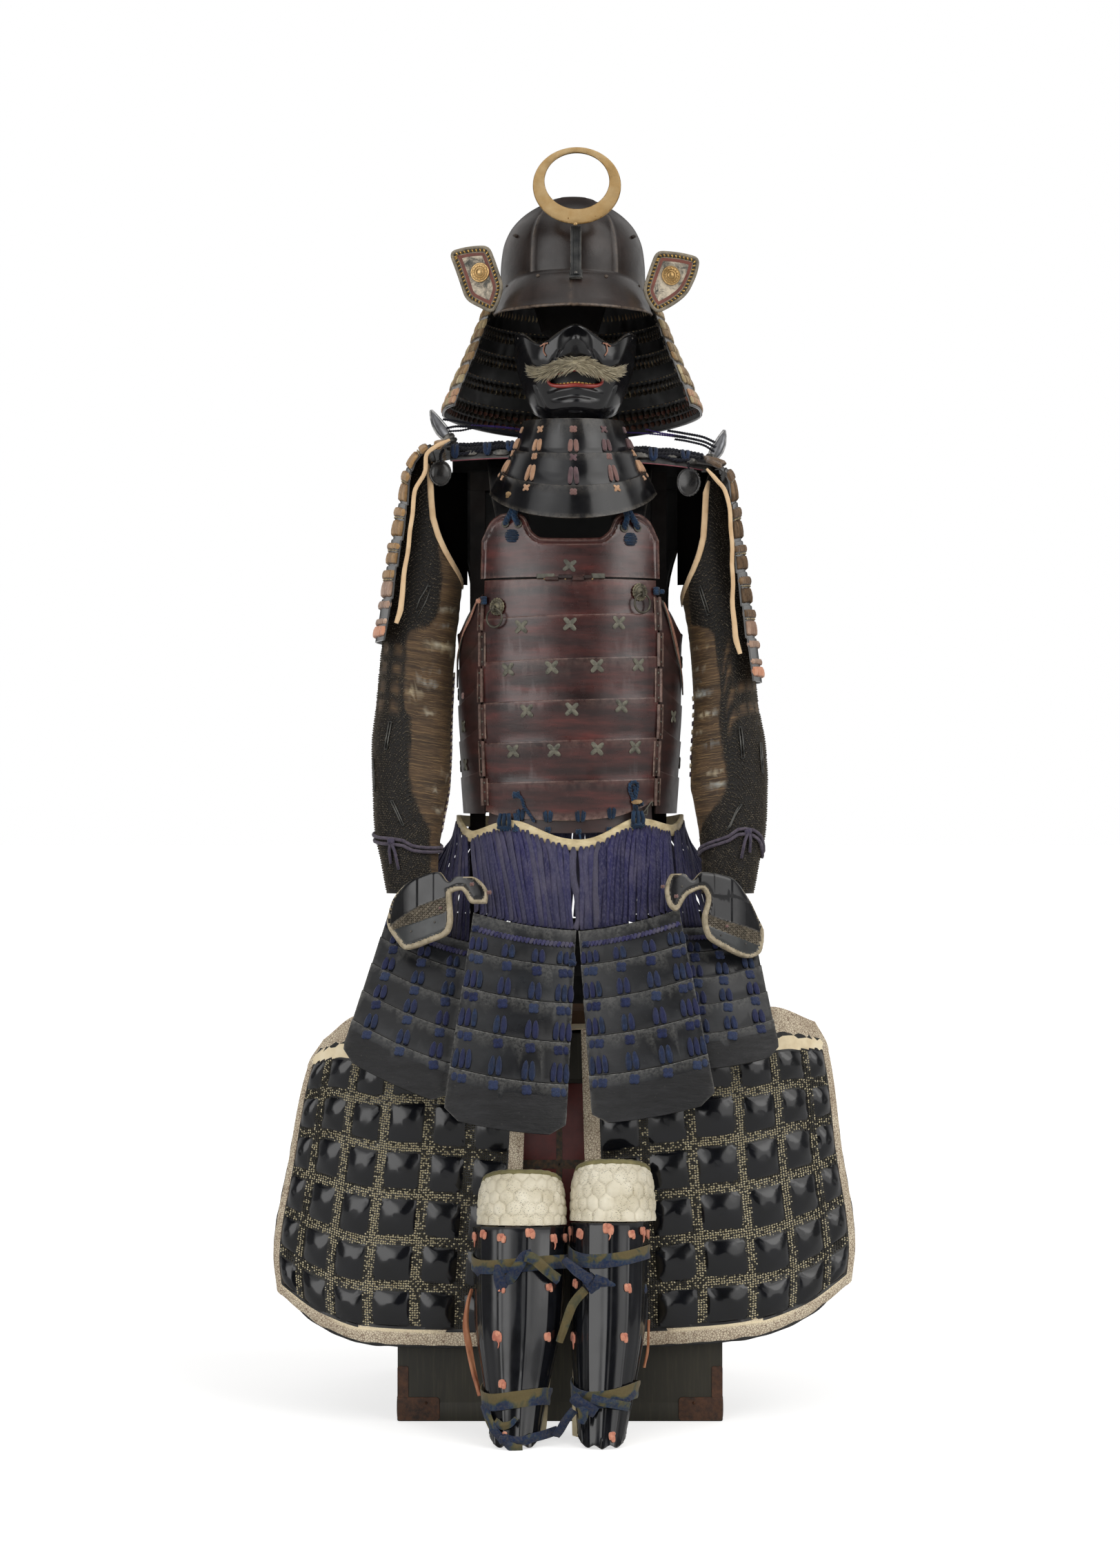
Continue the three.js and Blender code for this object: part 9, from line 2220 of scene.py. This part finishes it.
for sd in ("left", "right"):
    # ---- the lacquered splints
    bag = Bag()
    f, inw = shin(sd), in_shin(sd)
    us = np.linspace(-92, 92, 141)
    vs = np.concatenate([[0, 0.004, 0.012], np.linspace(0.03, 0.97, 60), [0.985, 0.995, 1.0]])
    P, N, U, W_ = sheet_grid(f, us, vs, inw, 0.0, 0.4, 2e-3)
    ridge = np.zeros(U.shape)
    for r_ in RIDGES[sd]:
        ridge = ridge + 0.9 * gauss(U - r_, 3.4)
        ridge = ridge + 0.0
    roll = 0.9 * gauss(W_, 0.008) + 0.9 * gauss(W_ - 1, 0.006) + 0.9 * gauss(np.abs(U) - 91, 1.2)
    P = P + N * (ridge + roll + 0.25 * fbm(U * 0.03, W_ * 5, 3))[..., None]
    shell(bag, P, N, 2.2, mask=0.5 * gauss(W_, 0.004) + 0.4 * gauss(W_ - 1, 0.004), inner_mat=1)
    for i_, (u_, v_, g_) in enumerate(SHINKNOT[sd]):
        h_ = float(hash01(np.array([i_ * 1.0]), 4.0)[0])
        put(bag, PILL, f, inw, [u_ - 2.6], [v_ - 0.002], (3.4 * g_, 2.6, 5.6 * g_), mat=2, lift=1.6, shade=h_, spin=12 * (h_ - 0.5), du=0.4)
        put(bag, PILL, f, inw, [u_ + 2.8], [v_ + 0.006], (3.2 * g_, 2.4, 5.4 * g_), mat=2, lift=1.5, shade=h_, spin=-14 * (h_ - 0.5), du=0.4)
        put(bag, BLOB, f, inw, [u_ + 0.6], [v_ - 0.012], (4.0 * g_, 2.3, 3.0 * g_), mat=2, lift=2.2, shade=1 - h_, du=0.4)
        if i_ % 4 == 0 or g_ > 1.25:
            q, nn = on_surface(f, inw, [(u_, v_ + 0.01), (u_ + 2.5, v_ + 0.035), (u_ + 1.0, v_ + 0.055)], 2.2, 0.4, n=8)
            sweep(bag, q, [1.6, 1.5, 1.3, 1.2, 1.1, 1.0, 0.8, 0.4], 6, 2, up=nn, mask=(0, h_, 0))
    if sd == "left":
        ribbon(bag, [(-115.5, -296, 192), (-121, -292, 170), (-123, -294, 147), (-119, -300, 118), (-112.5, -308, 86), (-104, -318, 57)], 9.5, (0.35, -1, 0), 3, thick=2.2, taper=(0.45, 0.6))
    else:
        ribbon(bag, [(116, -286, 150), (115.5, -292, 120), (110, -300, 90)], 3.4, (-0.3, -1, 0), 3, thick=2.0)
    bag.build(f"shin_guard_{sd}_fine", [GLOSS, BLACK_INSIDE_AND_SHADE, SALMONTIE, TANSTRIP], replaces=f"shin_guard_{sd}")

    # ---- the cloth behind
    inner = 1 if sd == "left" else -1
    spill = pchip([0, 0.42, 0.56, 0.8, 0.93, 1], [0, 1.5, 6, 9.5, 13, 14])
    base = shin(sd, -5.4, False)
    def clothF(u, v, base=base, inner=inner):
        p = base(u, v)
        return vec(p[..., 0] + inner * spill(v) * clamp((u * inner - 96) / 14), p[..., 1], p[..., 2] + 1 + 9 * v * clamp((np.abs(u) - 90) / 60))
    bag = Bag()
    P, N, U, W_ = sheet_grid(clothF, np.linspace(-150, 150, 131), np.linspace(0.04, 0.985, 64), inw, 0.0, 0.4, 2e-3)
    out_ = smooth(np.abs(U), 92, 104)
    P = P + N * (out_ * (1.0 * fbm(U * 0.07, W_ * 5, 17) + 0.45 * fbm(U * 0.2, W_ * 16, 5)) + 0.8 * gauss(np.abs(U) - 149, 1.6))[..., None]
    shell(bag, P, N, 1.7, mat=0)
    cl = bag.build(f"shin_cloth_{sd}_fine", [LINEN], replaces=f"shin_cloth_{sd}")

    # ---- knee pad, quilted in hexagons
    bag = Bag()
    f, inw = knee(sd), in_knee(sd)
    us, vs = np.linspace(-88, 88, 129), np.linspace(0, 1, 60)
    P, N, U, W_ = sheet_grid(f, us, vs, inw, 0.0, 0.4, 4e-3)
    X_, Y_ = rad(U) * 56.0, W_ * 66.0
    s_ = 17.5
    def hexd(x, y):
        best = np.full(x.shape, 9e9)
        second = best.copy()
        r_ = s_ * 0.8660
        for j_ in range(-1, 7):
            for i_ in range(-7, 8):
                cx, cy = (i_ + 0.5 * (j_ % 2)) * s_ + 1.5 * np.sin(i_ * 2.1 + j_), j_ * r_ + 1.2 * np.cos(i_ + j_ * 1.7)
                d = np.hypot(x - cx, y - cy)
                second = np.where(d < best, best, np.minimum(second, d))
                best = np.minimum(best, d)
        return second - best
    hd = hexd(X_, Y_)
    puff = 2.6 * (1 - np.exp(-hd / 3.0)) - 1.1 + 0.9 * fbm(U * 0.09, W_ * 5, 31) + 0.45 * fbm(U * 0.3, W_ * 16, 33)
    edge_ = clamp(np.minimum(W_ / 0.07, (88 - np.abs(U)) / 5.0))
    P = P + N * ((puff + 0.35 * fbm(U * 0.14, W_ * 9, 3)) * smooth(edge_, 0, 1) + 0.2)[..., None]
    shell(bag, P, N, 7 * np.sqrt(np.clip(np.minimum(1, np.minimum(W_, 1 - W_) / 0.05 + 0.25), 0, 1)), mask=np.stack([clamp(0.62 * np.exp(-hd / 0.7) * (0.6 + 0.8 * fbm(U * 0.2, W_ * 9, 7))), 0 * U, 0 * U], -1))
    q, nn = on_surface(f, inw, [(-88, 0.45), (-87, 0.2), (-83, 0.05), (-70, -0.004), (-45, -0.008), (0, -0.008), (45, -0.008), (70, -0.004), (83, 0.05), (87, 0.2), (88, 0.45)], -1.6, 0.4, 4e-3, n=90)
    sweep(bag, q + 0.3 * np.sin(np.arange(90) * 0.9)[:, None], 4.0 * np.interp(np.arange(90), [0, 12, 78, 89], [0.35, 1, 1, 0.35]), 9, 1, up=nn, flat=1.0)
    kp = bag.build(f"knee_pad_{sd}_fine", [QUILT, OLIVEBIND], replaces=f"knee_pad_{sd}", sharp=60)

    # ---- ties
    for which in ("upper", "lower"):
        g = tie_path(sd, which)
        bag = Bag()
        us = np.arange(96) * 3.75
        P, N, U, W_ = sheet_grid(g, us, np.linspace(0, 1, 13), inw if False else (lambda p, t=SHIN[sd], w_=which: vec(float(t["x"](0.19 if w_ == "upper" else 0.8)) - p[..., 0], float(t["y"](0.19 if w_ == "upper" else 0.8)) - p[..., 1], 0)), 0.0, 0.4, 4e-3)
        crease = 0.9 * np.sin(W_ * 9 + 1.2 * np.sin(rad(U) * 2)) * (0.5 + 0.5 * np.cos(rad(U) * 3 + 1)) + 0.5 * fbm(U * 0.05, W_ * 3, 23)
        P = P + N * (crease * 0.7)[..., None]
        shell(bag, P, N, 1.8, wrap=True, mask=np.stack([0 * U, clamp(0.35 + 0.6 * smooth(W_, 0.75, 0.35) * (0.5 + 0.5 * np.sin(rad(U) + (0.5 if sd == "right" else 2.4)))), 0 * U], -1))
        tie_ob = bag.build(f"shin_tie_{which}_{sd}_fine", [TIE], replaces=f"shin_tie_{which}_{sd}")
        bag = Bag()
        if (sd, which) == ("left", "upper"):
            ribbon(bag, [(-87, -322, 219), (-80, -333, 213), (-66, -340, 212), (-54, -338, 216)], 17, (0.1, -1, 0.1), 0, 0.75, n=18, thick=1.8)
            ribbon(bag, [(-77, -334, 229), (-79, -343, 217), (-76, -344, 203), (-70, -337, 194)], 15, (0, -1, 0), 0, 0.15, n=16, thick=2.2)
            ribbon(bag, [(-72, -340, 206), (-62, -346, 216), (-53, -348, 231), (-45, -346, 242), (-36, -345, 244)], 15, (0.3, -1, 0.2), 0, 0.25, n=20, thick=2.0)
            ribbon(bag, [(-45, -348, 243), (-36, -350, 241), (-24, -348, 231), (-12, -342, 219), (-1, -334, 210)], 14, (0.3, -1, 0.2), 0, 0.8, n=20, thick=1.8)
            ribbon(bag, [(-112, -300, 224), (-104, -312, 217), (-92, -324, 207), (-78, -336, 205)], 15, (-0.3, -1, 0), 0, 0.4, n=16, thick=1.8)
        elif (sd, which) == ("right", "upper"):
            ribbon(bag, [(32, -330, 217), (37, -340, 211), (45, -341, 200), (50, -336, 192)], 17, (0, -1, 0), 0, 0.2, n=16, thick=2.2)
            ribbon(bag, [(5, -328, 236), (14, -336, 229), (26, -342, 220), (40, -343, 210)], 14, (0.2, -1, 0.3), 0, 0.15, n=18, thick=1.9, taper=(0.7, 1))
            ribbon(bag, [(44, -342, 212), (58, -342, 207), (76, -338, 201), (96, -326, 196), (113, -306, 193)], 14, (0.2, -1, 0), 0, 0.2, n=20, thick=1.8)
            ribbon(bag, [(33, -338, 198), (24, -341, 189), (16, -343, 178), (9, -343, 160), (3, -342, 142), (-1, -341, 130)], 12, (0.1, -1, 0.1), 0, 0.82, n=24, thick=1.6, taper=(1, 0.8), wave=0.5)
        elif (sd, which) == ("left", "lower"):
            ribbon(bag, [(-99, -350, 52), (-94, -364, 40), (-86, -376, 26), (-74, -382, 12)], 11, (-0.3, -1, 0), 0, 0.45, n=18, thick=1.8)
            ribbon(bag, [(-74, -384, 15), (-62, -386, 12), (-50, -384, 11), (-34, -376, 14), (-16, -362, 16), (-3, -350, 18)], 12, (0.1, -1, 0), 0, 0.2, n=22, thick=1.8)
            ribbon(bag, [(-84, -372, 34), (-74, -382, 30), (-64, -386, 33), (-56, -386, 41)], 10, (0, -1, 0), 0, 0.7, n=14, thick=1.8, taper=(1, 0.6))
            ribbon(bag, [(-72, -386, 16), (-62, -389, 5), (-54, -388, -4 + 7), (-48, -386, 3)], 12, (0, -1, 0.2), 0, 0.6, n=14, thick=1.8, taper=(1, 0.7))
            knot_ball(bag, np.array([-72.0, -385.0, 13.0]), (0, -1, 0), 7.0, 0, 0.2)
        else:
            ribbon(bag, [(16, -372, 66), (24, -382, 60), (36, -386, 54), (46, -384, 47)], 15, (0, -1, 0), 0, 0.15, n=16, thick=2.0)
            ribbon(bag, [(40, -386, 66), (54, -386, 62), (72, -378, 57), (90, -360, 50)], 12, (0.1, -1, 0), 0, 0.6, n=18, thick=1.8)
            ribbon(bag, [(18, -380, 50), (8, -378, 37), (0, -370, 22), (-6, -358, 12)], 11, (0.1, -1, 0), 0, 0.2, n=18, thick=1.8)
            ribbon(bag, [(28, -386, 56), (30, -388, 46), (27, -386, 34)], 13, (0, -1, 0), 0, 0.7, n=12, thick=1.8, taper=(1, 0.7))
        kn = bag.build(f"shin_tie_{which}_{sd}_knot", [TIE])

# ============================================================ the armour box
k = Nodes("box_lacquer")
n1 = k.noise(9, 5, 0.6, k.coord((1, 1, 0.35)))
col = k.ramp(n1, [(0.3, lin("#1d1c17")), (0.5, lin("#2b2921")), (0.75, lin("#39352a"))])
fibre = k.noise(1.0, 6, 0.7, k.coord((260, 260, 14)))
col = k.mix(k.math("MULTIPLY", k.gray(fibre, [(0.5, 0), (0.7, 1)]), 0.35), col, lin("#4a4436"))
col = k.mix(k.math("MULTIPLY", k.gray(k.noise(34, 8, 0.75), [(0.66, 0), (0.74, 1)]), 0.5), col, lin("#6b4a2c"))
col = k.mix(k.math("MULTIPLY", k.attr("mask", 0), k.gray(k.noise(160, 5), [(0.4, 0), (0.62, 1)])), col, lin("#8a5a35"))
k.set(Base_Color=col, Roughness=k.n("MapRange", {"Value": n1, "From Min": 0.3, "From Max": 0.7, "To Min": 0.5, "To Max": 0.62}).outputs[0], Specular_IOR_Level=0.35, Coat_Weight=0.08, Coat_Roughness=0.35)
k.set(Normal=k.bump(fibre, 0.12, 0.0006))
BOXLAC = k.m
RUSTY = mottled("box_fitting", [(0.28, lin("#221b17")), (0.5, lin("#30251f")), (0.75, lin("#4a3227"))], 34, rough=(0.55, 0.72), metallic=0.35, edge=lin("#8a5a3c"), dust=(lin("#6b4229"), 0.4, 90), bumps=(("noise", 200, 0.4, 0.0006),)).m
REDPANEL = mottled("red_panel", [(0.3, lin("#4b1310")), (0.55, lin("#681f19")), (0.8, lin("#7d2c22"))], 14, (1, 1, 0.5), rough=(0.36, 0.5), coat=0.2, coat_rough=0.25, edge=lin("#2a1210"), dust=(lin("#2a1512"), 0.6, 60), bumps=(("noise", 200, 0.15, 0.0005),)).m


def rrect(w, d, r, n=7):
    a = np.linspace(0, np.pi / 2, n)
    pts = []
    for sx, sy, a0 in ((1, 1, 0), (-1, 1, 90), (-1, -1, 180), (1, -1, 270)):
        t = a + math.radians(a0)
        pts.append(np.stack([sx * (w / 2 - r) + r * np.cos(t), sy * (d / 2 - r) + r * np.sin(t)], 1))
    return np.concatenate(pts)


def rings_of(levels, w, d, r):
    """levels: (z, how much smaller all round)."""
    return np.stack([np.concatenate([rrect(w - 2 * s, d - 2 * s, max(r - s * 0.3, 0.8)), np.full((28, 1), z)], 1) for z, s in levels])


bag = Bag()
lv = [(0.0, 1.6), (0.4, 0.6), (1.6, 0.0), (24.0, 0.0), (24.8, 0.5), (26.0, 0.5), (120, 0.5), (240, 0.5), (360, 0.5), (456, 0.5), (471, 0.5), (472, 1.2)]
loft(bag, rings_of(lv, 436, 400, 3.0), 0, mask=np.repeat(np.array([0.9, 0.9, 0.6, 0.1, 0.5, 0.1, 0, 0, 0, 0, 0, 0])[:, None] * [[1.0, 0, 0]], 28, 0) if False else None, cap=True, flip=True)
# thin rounded plates laid on the walls, for the corner fittings
def plate(bag, x0, x1, z0, z1, y, t, mat, r=4.0, n=8, nx=10, nz=8, notch=0.0):
    """A thin rounded plate on a wall that faces -Y."""
    a = np.linspace(0, np.pi / 2, n)
    o = []
    for sx, sz, a0 in ((1, 1, 0), (-1, 1, 90), (-1, -1, 180), (1, -1, 270)):
        th = a + math.radians(a0)
        o.append(np.stack([(x0 + x1) / 2 + sx * ((x1 - x0) / 2 - r) + r * np.cos(th), (z0 + z1) / 2 + sz * ((z1 - z0) / 2 - r) + r * np.sin(th)], 1))
    o = np.concatenate(o)
    c = np.array([(x0 + x1) / 2, (z0 + z1) / 2])
    rg = []
    for s, h in ((1.0, -0.3), (1.0, t * 0.6), (0.985, t), (0.6, t * 1.02), (0.2, t * 1.03)):
        q = c + (o - c) * s
        rg.append(np.stack([q[:, 0], np.full(len(q), y - h), q[:, 1]], 1))
    R_ = np.stack(rg)
    g = np.cross(R_[2, 1] - R_[2, 0], R_[3, 0] - R_[2, 0])
    loft(bag, R_, mat, mask=(0.25, 0, 0), flip=bool(g[1] < 0))


for sx in (-1, 1):
    xa, xb = (-217.6, -161) if sx < 0 else (158.7, 217.6)
    plate(bag, xa, xb, 1.2, 32.5, -200.0, 1.0, 1, r=5)
    xa, xb = (-217.6, -203) if sx < 0 else (203, 217.6)
    plate(bag, xa, xb, 30.5, 74, -200.0, 0.7, 1, r=3)
for sx in (-1, 1):                                                          # the same fittings turned on to the sides
    for s_y in (-1, 1):
        bx = [sx * 218.2, s_y * 172.0, 16.5]
        stamp(bag, PILL, [bx], [[1, 0, 0]], [[0, 1, 0]], [[0, 0, 1]], mat=1, size=(1.2, 27, 15.5), mask=(0.2, 0, 0))
        stamp(bag, DOME, [[sx * 160.0 * 1.12, -201.2, 25.0]], [[1, 0, 0]], [[0, 1, 0]], [[0, 0, 1]], mat=1, size=(2.0, 1.2, 2.0), mask=(0.6, 0, 0))
# a plain red field with dark bands on the front
plate(bag, -118, 112, 262, 452, -199.8, 1.0, 2, r=10)
for x0_, x1_, z0_, z1_ in ((-5, 3, 264, 450), (-116, 110, 338, 350)):
    plate(bag, x0_, x1_, z0_, z1_, -200.7, 0.7, 0, r=2.0)
bag.build("box_body_fine", [BOXLAC, RUSTY, REDPANEL], replaces="box_body")

bag = Bag()
lv = [(458.2, 1.2), (459, 0.2), (460.5, 0.0), (500, 0.0), (512, 0.0), (517, 0.7), (519.4, 2.4), (520, 5.0)]
loft(bag, rings_of(lv, 450, 414, 5.0), 0, flip=True)
for sx in (-1, 1):
    plate(bag, min(sx * 224.6, sx * 176), max(sx * 224.6, sx * 176), 488, 517, -207.0, 1.0, 1, r=5)
bag.build("box_lid_fine", [BOXLAC, RUSTY], replaces="box_lid")

# ============================================================ floor, light
floor = bpy.data.meshes.new("floor")
floor.from_pydata([(-40, -40, 0), (40, -40, 0), (40, 40, 0), (-40, 40, 0)], [], [(0, 1, 2, 3)])
floor_ob = bpy.data.objects.new("floor", floor)
bpy.context.scene.collection.objects.link(floor_ob)
fm = Nodes("floor_white")
fm.set(Base_Color=(0.62, 0.62, 0.62, 1), Roughness=1.0, Specular_IOR_Level=0.0, Emission_Color=(1, 1, 1, 1),
       Emission_Strength=fm.n("MapRange", {"Value": fm.n("LightPath").outputs["Is Camera Ray"], "To Min": 0.03, "To Max": 0.60}).outputs[0])
floor.materials.append(fm.m)
floor_ob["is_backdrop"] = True

world = bpy.data.worlds.new("studio")
bpy.context.scene.world = world
world.use_nodes = True
wt = world.node_tree
wt.nodes.clear()


def wn(kind, **props):
    nd = wt.nodes.new("ShaderNode" + kind)
    for k_, v_ in props.items():
        setattr(nd, k_, v_)
    return nd


def lobe(d, lo, hi, gain):
    """A soft window of light round a direction."""
    dot = wn("VectorMath", operation="DOT_PRODUCT")
    wt.links.new(geo.outputs["Generated"], dot.inputs[0])
    dot.inputs[1].default_value = tuple(unit(np.array(d, float)))
    mr = wn("MapRange", interpolation_type="SMOOTHSTEP")
    wt.links.new(dot.outputs["Value"], mr.inputs[0])
    mr.inputs[1].default_value, mr.inputs[2].default_value, mr.inputs[3].default_value, mr.inputs[4].default_value = lo, hi, 0.0, gain
    return mr.outputs[0]


geo = wn("TexCoord")
parts_ = [lobe((-0.64, -0.75, 0.16), 0.86, 0.95, 2.0), lobe((0.74, -0.66, 0.14), 0.87, 0.95, 1.7), lobe((0, -0.1, 1), 0.70, 0.97, 1.15),
          lobe((-0.7, 0.7, 0.4), 0.8, 0.97, 0.7), lobe((0.7, 0.7, 0.4), 0.8, 0.97, 0.7), lobe((-1, 0.0, 0.15), 0.9, 0.98, 0.15), lobe((1, 0.0, 0.15), 0.9, 0.98, 0.15)]
total = parts_[0]
for q_ in parts_[1:]:
    ad = wn("Math", operation="ADD")
    wt.links.new(total, ad.inputs[0])
    wt.links.new(q_, ad.inputs[1])
    total = ad.outputs[0]
ad = wn("Math", operation="ADD")
wt.links.new(total, ad.inputs[0])
ad.inputs[1].default_value = 0.045
bg1, bg2, mx, lp, out = wn("Background"), wn("Background"), wn("MixShader"), wn("LightPath"), wn("OutputWorld")
wt.links.new(ad.outputs[0], bg1.inputs["Strength"])
bg1.inputs["Color"].default_value = (1, 0.99, 0.975, 1)
bg2.inputs["Color"].default_value = (1, 1, 1, 1)
bg2.inputs["Strength"].default_value = 1.0
wt.links.new(lp.outputs["Is Camera Ray"], mx.inputs[0])
wt.links.new(bg1.outputs[0], mx.inputs[1])
wt.links.new(bg2.outputs[0], mx.inputs[2])
wt.links.new(mx.outputs[0], out.inputs[0])


def sun(name, d, energy, angle, colour=(1, 1, 1)):
    l = bpy.data.lights.new(name, "SUN")
    l.energy, l.angle, l.color = energy, math.radians(angle), colour
    o = bpy.data.objects.new(name, l)
    from mathutils import Vector
    o.rotation_euler = Vector(d).to_track_quat("Z", "Y").to_euler()
    o.location = Vector(d) * 5
    bpy.context.scene.collection.objects.link(o)


sun("key", (1.05, -0.62, 0.95), 1.15, 50, (1, 0.985, 0.96))
sun("fill", (-0.8, -1.1, 0.6), 0.7, 60)
bpy.context.scene.view_settings.view_transform = "Standard"

{"cad": CAD_BOX, "visual": [[float(c) for c in p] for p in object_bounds()]}
print("pieces", sum(n for _, n in PIECES), sorted(PIECES, key=lambda q: -q[1])[:12])
